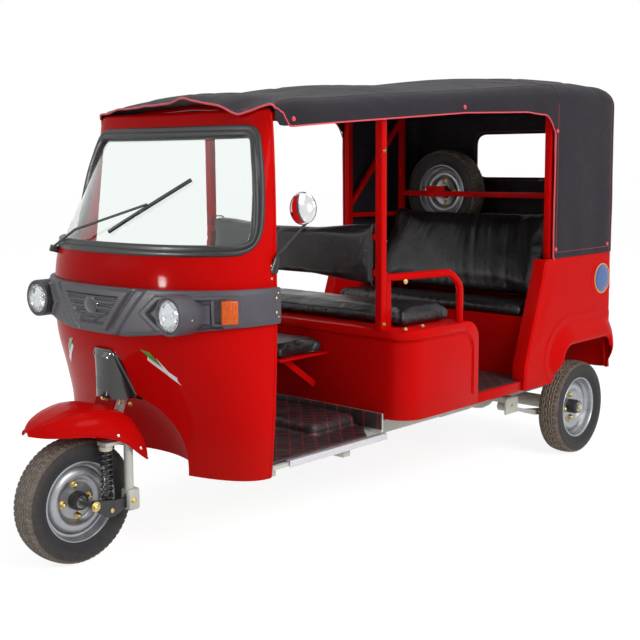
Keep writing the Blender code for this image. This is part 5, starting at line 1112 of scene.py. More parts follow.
class RICKSHAW_OT_lamp_bar(bpy.types.Operator):
    """Moulds the lamp bar with its slatted panel, ribs and pods, and fits lamps and signals"""
    bl_idname = "rickshaw.lamp_bar"
    bl_label = "Lamp bar"

    def relief(self, x, z):
        """Height of the moulding over the bar's plain face."""
        a = abs(x)
        slant = (a - 0.196) * -0.760 + (z - 0.905) * 0.650
        depth = min(slant, 0.893 - z, z - 0.7565)
        rise = 0.009 * step_up(depth, 0.0, 0.004) - 0.0085 * step_up(depth, 0.021, 0.025)
        if depth > 0.024:
            chevron = z - 0.787 - a * 0.42
            if chevron > 0.0:
                wave = math.sin(math.pi * (z - 0.7835) / 0.0185)
                rise += 0.0052 * step_up(abs(wave), 0.45, 0.85) * step_up(depth, 0.025, 0.029)
            rise += 0.0055 * hump(chevron, -0.003, 0.0045)
        rise -= 0.004 * hump(slant, -0.006, 0.006) * step_up(z, 0.760, 0.768)
        rise += 0.0065 * step_up(-slant, 0.012, 0.015) * step_up(slant, -0.040, -0.036)
        high, inward = abs(z - LAMP_Z) / 0.051, (LAMP_X - 0.004 - a) / 0.128
        hexagon = max(high, inward + 0.42 * high, -inward * 1.2)
        rise += 0.0085 * step_up(-hexagon, -1.10, -1.05) - 0.015 * step_up(-hexagon, -0.90, -0.80)
        rise += 0.008 * step_up(-hexagon, -0.62, -0.55)
        edge = min(z - bar_foot(x), 0.898 - z)
        return rise * step_up(edge, 0.001, 0.007) - 0.0012 * hump(edge, 0.009, 0.0025)

    def execute(self, context):
        across, along = 300, 56
        reach = cab_plan(LAMP_Z)[1][-1]

        def place(i, j):
            side = -1 + 2 * i / across
            distance = reach * side
            t = (j - 4) / (along - 8)
            face = cab_spot(distance, LAMP_Z)
            foot = bar_foot(face.x)
            if j < 4 or j > along - 4:
                z = foot if j < 4 else 0.898
                out = 0.0205 * (j if j < 4 else along - j) / 4 - 0.003
                return on_cab(distance, z, out * 0.8)
            z = foot + 0.001 + (0.896 - foot) * t
            out = 0.0205 * (1 - 0.22 * (abs(2 * t - 1)) ** 8) + self.relief(face.x, z)
            return on_cab(distance, z, out)
        bar = net("moulded_bar", across, along, place)
        pods = []
        for side in (1, -1):
            profile = [(0.0530, 0.030), (0.0535, 0.003), (0.0560, 0.0004), (0.0600, 0.0), (0.0625, 0.0018),
                       (0.0632, 0.006),
                       (0.0632, 0.060), (0.0622, 0.085), (0.058, 0.112), (0.048, 0.136), (0.030, 0.152),
                       (0.008, 0.158)]
            pod = turned("pod", profile, 64, close=False)
            pod.data.transform(turn_to((0, 1, 0), (side * LAMP_X, front(LAMP_FACE), LAMP_Z)))
            pods.append(outward(pod))
        drape = joined("moulded_bar", [outward(bar), *pods])
        settle(smooth(drape, 38), "bar_plastic", "vehicle", ["lamp_bar"])

        boss = turned("boss", [(1.0, 0.0), (0.99, 0.5), (0.94, 0.62), (0.90, 0.60), (0.86, 0.70),
                               (0.6, 0.92), (0.3, 1.0), (0.02, 1.02)], 48)
        boss.data.transform(Matrix.Diagonal((0.037, 0.029, 0.008, 1.0)))
        boss.data.transform(turn_to((0, -1, 0), (0.0, front(0.112) - 0.0225, 0.836)))
        settle(smooth(boss, 45), "black_plastic", "vehicle")

        screw = dome("screw", 0.0032, 0.0018, 12)
        spots = [((side * (LAMP_X + 0.0625 * math.sin(t)), front(LAMP_FACE + 0.045),
                   LAMP_Z + 0.0625 * math.cos(t)),
                  (side * math.sin(t), 0, math.cos(t))) for side in (1, -1) for t in (1.75, -1.2)]
        spots += [(on_cab(side * (reach - 0.012), z, 0.021), (side, 0.1, 0)) for side in (1, -1)
                  for z in (0.805, 0.880)]
        settle(spread(screw, spots, "bar_screws"), "zinc_yellow", "vehicle")
        for side, word in ((1, "left"), (-1, "right")):
            self.lamp(side, word)
            self.signal(side, word)
        return {"FINISHED"}

    def lamp(self, side, word):
        """Clear lens over a faceted bright bowl with its bulb shield, in a pale ring."""
        stand = turn_to((0, 1, 0), (side * LAMP_X, front(LAMP_FACE), LAMP_Z))
        lens = turned("lens", [(0.0518, 0.0060), (0.0524, 0.0030), (0.0505, 0.0005), (0.046, -0.0020),
                               (0.034, -0.0048),
                               (0.018, -0.0066), (0.002, -0.0072), (0.0018, -0.0054), (0.018, -0.0048),
                               (0.034, -0.0028),
                               (0.045, -0.0002), (0.0490, 0.0045)], 64, close=False)
        lens.data.transform(stand)
        settle(smooth(outward(lens, 0.00001), 50), "clear_lens", "vehicle",
               ["headlamp_" + word]).name = "lamp_lens_" + word
        facets = 28
        rows = [(0.0505, 0.006), (0.0475, 0.013), (0.0435, 0.020), (0.038, 0.0265), (0.031, 0.0325),
                (0.023, 0.0375), (0.0135, 0.0415)]

        def place(i, j):
            radius, depth = rows[j]
            angle = 2 * math.pi * (i + 0.5 * (j % 2)) / facets
            radius *= 1.0 + 0.02 * math.cos(2 * math.pi * i * 7 / facets)
            return (radius * math.cos(angle), radius * math.sin(angle), depth)
        bowl = net("bowl", facets, len(rows) - 1, place, close_across=True)
        bowl.data.flip_normals()
        bulb = turned("bulb", [(0.0150, 0.0405), (0.0150, 0.030), (0.0105, 0.026), (0.0085, 0.016),
                               (0.004, 0.0125), (0.0005, 0.012)], 24)
        bulb = smooth(bulb, 40)
        both = joined("lamp_bowl_" + word, [bowl, bulb])
        both.data.transform(stand)
        settle(both, "chrome_plate", "vehicle")
        ring = turned("lamp_ring_" + word,
                      [(0.0535, 0.0058), (0.0535, 0.0012), (0.0520, 0.0004), (0.0500, 0.0012),
                       (0.0495, 0.0058)], 64, close=False)
        ring.data.transform(stand)
        settle(smooth(outward(ring), 40), "bar_plastic", "vehicle")

    def signal(self, side, word):
        """Amber lens with a raised rim on a low plinth of the bar."""
        low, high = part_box("turn_signal_" + word)
        refined("turn_signal_" + word, "signal_lens_" + word, "amber_lens", "vehicle", 0.0035, 3)
        centre = (low + high) / 2
        nearest = min((abs(cab_spot(side * d / 500, LAMP_Z).y - centre.y), side * d / 500)
                      for d in range(150, 330))[1]
        outline = evenly(rounded([(-0.034, -0.045), (0.034, -0.045), (0.034, 0.045), (-0.034, 0.045)],
                                 0.014, 6), 60)
        plinth = sweep("signal_plinth_" + word, outline,
                       [(0.0, -0.002), (0.0015, 0.0025), (0.004, 0.0042), (0.010, 0.0042), (0.012, -0.002)],
                       lambda spot, depth: on_cab(nearest + spot.x, centre.z + spot.y, 0.0205 + depth))
        settle(smooth(plinth, 45), "bar_plastic", "vehicle")


class RICKSHAW_OT_nose(bpy.types.Operator):
    """Moulds the cover of the steering head, the mudguard and their fixings"""
    bl_idname = "rickshaw.nose"
    bl_label = "Steering cover and mudguard"

    def execute(self, context):
        top, foot, wide, narrow = 0.686, 0.512, 0.108, 0.076
        across, along = 96, 60

        def place(i, j):
            u = -1.06 + 2.12 * i / across
            v = min(1.0, max(0.0, (j - 2) / (along - 4)))
            half = (wide + (narrow - wide) * v) * (1 - 0.42 * step_up(v, 0.80, 1.0) ** 1.6)
            x = half * max(-1.0, min(1.0, u))
            z = foot + 0.016 * (1 - min(1.0, abs(u))) ** 1.2 * (1 - v) + (top - foot) * v
            skin_at = between(CAB_FORM, z)[2]
            base = front(skin_at + 0.020 * (x / wide) ** 2)
            bonnet = 0.044 + (0.064 - 0.044) * (1 - v)
            rise = max(0.0, 1 - (abs(x) / bonnet) ** 2.8) ** 0.6
            ahead = front(LAMP_FACE + 0.002)
            rise *= 1 - 0.95 * step_up(v, 0.80, 0.985) ** 1.5
            flange = 0.0085 - 0.003 * step_up(abs(u), 0.90, 0.97)
            y = base - flange + (min(ahead, base - flange) - base + flange) * rise
            crease = hump(abs(x) - bonnet - 0.3 * (half - bonnet), 0.0, 0.009)
            y -= 0.0055 * crease * step_up(v, 0.02, 0.08) * step_up(-v, -0.97, -0.88)
            if abs(u) > 1.0 or j < 2 or j > along - 2:
                y = base + 0.006
            return (x, y, z)
        cover = net("moulded_cover", across, along, place)
        settle(smooth(outward(cover), 40), "black_plastic", "vehicle", ["steering_cover"])

        slots = []
        for row in range(5):
            for column in (-1, 0, 1):
                z = 0.556 + row * 0.0085
                bonnet = 0.044 + 0.020 * (1 - (z - foot) / (top - foot))
                x = -0.012 + column * 0.0155
                rise = max(0.0, 1 - (abs(x) / bonnet) ** 2.8) ** 0.6
                skin_at = front(between(CAB_FORM, z)[2] + 0.020 * (x / wide) ** 2) - 0.0085
                y = skin_at + (front(LAMP_FACE + 0.002) - skin_at) * rise
                slots.append(block("slot", (x, y - 0.0001, z), (0.0095, 0.0012, 0.0030), 0.0005))
        settle(joined("cover_slots", slots), "black_rubber", "vehicle")

        bolt = hex_bolt("bolt", 0.0058, 0.006)
        places = [((side * 0.040, front(0.165), 0.508), (0, -1, -0.2)) for side in (1, -1)]
        places += [((side * 0.075, front(0.178), 0.503), (0, -1, -0.2)) for side in (1, -1)]
        settle(spread(bolt, places, "cover_bolts"), "zinc_yellow", "vehicle")
        self.mudguard()
        return {"FINISHED"}

    def mudguard(self):
        form = ((-0.172, 0.016, 0.462, 0.450), (-0.130, 0.062, 0.486, 0.444), (-0.060, 0.100, 0.508, 0.440),
                (0.030, 0.126, 0.518, 0.428), (0.110, 0.134, 0.500, 0.395), (0.165, 0.134, 0.470, 0.350),
                (0.205, 0.122, 0.414, 0.322), (0.228, 0.090, 0.368, 0.316))
        across, along = 60, 56

        def place(i, j):
            t = j / along
            back = form[0][0] + (form[-1][0] - form[0][0]) * (1 - (1 - t) ** 1.25)
            half, crown, hem = between(form, back)
            angle = math.pi * i / across
            c, s = math.cos(angle), math.sin(angle)
            crease = 0.0025 * hump(abs(c), 0.55, 0.10)
            return (math.copysign(abs(c) ** 0.55, c) * half, front(back),
                    hem + (crown - hem) * s ** 0.75 + crease)
        guard = outward(net("pressed_mudguard", across, along, place))
        if sum(face.normal.z for face in guard.data.polygons) < 0:
            guard.data.flip_normals()
        modify(guard, "SOLIDIFY", thickness=0.0045, offset=-1.0)
        left = [Vector(place(0, j)) for j in range(0, along + 1, 2)]
        tail = [Vector(place(i, along)) for i in range(3, across, 3)]
        right = [Vector(place(across, j)) for j in range(along, -1, -2)]
        nose = [Vector(place(i, 0)) for i in range(across - 10, 0, -10)]
        rims = [wire("rim", left + tail + right + nose, 0.0036, 3, closed=True, smooth_path=False)]
        settle(joined("pressed_mudguard", [smooth(guard, 40), *rims]), "red_paint", "steering",
               ["front_mudguard"])
        rivet = dome("rivet", 0.0065, 0.0035, 16)
        places = []
        for side in (1, -1):
            for back, lift in ((0.172, 0.022), (0.085, 0.016)):
                half, crown, hem = between(form, back)
                places.append(((side * (half + 0.0003), front(back), hem + lift), (side, 0, 0.25)))
        settle(spread(rivet, places, "mudguard_rivets"), "chrome_plate", "steering")


# ---------------------------------------------------------------- canopy

# Sections of the canopy: distance behind the front axle, half width, edge height, crown height, how far
# the middle stands ahead of the sides, and the rounding between side and roof.
CANOPY_FORM = (
    (0.425, 0.458, 1.473, 1.484, 0.055, 0.020), (0.480, 0.462, 1.486, 1.510, 0.045, 0.030),
    (0.560, 0.466, 1.496, 1.530, 0.030, 0.040), (0.810, 0.476, 1.512, 1.552, 0.0, 0.050),
    (1.143, 0.494, 1.538, 1.588, 0.0, 0.050), (1.988, 0.580, 1.600, 1.652, 0.0, 0.050),
    (2.330, 0.584, 1.606, 1.668, 0.0, 0.050), (2.450, 0.582, 1.592, 1.655, 0.0, 0.050),
    (2.495, 0.566, 1.562, 1.620, 0.0, 0.050), (2.515, 0.525, 1.515, 1.565, 0.0, 0.050),
)
# Hem of the side valance: distance behind the front axle and height.
CANOPY_HEM = ((0.440, 1.454), (0.462, 1.450), (0.500, 1.408), (0.520, 1.406), (0.920, 1.434),
              (1.430, 1.472), (1.800, 1.484),
              (1.920, 1.474), (1.975, 1.430), (1.981, 1.400))
# Lift of the front hem above its even line, across the roof from right to left.
FRONT_WAVE = ((-0.47, -0.006), (-0.34, 0.001), (-0.20, 0.004), (-0.06, 0.003), (0.02, 0.008),
              (0.075, 0.021), (0.13, 0.008),
              (0.22, -0.004), (0.27, -0.012), (0.325, -0.032), (0.37, -0.022), (0.42, -0.006), (0.46, 0.006))
CANOPY_BOWS = (0.530, 1.015, 1.988, 2.310)
CURTAIN_FRONT, CURTAIN_FOOT = 1.981, 0.8895
DROP, TURN, CROWN = 40, 9, 66
COLUMNS = 2 * DROP + 2 * TURN + CROWN


def cloth_at(back, column, shrink=1.0, out=0.0):
    """Point of the canopy's cloth: distance back, column from the right hem over to the left one."""
    half, edge, crown, bow, turn = between(CANOPY_FORM, back)
    side = -1 if column < COLUMNS / 2 else 1
    near = min(column, COLUMNS - column)
    flat = half - turn
    if near <= DROP:
        x, z = side * half, CURTAIN_FOOT + (edge - turn - CURTAIN_FOOT) * near / DROP
        facing = Vector((side, 0.0, 0.0))
    elif near <= DROP + TURN:
        angle = math.pi / 2 * (near - DROP) / TURN
        x, z = side * (flat + turn * math.cos(angle)), edge - turn + turn * math.sin(angle)
        facing = Vector((side * math.cos(angle), 0.0, math.sin(angle)))
    else:
        x = flat * (-1 + 2 * (column - DROP - TURN) / CROWN)
        z = edge + (crown - edge) * (1 - (x / flat) ** 2)
        facing = Vector((0.0, 0.0, 1.0))
    spot = Vector((x * shrink, front(back) + bow * (x / half) ** 2, z))
    ending = step_up(back, 2.44, 2.515)
    facing = (facing * (1 - ending) + Vector((0, 1, 0)) * ending).normalized()
    overhead = step_up(near, DROP + 1, DROP + TURN + 8) * (1 - ending)
    for low, high in zip(CANOPY_BOWS, CANOPY_BOWS[1:]):
        if low < back < high:
            share = (back - low) / (high - low)
            depth = size("sag") * (1.5 if high - low > 0.6 else 1.0)
            spot.z -= (depth * overhead * math.sin(math.pi * share) ** 2
                       * (0.65 + 0.35 * math.cos(math.pi * x)))
            spot.z -= 0.0022 * overhead * math.exp(-30 * min(share, 1 - share))
    curtain = step_up(back, CURTAIN_FRONT - 0.02, CURTAIN_FRONT + 0.05)
    lowness = step_up(-z, -1.50, -0.95) * curtain
    long_fold = noise.noise(Vector((spot.y * 7.0, side * 3.1, z * 1.1)))
    broad = noise.noise(Vector((spot.x * 3.0, spot.y * 2.6, z * 2.2 + 4.0)))
    fine = noise.noise(Vector((spot.x * 9.0 + spot.y * 4.0, spot.y * 8.0, z * 7.0 + 9.0)))
    sharp = abs(noise.noise(Vector((spot.x * 4.0 + spot.y * 3.0, spot.y * 4.5 - x * 2.0, 2.0))))
    rise = 0.0030 * broad + 0.0013 * fine + 0.0055 * long_fold * lowness
    rise -= 0.0035 * (1 - step_up(sharp, 0.0, 0.13)) * overhead
    flap = 1 - step_up(back, 0.425, 0.545)
    if near > DROP and flap > 0:
        lift = between(FRONT_WAVE, x)[0]
        spot.z += lift * flap ** 1.3
        spot.y -= flap * (0.006 + max(0.0, -lift) * 0.35) * step_up(near, DROP, DROP + TURN)
        rise += 0.0035 * flap * noise.noise(Vector((spot.x * 14.0, 0.3, back * 5.0)))
    if near <= DROP and back < 1.95:
        rise += 0.0045 * noise.noise(Vector((spot.y * 11.0, side * 2.0, z * 3.0))) * step_up(-z, -1.53, -1.44)
    return spot + facing * (rise + out)


def column_for(back, height, side):
    """Column of the cloth at a height on one side."""
    _, edge, _, _, turn = between(CANOPY_FORM, back)
    low = edge - turn
    if height <= low:
        column = DROP * (height - CURTAIN_FOOT) / (low - CURTAIN_FOOT)
    else:
        column = DROP + TURN * math.asin(min(1.0, (height - low) / turn)) * 2 / math.pi
    return column if side < 0 else COLUMNS - column


def hem_height(back):
    """Height of the side hem, straight between the rows of its table."""
    for (a, low), (b, high) in zip(CANOPY_HEM, CANOPY_HEM[1:]):
        if back <= b:
            return low + (high - low) * min(1.0, max(0.0, (back - a) / (b - a)))
    return CANOPY_HEM[-1][1]


# How far back the welted seams run: down the rear corner, and across the roof.
CORNER_SEAM, ROOF_SEAM = 2.455, 1.990


class RICKSHAW_OT_canopy(bpy.types.Operator):
    """Sews the canopy in one sheet, with its valance, curtain, rear wall, window, piping and snaps"""
    bl_idname = "rickshaw.canopy"
    bl_label = "Canopy"

    def execute(self, context):
        stations = [0.425 + 0.0065 * k for k in range(16)]
        stations += [stations[-1] + (2.430 - stations[-1]) * k / 128 for k in range(1, 129)]
        stations += [2.430 + 0.085 * math.sin(math.pi / 2 * k / 12) for k in range(1, 13)]
        shrinks = [(30 - k) / 30 for k in range(1, 31)]
        rows = [(back, 1.0) for back in stations] + [(2.515, share) for share in shrinks]

        def place(i, j):
            back, shrink = rows[j]
            spot = cloth_at(back, i, shrink)
            if shrink < 1.0:
                ripple = noise.noise(Vector((spot.x * 5.0, 1.7, spot.z * 2.0)))
                spot.y = front(2.515) + 0.004 * ripple * (1 - shrink ** 4)
            return spot
        cloth = net("canvas_canopy", COLUMNS, len(rows) - 1, place)
        layer = cloth.data.uv_layers.active or cloth.data.uv_layers.new(name="cloth")
        for loop in cloth.data.loops:
            spot = cloth.data.vertices[loop.vertex_index].co
            layer.data[loop.index].uv = (spot.x + math.copysign(spot.z, spot.x) * 0.7, spot.y + spot.z * 0.3)
        outward(cloth, 0.0008)
        modify(cloth, "SOLIDIFY", thickness=0.0026, offset=-1.0)
        for side in (1, -1):
            outline = [(front(back), z) for back, z in CANOPY_HEM]
            outline += [(front(CURTAIN_FRONT), 0.80), (front(0.38), 0.80), (front(0.38), 1.454)]
            low, high = sorted((side * 0.425, side * 0.72))
            carve(cloth, "DIFFERENCE", prism("below_hem", outline, low, high))
        window = [(-0.172, 1.212), (0.330, 1.212), (0.330, 1.420), (-0.172, 1.420)]
        carve(cloth, "DIFFERENCE", prism("window", rounded(window, 0.055), 1.25, 1.40, along="y"))
        settle(smooth(cloth, 60), "black_canvas", "vehicle", ["canopy"])

        ring = evenly(rounded(window, 0.055), 120)
        binding = sweep("window_binding", ring,
                        [(-0.017, -0.0045), (-0.017, 0.0025), (-0.002, 0.0042), (0.0015, 0.0035),
                                                 (0.0015, -0.0055), (-0.002, -0.0062)],
                        lambda spot, depth: (spot.x, front(2.515) + depth, spot.y))
        settle(smooth(binding, 50), "black_canvas", "vehicle")
        stitched = [wire("thread", [(p.x, front(2.515) + lift, p.y) for p in evenly(rounded(
            [(-0.172 - grow, 1.212 - grow), (0.330 + grow, 1.212 - grow), (0.330 + grow, 1.420 + grow),
             (-0.172 - grow, 1.420 + grow)],
            0.055 + grow), 90)], 0.0009, 1, closed=True) for grow in (0.012,) for lift in (0.0035, -0.0055)]

        cords, welts = [], []
        front_edge = [cloth_at(0.425, column) for column in range(DROP + 1, COLUMNS - DROP, 2)]
        cords.append(wire("front_cord", front_edge, size("piping"), 3))
        for side in (1, -1):
            hem = [cloth_at(back, column_for(back, hem_height(back), side), out=-0.0013)
                   for back in [0.440, 0.452, 0.464, 0.478, 0.490, 0.502]
                   + [0.52 + 0.0325 * k for k in range(45)] + [1.981]]
            curtain = [cloth_at(CURTAIN_FRONT, column_for(CURTAIN_FRONT, z, side), out=-0.0013)
                       for z in [1.40 - 0.034 * k for k in range(16)]]
            curl = [curtain[-1] + Vector((side * dx, dy, -dz))
                    for dx, dy, dz in ((0.003, -0.002, 0.004), (0.007, -0.006, 0.003),
                                       (0.008, -0.008, -0.003))]
            top = cloth_at(0.425, DROP + 1 if side < 0 else COLUMNS - DROP - 1)
            cords.append(wire("hem_cord", [top, *hem], size("piping") * 0.8, 3))
            cords.append(wire("curtain_cord", [hem[-1], *curtain[1:], *curl], size("piping"), 3))
            edge = DROP + TURN - 1
            line = [0.46 + 0.0275 * k for k in range(73)]
            welts.append(wire("roof_welt",
                              [cloth_at(b, edge if side < 0 else COLUMNS - edge, out=-0.0006)
                               for b in line], 0.0022, 2))
            stitched.append(wire("roof_thread",
                                 [cloth_at(b, edge + 0.8 if side < 0 else COLUMNS - edge - 0.8, out=0.0002)
                                  for b in line], 0.0008, 1))
            heights = [0.90 + 0.0225 * k for k in range(29)]
            welts.append(wire("corner_welt",
                              [cloth_at(CORNER_SEAM, column_for(CORNER_SEAM, z, side), out=-0.0006)
                               for z in heights], 0.0022, 2))
            stitched.append(wire("corner_thread",
                                 [cloth_at(CORNER_SEAM - 0.008, column_for(CORNER_SEAM, z, side),
                                           out=0.0002) for z in heights], 0.0008, 1))
            low = [CURTAIN_FRONT + 0.012 + 0.0225 * k for k in range(21)]
            stitched.append(wire("foot_thread",
                                 [cloth_at(b, column_for(b, 0.914, side), out=0.0002) for b in low], 0.0008,
                                 1))
            heights = [0.905 + 0.02 * k for k in range(32)]
            stitched.append(wire("edge_thread",
                                 [cloth_at(CURTAIN_FRONT + 0.018,
                                           column_for(CURTAIN_FRONT + 0.018, z, side), out=0.0002)
                                           for z in heights], 0.0008, 1))
        for shift, radius, keep in ((0.0, 0.0022, welts), (0.009, 0.0008, stitched)):
            keep.append(wire("panel_seam",
                             [cloth_at(ROOF_SEAM + shift, column, out=-0.0004)
                              for column in range(DROP + 2, COLUMNS - DROP - 1, 2)], radius, 2))
        settle(joined("canopy_piping", cords), "coral_piping", "vehicle")
        settle(joined("canopy_welts", welts), "black_canvas", "vehicle")
        settle(joined("canopy_stitches", stitched), "stitch_thread", "vehicle")

        snap = dome("snap", 0.0085, 0.0055, 20)
        places = []
        for side in (1, -1):
            for back, z in ((0.520, 1.429), (1.420, 1.492), (1.981 + 0.010, 1.412), (1.995, 0.926),
                            (2.425, 0.926)):
                here = cloth_at(back, column_for(back, z, side), out=0.0004)
                places.append((here, (side, 0, 0.08)))
        settle(spread(snap, places, "canopy_snaps"), "coral_piping", "vehicle")
        return {"FINISHED"}


# ---------------------------------------------------------------- wheels

# Half section of a tyre beyond its tread: distance from the middle plane and radius.
TYRE_WALL = ((0.0405, 0.1998), (0.0435, 0.1972), (0.0458, 0.1935), (0.0474, 0.1890), (0.0485, 0.1838),
             (0.0492, 0.1782),
             (0.0500, 0.1768), (0.0500, 0.1738), (0.0495, 0.1722), (0.0494, 0.1660), (0.0487, 0.1600),
             (0.0474, 0.1545),
             (0.0466, 0.1528), (0.0462, 0.1502), (0.0446, 0.1486), (0.0428, 0.1430), (0.0408, 0.1380),
             (0.0395, 0.1342),
             (0.0372, 0.1322), (0.0250, 0.1312), (0.0, 0.1310))
# Pressed wheel, from the outer lip in to the hub and back along the inner side: radius and distance.
RIM_FACE = ((0.1325, 0.0350), (0.1328, 0.0382), (0.1312, 0.0396), (0.1285, 0.0396), (0.1262, 0.0378),
            (0.1240, 0.0320),
            (0.1212, 0.0200), (0.1185, 0.0140), (0.1120, 0.0132), (0.1100, 0.0080), (0.1082, 0.0132),
            (0.1045, 0.0180),
            (0.0975, 0.0235), (0.0885, 0.0262), (0.0800, 0.0245), (0.0730, 0.0185), (0.0660, 0.0108),
            (0.0600, 0.0086),
            (0.0340, 0.0080), (0.0270, 0.0080))
RIM_BACK = ((0.0270, 0.0020), (0.0600, 0.0030), (0.0660, 0.0055), (0.0730, 0.0130), (0.0800, 0.0190),
            (0.0885, 0.0205),
            (0.0975, 0.0180), (0.1050, 0.0110), (0.1110, 0.0040), (0.1165, -0.0040), (0.1185, -0.0140),
            (0.1212, -0.0200),
            (0.1240, -0.0320), (0.1262, -0.0378), (0.1285, -0.0396), (0.1312, -0.0396), (0.1328, -0.0382),
            (0.1325, -0.0350),
            (0.1275, -0.0280), (0.1262, -0.0120), (0.1262, 0.0120), (0.1275, 0.0280))


class RICKSHAW_OT_wheels(bpy.types.Operator):
    """Moulds the treaded tyres and presses the wheels, with nuts, hubs and valves"""
    bl_idname = "rickshaw.wheels"
    bl_label = "Tyres and wheels"

    def tyre(self):
        """Tyre about Z at the origin: ribs between zigzag grooves, sipes on the shoulders."""
        tread = [(-0.038 + 0.0019 * k, 0.205 - 0.0045 * abs((-0.038 + 0.0019 * k) / 0.038) ** 2.2)
                 for k in range(41)]
        section = [(-x, r) for x, r in reversed(TYRE_WALL[:-1])] + tread + list(TYRE_WALL)
        around = 320

        def place(i, j):
            x, radius = section[i]
            angle = 2 * math.pi * j / around
            swing = abs((j % 8) - 4) / 2 - 1
            groove = max(hump(x, centre + 0.0026 * swing * turn, 0.0040)
                         for centre, turn in ((0.0135, 1), (-0.0135, -1), (0.0, 1)))
            depth = size("tread") * groove
            if 0.028 < abs(x) < 0.0470 and radius > 0.186 and (j + (2 if x > 0 else 0)) % 5 == 0:
                depth = 0.0036
            if 0.0225 < abs(x) < 0.0265:
                depth = size("tread") * 0.5
            radius -= depth
            return (radius * math.cos(angle), radius * math.sin(angle), x)
        item = smooth(net("tyre", len(section), around, place, close_across=True, close_along=True), 40)
        dust = item.data.attributes.new("dust", "FLOAT", "POINT")
        values = []
        for vertex in item.data.vertices:
            across = abs(vertex.co.z)
            radius = math.hypot(vertex.co.x, vertex.co.y)
            face = 0.205 - 0.0045 * min(1.0, across / 0.038) ** 2.2
            if across < 0.047 and radius > 0.186:
                values.append(1.9 if face - radius > 0.0012
                              and across < 0.039 else 0.30 + 0.35 * step_up(across, 0.028, 0.036))
            else:
                values.append(0.10 * step_up(radius, 0.15, 0.186))
        dust.data.foreach_set("value", values)
        return item

    def rim(self, sink):
        """Pressed wheel about Z at the origin, its disc that much deeper."""
        def sunk(rows):
            return [(r, h - sink * (1 - step_up(r, 0.106, 0.1215))) for r, h in rows]
        profile = sunk(RIM_FACE) + sunk(RIM_BACK) + [RIM_FACE[0]]
        return smooth(turned("rim", profile, 96, close=False), 34)

    def execute(self, context):
        tyre = self.tyre()
        wheels = (("front", "front_tyre", "front_rim", (1, 0, 0), "front_wheel", 0.0),
                  ("rear_left", "rear_tyre_left", "rear_rim_left", (1, 0, 0), "rear_wheel_left", 0.012),
                  ("rear_right", "rear_tyre_right", "rear_rim_right", (-1, 0, 0), "rear_wheel_right", 0.012),
                  ("spare", "spare_tyre", "spare_rim", (0, -1, 0), "vehicle", 0.004))
        for word, tyre_node, rim_node, facing, body, sink in wheels:
            low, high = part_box(tyre_node)
            stand = turn_to(facing, (low + high) / 2)
            settle(copy_at(tyre, stand, word + "_treaded_tyre"), "tyre_rubber", body, [tyre_node])
            disc = self.rim(sink)
            disc.name = disc.data.name = word + "_pressed_wheel"
            disc.data.transform(stand)
            settle(disc, "rim_silver", body, [rim_node])

            nuts = []
            for k in range(4):
                angle = math.pi / 2 * k + 0.10
                foot = turned("foot", [(0.0115, 0.0), (0.0112, 0.0060), (0.0098, 0.0072)], 6)
                cap = dome("cap", 0.0088, 0.0080, 20)
                cap.data.transform(Matrix.Translation((0, 0, 0.0070)))
                washer = smooth(turned("washer", [(0.0135, 0.0), (0.0135, 0.0014), (0.0110, 0.0014)], 24), 40)
                nut = joined("nut", [foot, cap, washer])
                nut.data.transform(Matrix.Translation((0.0520 * math.cos(angle), 0.0520 * math.sin(angle),
                                                       0.0083 - sink)))
                nuts.append(nut)
            nuts = joined(word + "_wheel_nuts", nuts)
            nuts.data.transform(stand)
            settle(nuts, "zinc_yellow", body)

            valve = smooth(turned("valve",
                                  [(0.0042, 0.0), (0.0042, 0.012), (0.0034, 0.014), (0.0034, 0.026),
                                   (0.0026, 0.0275)], 16), 40)
            valve.data.transform(turn_to((-0.30, 0, 1), (-0.1165, 0.022, 0.004)))
            top = 0.0412 if word != "spare" else 0.020
            hub = turned("hub", [(0.0310, 0.0080 - sink), (0.0310, top - 0.014), (0.0285, top - 0.010),
                                 (0.0280, top - 0.002), (0.0262, top),
                                 (0.0205, top), (0.0200, top - 0.003)], 40)
            inner = turned("inner", [(0.0300, 0.003 - sink), (0.0300, -0.0385), (0.0280, -0.0410),
                                     (0.0200, -0.0410)], 40)
            dark = joined(word + "_hub", [smooth(valve, 40), smooth(hub, 40), smooth(inner, 40)])
            dark.data.transform(stand)
            settle(dark, "black_steel", body)
            ring = smooth(turned(word + "_bearing_ring",
                                 [(0.0198, top - 0.004), (0.0198, top + 0.0006), (0.0165, top + 0.0006),
                                  (0.0160, top - 0.002)], 40), 40)
            ring.data.transform(stand)
            settle(ring, "bright_steel", body)
            if word in ("rear_left", "rear_right"):
                nut = turned("nut", [(0.0150, top - 0.002), (0.0150, top + 0.0030), (0.0135, top + 0.0045)],
                             6)
                stem = smooth(turned("stem",
                                     [(0.0085, top), (0.0085, top + 0.0068), (0.0070, top + 0.0080)], 24), 40)
                cap = joined(word + "_axle_nut", [nut, stem])
                cap.data.transform(stand)
                settle(cap, "zinc_yellow", body)
        drop(tyre)
        return {"FINISHED"}


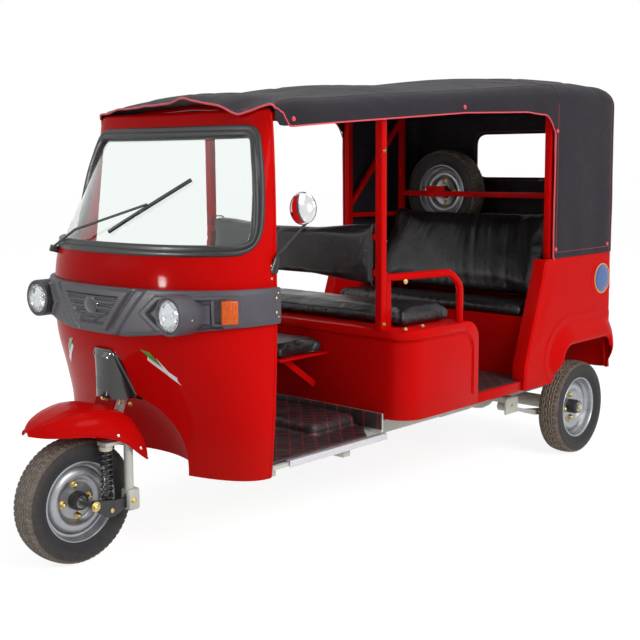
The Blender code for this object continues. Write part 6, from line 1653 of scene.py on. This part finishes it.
class RICKSHAW_OT_front_end(bpy.types.Operator):
    """Winds the coil springs and dresses the fork and swing arms"""
    bl_idname = "rickshaw.front_end"
    bl_label = "Front suspension"

    def execute(self, context):
        springs, seats, dampers = [], [], []
        for side, word in ((1, "left"), (-1, "right")):
            low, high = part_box("shock_" + word)
            centre = (low + high) / 2
            base, top = low.z, high.z
            turns, points = 8.2, []
            for k in range(int(turns * 14) + 1):
                angle = 2 * math.pi * k / 14
                share = k / (turns * 14)
                rise = 0.016 + (top - base - 0.040) * share
                points.append((centre.x + 0.0172 * math.cos(angle), centre.y + 0.0172 * math.sin(angle),
                               base + rise))
            springs.append(wire("coil_" + word, points, 0.0036, 3))
            tube = turned("tube", [(0.0125, base + 0.012), (0.0125, base + 0.075), (0.0105, base + 0.078),
                                   (0.0105, base + 0.095)], 24)
            rod = turned("rod", [(0.0050, base + 0.09), (0.0050, top - 0.012)], 20)
            foot = turned("foot", [(0.0150, base), (0.0205, base + 0.008), (0.0208, base + 0.013),
                                   (0.0140, base + 0.0145)], 32)
            ear = turned("ear", [(0.010, -0.012), (0.0105, -0.011), (0.0105, 0.011), (0.010, 0.012)], 24)
            ear.data.transform(turn_to((1, 0, 0), (0, 0, base + 0.004)))
            damper = joined("damper_" + word,
                            [smooth(tube, 40), smooth(rod, 40), smooth(foot, 40), smooth(ear, 40)])
            damper.data.transform(Matrix.Translation((centre.x, centre.y, 0)))
            dampers.append(damper)
            seat = smooth(turned("seat",
                                 [(0.0120, top - 0.020), (0.0205, top - 0.017), (0.0225, top - 0.010),
                                  (0.0215, top - 0.0035), (0.0150, top - 0.0005)], 36), 50)
            seat.data.transform(Matrix.Translation((centre.x, centre.y, 0)))
            seats.append(seat)
        settle(joined("coil_springs", springs), "black_plastic", "steering", ["shock_left", "shock_right"])
        settle(joined("dampers", dampers), "black_steel", "steering")
        settle(joined("spring_saucers", seats), "cream_plastic", "steering")

        refined("front_fork", "welded_fork", "frame_paint", "steering", 0.0022, 2, 40, 45)
        refined("swing_arms", "boxed_arms", "black_steel", "steering", 0.0018, 2, 40, 45)
        bolt = hex_bolt("bolt", 0.0072, 0.0075)
        nut = hex_bolt("nut", 0.0110, 0.0100)
        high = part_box("swing_arms")[1]
        fork_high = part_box("front_fork")[1]
        places = []
        for side in (1, -1):
            places.append((Vector((side * (fork_high.x - 0.0005), front(0.142), 0.194)), (side, 0, 0)))
            places.append((Vector((side * 0.1085, front(0.066), 0.176)), (side, 0, 0)))
        settle(joined("arm_bolts", [spread(bolt, places, "arm_bolts"),
                                    spread(nut,
                                           [(Vector((side * (high.x - 0.001), front(0.0), 0.205)),
                                             (side, 0, 0)) for side in (1, -1)], "spindle_nuts")]),
               "zinc_yellow", "steering")
        return {"FINISHED"}


# ---------------------------------------------------------------- seats

class RICKSHAW_OT_seats(bpy.types.Operator):
    """Fills and covers the cushions and backrests: swelled as cloth, then gathered, creased and piped"""
    bl_idname = "rickshaw.seats"
    bl_label = "Seats"

    def filled(self, name, node, inset, voxel, room, pressure=4.0):
        """A solid swelled as cloth under pressure.

        It is held within its box, grown by room: the low and high side of each axis."""
        item = merged_copy(node, name)
        low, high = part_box(node)
        middle, half = (low + high) / 2, (high - low) / 2
        smaller = Matrix.Diagonal([(h - inset) / h for h in half] + [1.0])
        item.data.transform(Matrix.Translation(middle) @ smaller @ Matrix.Translation(-middle))
        modify(item, "REMESH", mode="VOXEL", voxel_size=voxel)
        before = [vertex.co.copy() for vertex in item.data.vertices]
        only(item)
        cloth = item.modifiers.new("cloth", "CLOTH")
        cloth.settings.use_pressure = True
        cloth.settings.uniform_pressure_force = pressure
        cloth.settings.effector_weights.gravity = 0.0
        cloth.settings.quality = 4
        cloth.point_cache.frame_start, cloth.point_cache.frame_end = 1, 20
        scene = bpy.context.scene
        for step in range(1, 21):
            scene.frame_set(step)
        ready = item.evaluated_get(bpy.context.evaluated_depsgraph_get())
        after = [vertex.co.copy() for vertex in ready.data.vertices]
        item.modifiers.remove(cloth)
        scene.frame_set(1)
        cap = size("swell")
        spots = []
        for old, new in zip(before, after):
            move = new - old
            if move.length > cap:
                move *= cap / move.length
            spot = old + move
            for axis in range(3):
                lowest, highest = low[axis] - room[axis][0], high[axis] + room[axis][1]
                spot[axis] = min(max(spot[axis], lowest), highest)
            spots.extend(spot)
        item.data.vertices.foreach_set("co", spots)
        item.data.update()
        modify(item, "SMOOTH", factor=0.5, iterations=3)
        return item

    def worked(self, item, shape):
        """One subdivision, then shape(spot, normal) gives how far each point stands out."""
        modify(item, "SUBSURF", levels=1)
        mesh = item.data
        moved = []
        for vertex in mesh.vertices:
            moved.extend(vertex.co + vertex.normal * shape(vertex.co, vertex.normal))
        mesh.vertices.foreach_set("co", moved)
        mesh.update()
        return smooth(item, 70)

    def cushion(self, name, node, inset, voxel, room, shape, fill, pressure=4.0):
        """Swells, shapes and covers one cushion."""
        item = self.worked(self.filled(name, node, inset, voxel, room, pressure), shape)
        settle(item, "black_leather", "vehicle", [node])

    def creases(self, spot, seed, across, along, depth):
        """Fine creases that run one way."""
        value = noise.noise(Vector((spot.x * across + seed, spot.y * along, spot.z * along)))
        return -depth * (1 - step_up(abs(value), 0.0, 0.22))

    def execute(self, context):
        low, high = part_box("middle_cushion")

        def bench(spot, normal):
            top = step_up(normal.z, 0.4, 0.9)
            edge = min(spot.x - low.x, high.x - spot.x, spot.y - low.y, high.y - spot.y)
            corner = step_up(abs(spot.x), 0.44, 0.49)
            value = 0.0018 * top * noise.noise(Vector((spot.x * 5, spot.y * 9, 1.0)))
            value += self.creases(spot, 3.0, 16.0, 42.0,
                                  0.0022) * (0.35 + 0.65 * step_up(-edge, -0.06, -0.01))
            value += self.creases(spot, 8.0, 60.0, 12.0, 0.0020) * step_up(-abs(normal.z), -0.5, -0.1)
            value -= 0.0030 * hump(spot.z, low.z + 0.010, 0.005) * step_up(-abs(normal.z), -0.7, -0.3)
            return value + 0.002 * corner * top
        self.cushion("bench_cushion", "middle_cushion", 0.007, 0.0110,
                     ((0.003, 0.003), (0.003, 0.003), (0.0, 0.014)), bench, 0.7)

        seat_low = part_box("driver_cushion")[0]

        def saddle(spot, normal):
            value = self.creases(spot, 5.0, 45.0, 14.0, 0.0024) * step_up(-abs(normal.z), -0.6, -0.1)
            value += 0.0012 * noise.noise(Vector((spot.x * 12, spot.y * 12, 2.0)))
            value -= 0.0028 * hump(spot.z, seat_low.z + 0.009, 0.004) * step_up(-abs(normal.z), -0.7, -0.3)
            return value
        self.cushion("driver_saddle", "driver_cushion", 0.006, 0.0065,
                     ((0.003, 0.003), (0.003, 0.0), (0.0, 0.010)), saddle, 0.65)

        rear_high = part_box("rear_cushion")[1]

        def back_bench(spot, normal):
            value = self.creases(spot, 11.0, 26.0, 20.0, 0.0022)
            fold = step_up(abs(spot.x), rear_high.x - 0.07, rear_high.x - 0.01)
            value += 0.0035 * fold * noise.noise(Vector((spot.x * 40, spot.y * 20, spot.z * 60)))
            return value
        self.cushion("rear_bench_cushion", "rear_cushion", 0.006, 0.0095,
                     ((0.003, 0.003), (0.004, 0.0), (0.0, 0.004)), back_bench, 0.6)

        back_low, back_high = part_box("middle_backrest")

        def backrest(spot, normal):
            height = (spot.z - back_low.z) / (back_high.z - back_low.z)
            end = step_up(abs(spot.x), 0.30, 0.42)
            value = 0.0014 * noise.noise(Vector((spot.x * 4, spot.z * 6, 3.0)))
            value += self.creases(spot, 2.0, 24.0, 18.0, 0.0030) * end * step_up(-height, -0.55, -0.05)
            seam = hump(abs(spot.x), back_high.x - 0.012, 0.0045)
            value -= 0.0030 * seam * step_up(abs(normal.y), 0.4, 0.8)
            return value
        self.cushion("front_backrest", "middle_backrest", 0.005, 0.0105,
                     ((0.002, 0.002), (0.010, 0.008), (0.003, 0.003)), backrest, 0.75, 1.2)
        cords = []
        for side in (1, -1):
            ring = evenly(rounded([(back_low.y - 0.004, back_low.z + 0.001),
                                   (back_high.y + 0.004, back_low.z + 0.001),
                                   (back_high.y + 0.004, back_high.z - 0.001),
                                   (back_low.y - 0.004, back_high.z - 0.001)], 0.026), 60)
            cords.append(wire("cord", [(side * (back_high.x - 0.0065), p.x, p.y) for p in ring], 0.0026, 3,
                              closed=True))
        settle(joined("backrest_piping", cords), "black_leather", "vehicle")

        pad_low, pad_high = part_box("rear_backrest")

        def gathered(spot, normal):
            height = (spot.z - pad_low.z) / (pad_high.z - pad_low.z)
            ahead = step_up(-normal.y, 0.0, 0.5)
            lean = spot.x + 0.10 * (height - 0.5) * math.copysign(1.0, spot.x)
            upper = step_up(height, 0.42, 0.98)
            lower = step_up(-height, -0.42, -0.03)
            stripes = 1 - 2 * abs(noise.noise(Vector((lean * 17, 0.4, height * 0.8))))
            stripes += 0.5 * noise.noise(Vector((lean * 36, 5.0, height * 1.3)))
            stripes += 0.8 * noise.noise(Vector((spot.x * 19 + 7, 2.0, height * 0.7))) * lower
            value = 0.0066 * stripes * (0.80 * upper + 0.65 * lower + 0.12) * ahead
            value += 0.012 * hump(height, 0.42, 0.60) * ahead
            return value + 0.0015 * noise.noise(spot * 9.0)
        self.cushion("gathered_backrest", "rear_backrest", 0.006, 0.0125,
                     ((0.003, 0.003), (0.010, 0.0), (0.0, 0.006)), gathered, 0.7)
        return {"FINISHED"}


# ---------------------------------------------------------------- rear body

# Where the round badge sits on the rear quarter.
BADGE = (1.196, 0.776)


class RICKSHAW_OT_rear_body(bpy.types.Operator):
    """Presses the rear quarter panels with their bulging arches, and adds the plain round badge"""
    bl_idname = "rickshaw.rear_body"
    bl_label = "Rear body"

    def execute(self, context):
        half, bottom, top = 0.580, 0.365, 0.888
        body = merged_copy("rear_body", "rear_box")
        pick(body, lambda face: abs(face.calc_center_median().x) > half - 0.0012)
        bpy.ops.mesh.delete(type="FACE")
        done(body)
        modify(body, "BEVEL", width=0.003, segments=2, limit_method="ANGLE", angle_limit=math.radians(50))
        settle(smooth(body, 40), "red_paint", "vehicle", ["rear_body"])

        arch = rounded([(0.780, 0.315), (0.875, 0.520), (1.248, 0.520), (1.288, 0.315)],
                       [0.01, 0.090, 0.063, 0.01], 10)[11:33]
        slant = [(0.574, 0.265), (0.582, 0.465), (0.708, 0.818), (0.742, 0.920)]

        def to_arch(y, z):
            best = 1.0
            for (a, b), (c, d) in zip(arch, arch[1:]):
                run = Vector((c - a, d - b))
                t = min(1.0, max(0.0, Vector((y - a, z - b)).dot(run) / max(run.length_squared, 1e-9)))
                best = min(best, math.hypot(a + run.x * t - y, b + run.y * t - z))
            return best

        def front_line(z):
            for (a, b), (c, d) in zip(slant, slant[1:]):
                if z <= d:
                    return a + (c - a) * (z - b) / (d - b)
            return slant[-1][0]
        rear_edge, roll, corner = 1.315, 0.022, 0.055
        across, along = 112, 72
        panels, badges, rings = [], [], []
        for side in (1, -1):
            def place(i, j):
                z = bottom + (top - bottom) * j / along
                begin = front_line(z)
                if i <= 8:
                    angle = math.pi / 2 * i / 8
                    y, dip = begin + roll * (1 - math.cos(angle)), roll * (1 - math.sin(angle))
                elif i >= across - 10:
                    angle = math.pi / 2 * (i - across + 10) / 10
                    y = rear_edge + 0.0008 - corner * (1 - math.sin(angle))
                    dip = corner * (1 - math.cos(angle))
                else:
                    y = begin + roll + (rear_edge + 0.0008 - corner - begin - roll) * (i - 8) / (across - 18)
                    dip = 0.0
                reach = to_arch(y, z)
                bulge = 0.030 * max(0.0,
                                    1 - (reach / 0.078) ** 1.7) - 0.010 * (1 - min(1.0, reach / 0.011)) ** 2
                bulge += 0.0030 * hump(reach, 0.112, 0.012) + 0.002 * step_up(-reach, -0.112, -0.100)
                bulge *= step_up(-y, -rear_edge - 0.001, -rear_edge + 0.030) if y > 1.26 else 1.0
                bulge += 0.0018 * hump(math.hypot(y - BADGE[0], z - BADGE[1]), 0.084, 0.010)
                belly = 0.004 * math.sin(math.pi * min(1.0, max(0.0, (z - 0.5) / 0.388)))
                belly *= step_up(-dip, -0.004, 0.0)
                return (side * (half + 0.0010 - dip + bulge + belly
                                * step_up(y, begin + 0.02, begin + 0.10)), y, z)
            panel = net("quarter_panel", across, along, place)
            outward(panel)
            if sum(face.normal.x for face in panel.data.polygons) * side < 0:
                panel.data.flip_normals()
            modify(panel, "SOLIDIFY", thickness=0.0035, offset=-1.0)
            opening = [(0.755, 0.30), *arch, (1.30, 0.30)]
            carve(panel, "DIFFERENCE", prism("arch", opening, -0.75, 0.75))
            panels.append(smooth(panel, 40))
            lip = [(side * (half + 0.0205), y, z) for y, z in arch if z > bottom + 0.004]
            panels.append(wire("arch_lip", lip, 0.0042, 3))
            disc = turned("disc", [(0.0610, 0.0), (0.0610, 0.0012), (0.0590, 0.0028), (0.040, 0.0040),
                                   (0.0005, 0.0045)], 64)
            disc.data.transform(turn_to((side, 0, 0), (side * (half + 0.0052), *BADGE)))
            badges.append(smooth(disc, 50))
            ring = turned("ring", [(0.0605, 0.0), (0.0605, 0.0026), (0.0630, 0.0036), (0.0665, 0.0028),
                                   (0.0672, 0.0)], 64, close=False)
            ring.data.transform(turn_to((side, 0, 0), (side * (half + 0.0052), *BADGE)))
            rings.append(smooth(outward(ring), 50))
        settle(joined("quarter_panels", panels), "red_paint", "vehicle")
        settle(joined("round_badges", badges), "blue_film", "vehicle")
        settle(joined("badge_rings", rings), "gold_film", "vehicle")
        return {"FINISHED"}


# ---------------------------------------------------------------- frame, floors and fittings

class RICKSHAW_OT_hardware(bpy.types.Operator):
    """Softens the edges of the frame, boxes and fittings, and adds mats, sill, rim lines, bolts and lamps"""
    bl_idname = "rickshaw.hardware"
    bl_label = "Frame and fittings"

    PARTS = (
        ("roof_frame", "welded_roof_frame", "red_paint", 0.0030),
        ("handrail_left", "left_grab_rail", "red_paint", 0.0015),
        ("handrail_right", "right_grab_rail", "red_paint", 0.0015),
        ("seat_box", "moulded_seat_box", "red_paint", 0.0040),
        ("driver_seat_plate", "saddle_plate", "red_paint", 0.0040),
        ("front_floor", "pressed_front_floor", "frame_paint", 0.0020),
        ("rear_floor", "pressed_rear_floor", "red_paint", 0.0025),
        ("chassis_frame", "welded_chassis", "frame_paint", 0.0025),
        ("rear_axle", "axle_and_springs", "frame_paint", 0.0018),
        ("rear_bumper", "rounded_bumper", "black_plastic", 0.0080),
        ("tail_lamp_left", "left_tail_lens", "red_lens", 0.0050),
        ("tail_lamp_right", "right_tail_lens", "red_lens", 0.0050),
        ("dash_panel", "dash_shelf", "bar_plastic", 0.0030),
        ("battery_block", "battery_pack", "battery_case", 0.0040),
        ("wiper", "wiper_arm", "black_steel", 0.0006),
    )

    def mat(self, node, name, voxel, depth):
        """Quilted mat: puffed between rows of stitches that cross at right angles."""
        item = modify(merged_copy(node, name), "REMESH", mode="VOXEL", voxel_size=voxel)
        row = size("quilt")
        moved = []
        for vertex in item.data.vertices:
            spot = vertex.co
            u, v = (spot.x - spot.y) / math.sqrt(2), (spot.x + spot.y) / math.sqrt(2)
            puff = min(1.0, abs(math.sin(math.pi * u / row))) ** 0.5
            puff *= min(1.0, abs(math.sin(math.pi * v / row))) ** 0.5
            moved.extend(spot + Vector((0, 0, 1)) * (depth * (puff - 0.35))
                         * step_up(vertex.normal.z, 0.3, 0.8))
        item.data.vertices.foreach_set("co", moved)
        item.data.update()
        return settle(smooth(item, 75), "quilted_vinyl", "vehicle", [node])

    def execute(self, context):
        for node, name, finish, bevel in self.PARTS:
            refined(node, name, finish, "vehicle", bevel)
        refined("handlebar", "steering_bar", "black_steel", "steering", 0.0010)
        self.mat("front_mat", "front_quilted_mat", 0.0064, 0.0042)
        self.mat("rear_mat", "rear_quilted_mat", 0.0064, 0.0036)

        sills = []
        for side in (1, -1):
            strip = block("sill", (side * 0.4935, -0.452, 0.3215), (0.022, 0.50, 0.0060), 0.0018, 3)
            skirt = block("skirt", (side * 0.5032, -0.452, 0.3125), (0.0030, 0.50, 0.022), 0.0010)
            sills += [smooth(strip, 40), smooth(skirt, 40)]
        settle(joined("door_sills", sills), "brushed_aluminium", "vehicle")

        apron = block("riser_apron", (0, -0.1945, 0.3585), (0.944, 0.0080, 0.0600), 0.0030, 3)
        settle(smooth(apron, 40), "quilted_vinyl", "vehicle")

        half, ahead, behind, rim, bend = 0.5735, front(1.013) - 0.0005, front(1.457), 0.692, 0.075
        lines = []
        for lower, grow in ((0.0345, 0.0004), (0.0420, 0.0002)):
            out, back, level = half + grow, behind - lower, rim - lower
            plan = rounded([(-out, behind - bend), (-out, ahead), (out, ahead), (out, behind - bend)],
                           [0.001, 0.095, 0.095, 0.001], 12)[13:39]
            angles = [math.pi / 2 * k / 10 for k in range(11)]
            tail = [(back - bend * (1 - math.sin(angle)), level - bend * (1 - math.cos(angle)))
                    for angle in angles]
            tail += [(back, z) for z in (0.55, 0.50, 0.45, 0.41)]
            path = [(-out, *spot) for spot in reversed(tail)] + [(x, y, level) for x, y in plan]
            path += [(out, *spot) for spot in tail]
            lines.append(wire("rim_line", path, 0.0017, 2, smooth_path=False))
        settle(joined("seat_box_rim_lines", lines), "red_paint", "vehicle")

        bolt = hex_bolt("bolt", 0.0060, 0.0055)
        places = []
        for side in (1, -1):
            for y, z in ((-0.158, 0.700), (-0.158, 0.870), (0.168, 0.7005), (-0.060, 0.7005)):
                places.append(((side * 0.5500, y, z), (side * 0.4, -0.1, 1) if z < 0.72 else (side, -0.3, 0)))
            places.append(((side * 0.4660, -0.176, 0.712), (0, -1, 0)))
            places.append(((side * 0.4660, -0.176, 1.330), (0, -1, 0)))
            places.append(((side * 0.5660, 0.815, 0.905), (side, 0, 0)))
        settle(spread(bolt, places, "frame_bolts"), "zinc_yellow", "vehicle")

        self.mirror()
        self.lamps()
        self.meter_hood()
        self.spring_shackles()
        return {"FINISHED"}

    def mirror(self):
        """Convex mirror in a chromed shell on a black stalk with a rubber boot."""
        centre = Vector((0.556, front(0.50), 1.146))
        shell = turned("shell", [(0.0500, 0.0060), (0.0520, 0.0035), (0.0525, 0.0), (0.0490, -0.010),
                                 (0.036, -0.0195), (0.018, -0.0245), (0.004, -0.0260)], 56)
        glass = turned("glass", [(0.0498, 0.0045), (0.042, 0.0075), (0.030, 0.0100), (0.015, 0.0118),
                                 (0.001, 0.0122)], 56)
        both = joined("mirror_shell", [smooth(shell, 50), smooth(glass, 50)])
        both.data.transform(turn_to((0.05, -1, 0.02), centre))
        settle(both, "chrome_plate", "vehicle", ["mirror_left"])
        edge = between(CAB_FORM, 0.985)[1]
        foot = Vector((0.4880, front(edge) - 0.012, 0.955))
        knee = foot + Vector((0.008, 0.004, 0.042))
        head = centre + Vector((-0.003, 0.019, -0.046))
        path = [foot, knee] + [knee.lerp(head, share)
                               for share in (0.12, 0.5, 0.88)] + [head, centre + Vector((0, 0.017, -0.022))]
        stalk = wire("stalk", path, 0.0042, 3)
        settle(stalk, "black_steel", "vehicle").name = "mirror_stalk"
        boot = smooth(turned("boot", [(0.0135, -0.012), (0.0145, 0.0), (0.0120, 0.012), (0.0125, 0.016),
                                      (0.0095, 0.028), (0.0100, 0.032), (0.0062, 0.044)], 28), 40)
        boot.data.transform(turn_to((0.30, 0.08, 1), foot))
        settle(boot, "black_rubber", "vehicle").name = "mirror_boot"

    def lamps(self):
        """Black frames round the tail lamps, and a plain plate between them."""
        frames = []
        for word in ("left", "right"):
            low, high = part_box("tail_lamp_" + word)
            outline = evenly(rounded([(low.x - 0.005, low.z - 0.005), (high.x + 0.005, low.z - 0.005),
                                      (high.x + 0.005, high.z + 0.005), (low.x - 0.005, high.z + 0.005)],
                                      0.012, 6), 60)
            frames.append(sweep("frame", outline,
                                [(0.0, 0.0), (0.0005, 0.009), (0.003, 0.012), (0.006, 0.011), (0.0065, 0.0)],
                                lambda spot, depth: (spot.x, low.y + depth, spot.y)))
        settle(joined("tail_lamp_frames", [smooth(item, 45) for item in frames]), "black_plastic", "vehicle")
        plate = block("blank_plate", (0, 1.3190, 0.500), (0.26, 0.003, 0.13), 0.0012)
        settle(smooth(plate, 40), "white_film", "vehicle")

    def meter_hood(self):
        """The meter's round hood and face on the shelf."""
        meter = turned("meter", [(0.0385, -0.020), (0.0400, 0.0), (0.0392, 0.006), (0.0365, 0.0075),
                                 (0.0350, 0.0040), (0.0010, 0.0040)], 48)
        dash_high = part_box("dash_panel")[1]
        meter.data.transform(turn_to((0, 0.75, 1), (0.0, dash_high.y - 0.060, dash_high.z - 0.026)))
        settle(smooth(meter, 40), "black_plastic", "vehicle").name = "meter_hood"

    def spring_shackles(self):
        """Bolts at both hangers of each leaf spring."""
        places = [((side * 0.4440, rear(back), 0.262), (side, 0, 0)) for back in (-0.400, 0.185)
                  for side in (1, -1)]
        settle(spread(hex_bolt("bolt", 0.0085, 0.0080), places, "shackle_bolts"), "zinc_yellow", "vehicle")


# ---------------------------------------------------------------- solids that are shown

NODE_FINISH = {
    "red_paint": "cab_shell seat_box driver_seat_plate handrail_left handrail_right roof_frame rear_body rear_floor "
                 "front_mudguard",
    "screen_glass": "windscreen_glass", "black_rubber": "windscreen_rubber",
    "black_steel": "wiper rear_axle swing_arms shock_left shock_right handlebar",
    "bar_plastic": "lamp_bar dash_panel", "clear_lens": "headlamp_left headlamp_right",
    "amber_lens": "turn_signal_left turn_signal_right", "black_plastic": "steering_cover rear_bumper",
    "chrome_plate": "mirror_left", "frame_paint": "front_floor chassis_frame front_fork",
    "quilted_vinyl": "front_mat rear_mat", "battery_case": "battery_block",
    "black_leather": "driver_cushion middle_cushion middle_backrest rear_cushion rear_backrest",
    "black_canvas": "canopy", "red_lens": "tail_lamp_left tail_lamp_right",
    "tyre_rubber": "spare_tyre front_tyre rear_tyre_left rear_tyre_right",
    "rim_silver": "spare_rim front_rim rear_rim_left rear_rim_right",
}


class RICKSHAW_OT_solids(bpy.types.Operator):
    """Gives every solid of the frame its finish"""
    bl_idname = "rickshaw.solids"
    bl_label = "Finish the solids"

    def execute(self, context):
        for finish, nodes in NODE_FINISH.items():
            for node in nodes.split():
                NODES[node].data.materials.clear()
                NODES[node].data.materials.append(material_of(finish))
        return {"FINISHED"}


OPERATORS = (RICKSHAW_OT_stage, RICKSHAW_OT_solids, RICKSHAW_OT_cab, RICKSHAW_OT_lamp_bar, RICKSHAW_OT_nose,
             RICKSHAW_OT_canopy, RICKSHAW_OT_wheels, RICKSHAW_OT_front_end, RICKSHAW_OT_seats,
             RICKSHAW_OT_rear_body, RICKSHAW_OT_hardware)
GROUPS = (RickshawColours, RickshawSizes)


class RICKSHAW_PT_panel(bpy.types.Panel):
    """Lists the steps that dress the rickshaw"""
    bl_idname = "RICKSHAW_PT_panel"
    bl_label = "Rickshaw"
    bl_space_type = "VIEW_3D"
    bl_region_type = "UI"
    bl_category = "Rickshaw"

    def draw(self, context):
        for group in (context.scene.rickshaw_colours, context.scene.rickshaw_sizes):
            for name in group.__annotations__:
                self.layout.prop(group, name)
        for step in OPERATORS:
            self.layout.operator(step.bl_idname)


def register():
    for item in (*GROUPS, *OPERATORS, RICKSHAW_PT_panel):
        bpy.utils.register_class(item)
    bpy.types.Scene.rickshaw_colours = bpy.props.PointerProperty(type=RickshawColours)
    bpy.types.Scene.rickshaw_sizes = bpy.props.PointerProperty(type=RickshawSizes)


def unregister():
    del bpy.types.Scene.rickshaw_sizes
    del bpy.types.Scene.rickshaw_colours
    for item in reversed((*GROUPS, *OPERATORS, RICKSHAW_PT_panel)):
        bpy.utils.unregister_class(item)


def main():
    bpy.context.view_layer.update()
    register()
    for step in OPERATORS:
        family, word = step.bl_idname.split(".")
        getattr(getattr(bpy.ops, family), word)()


if __name__ == "__main__":
    main()
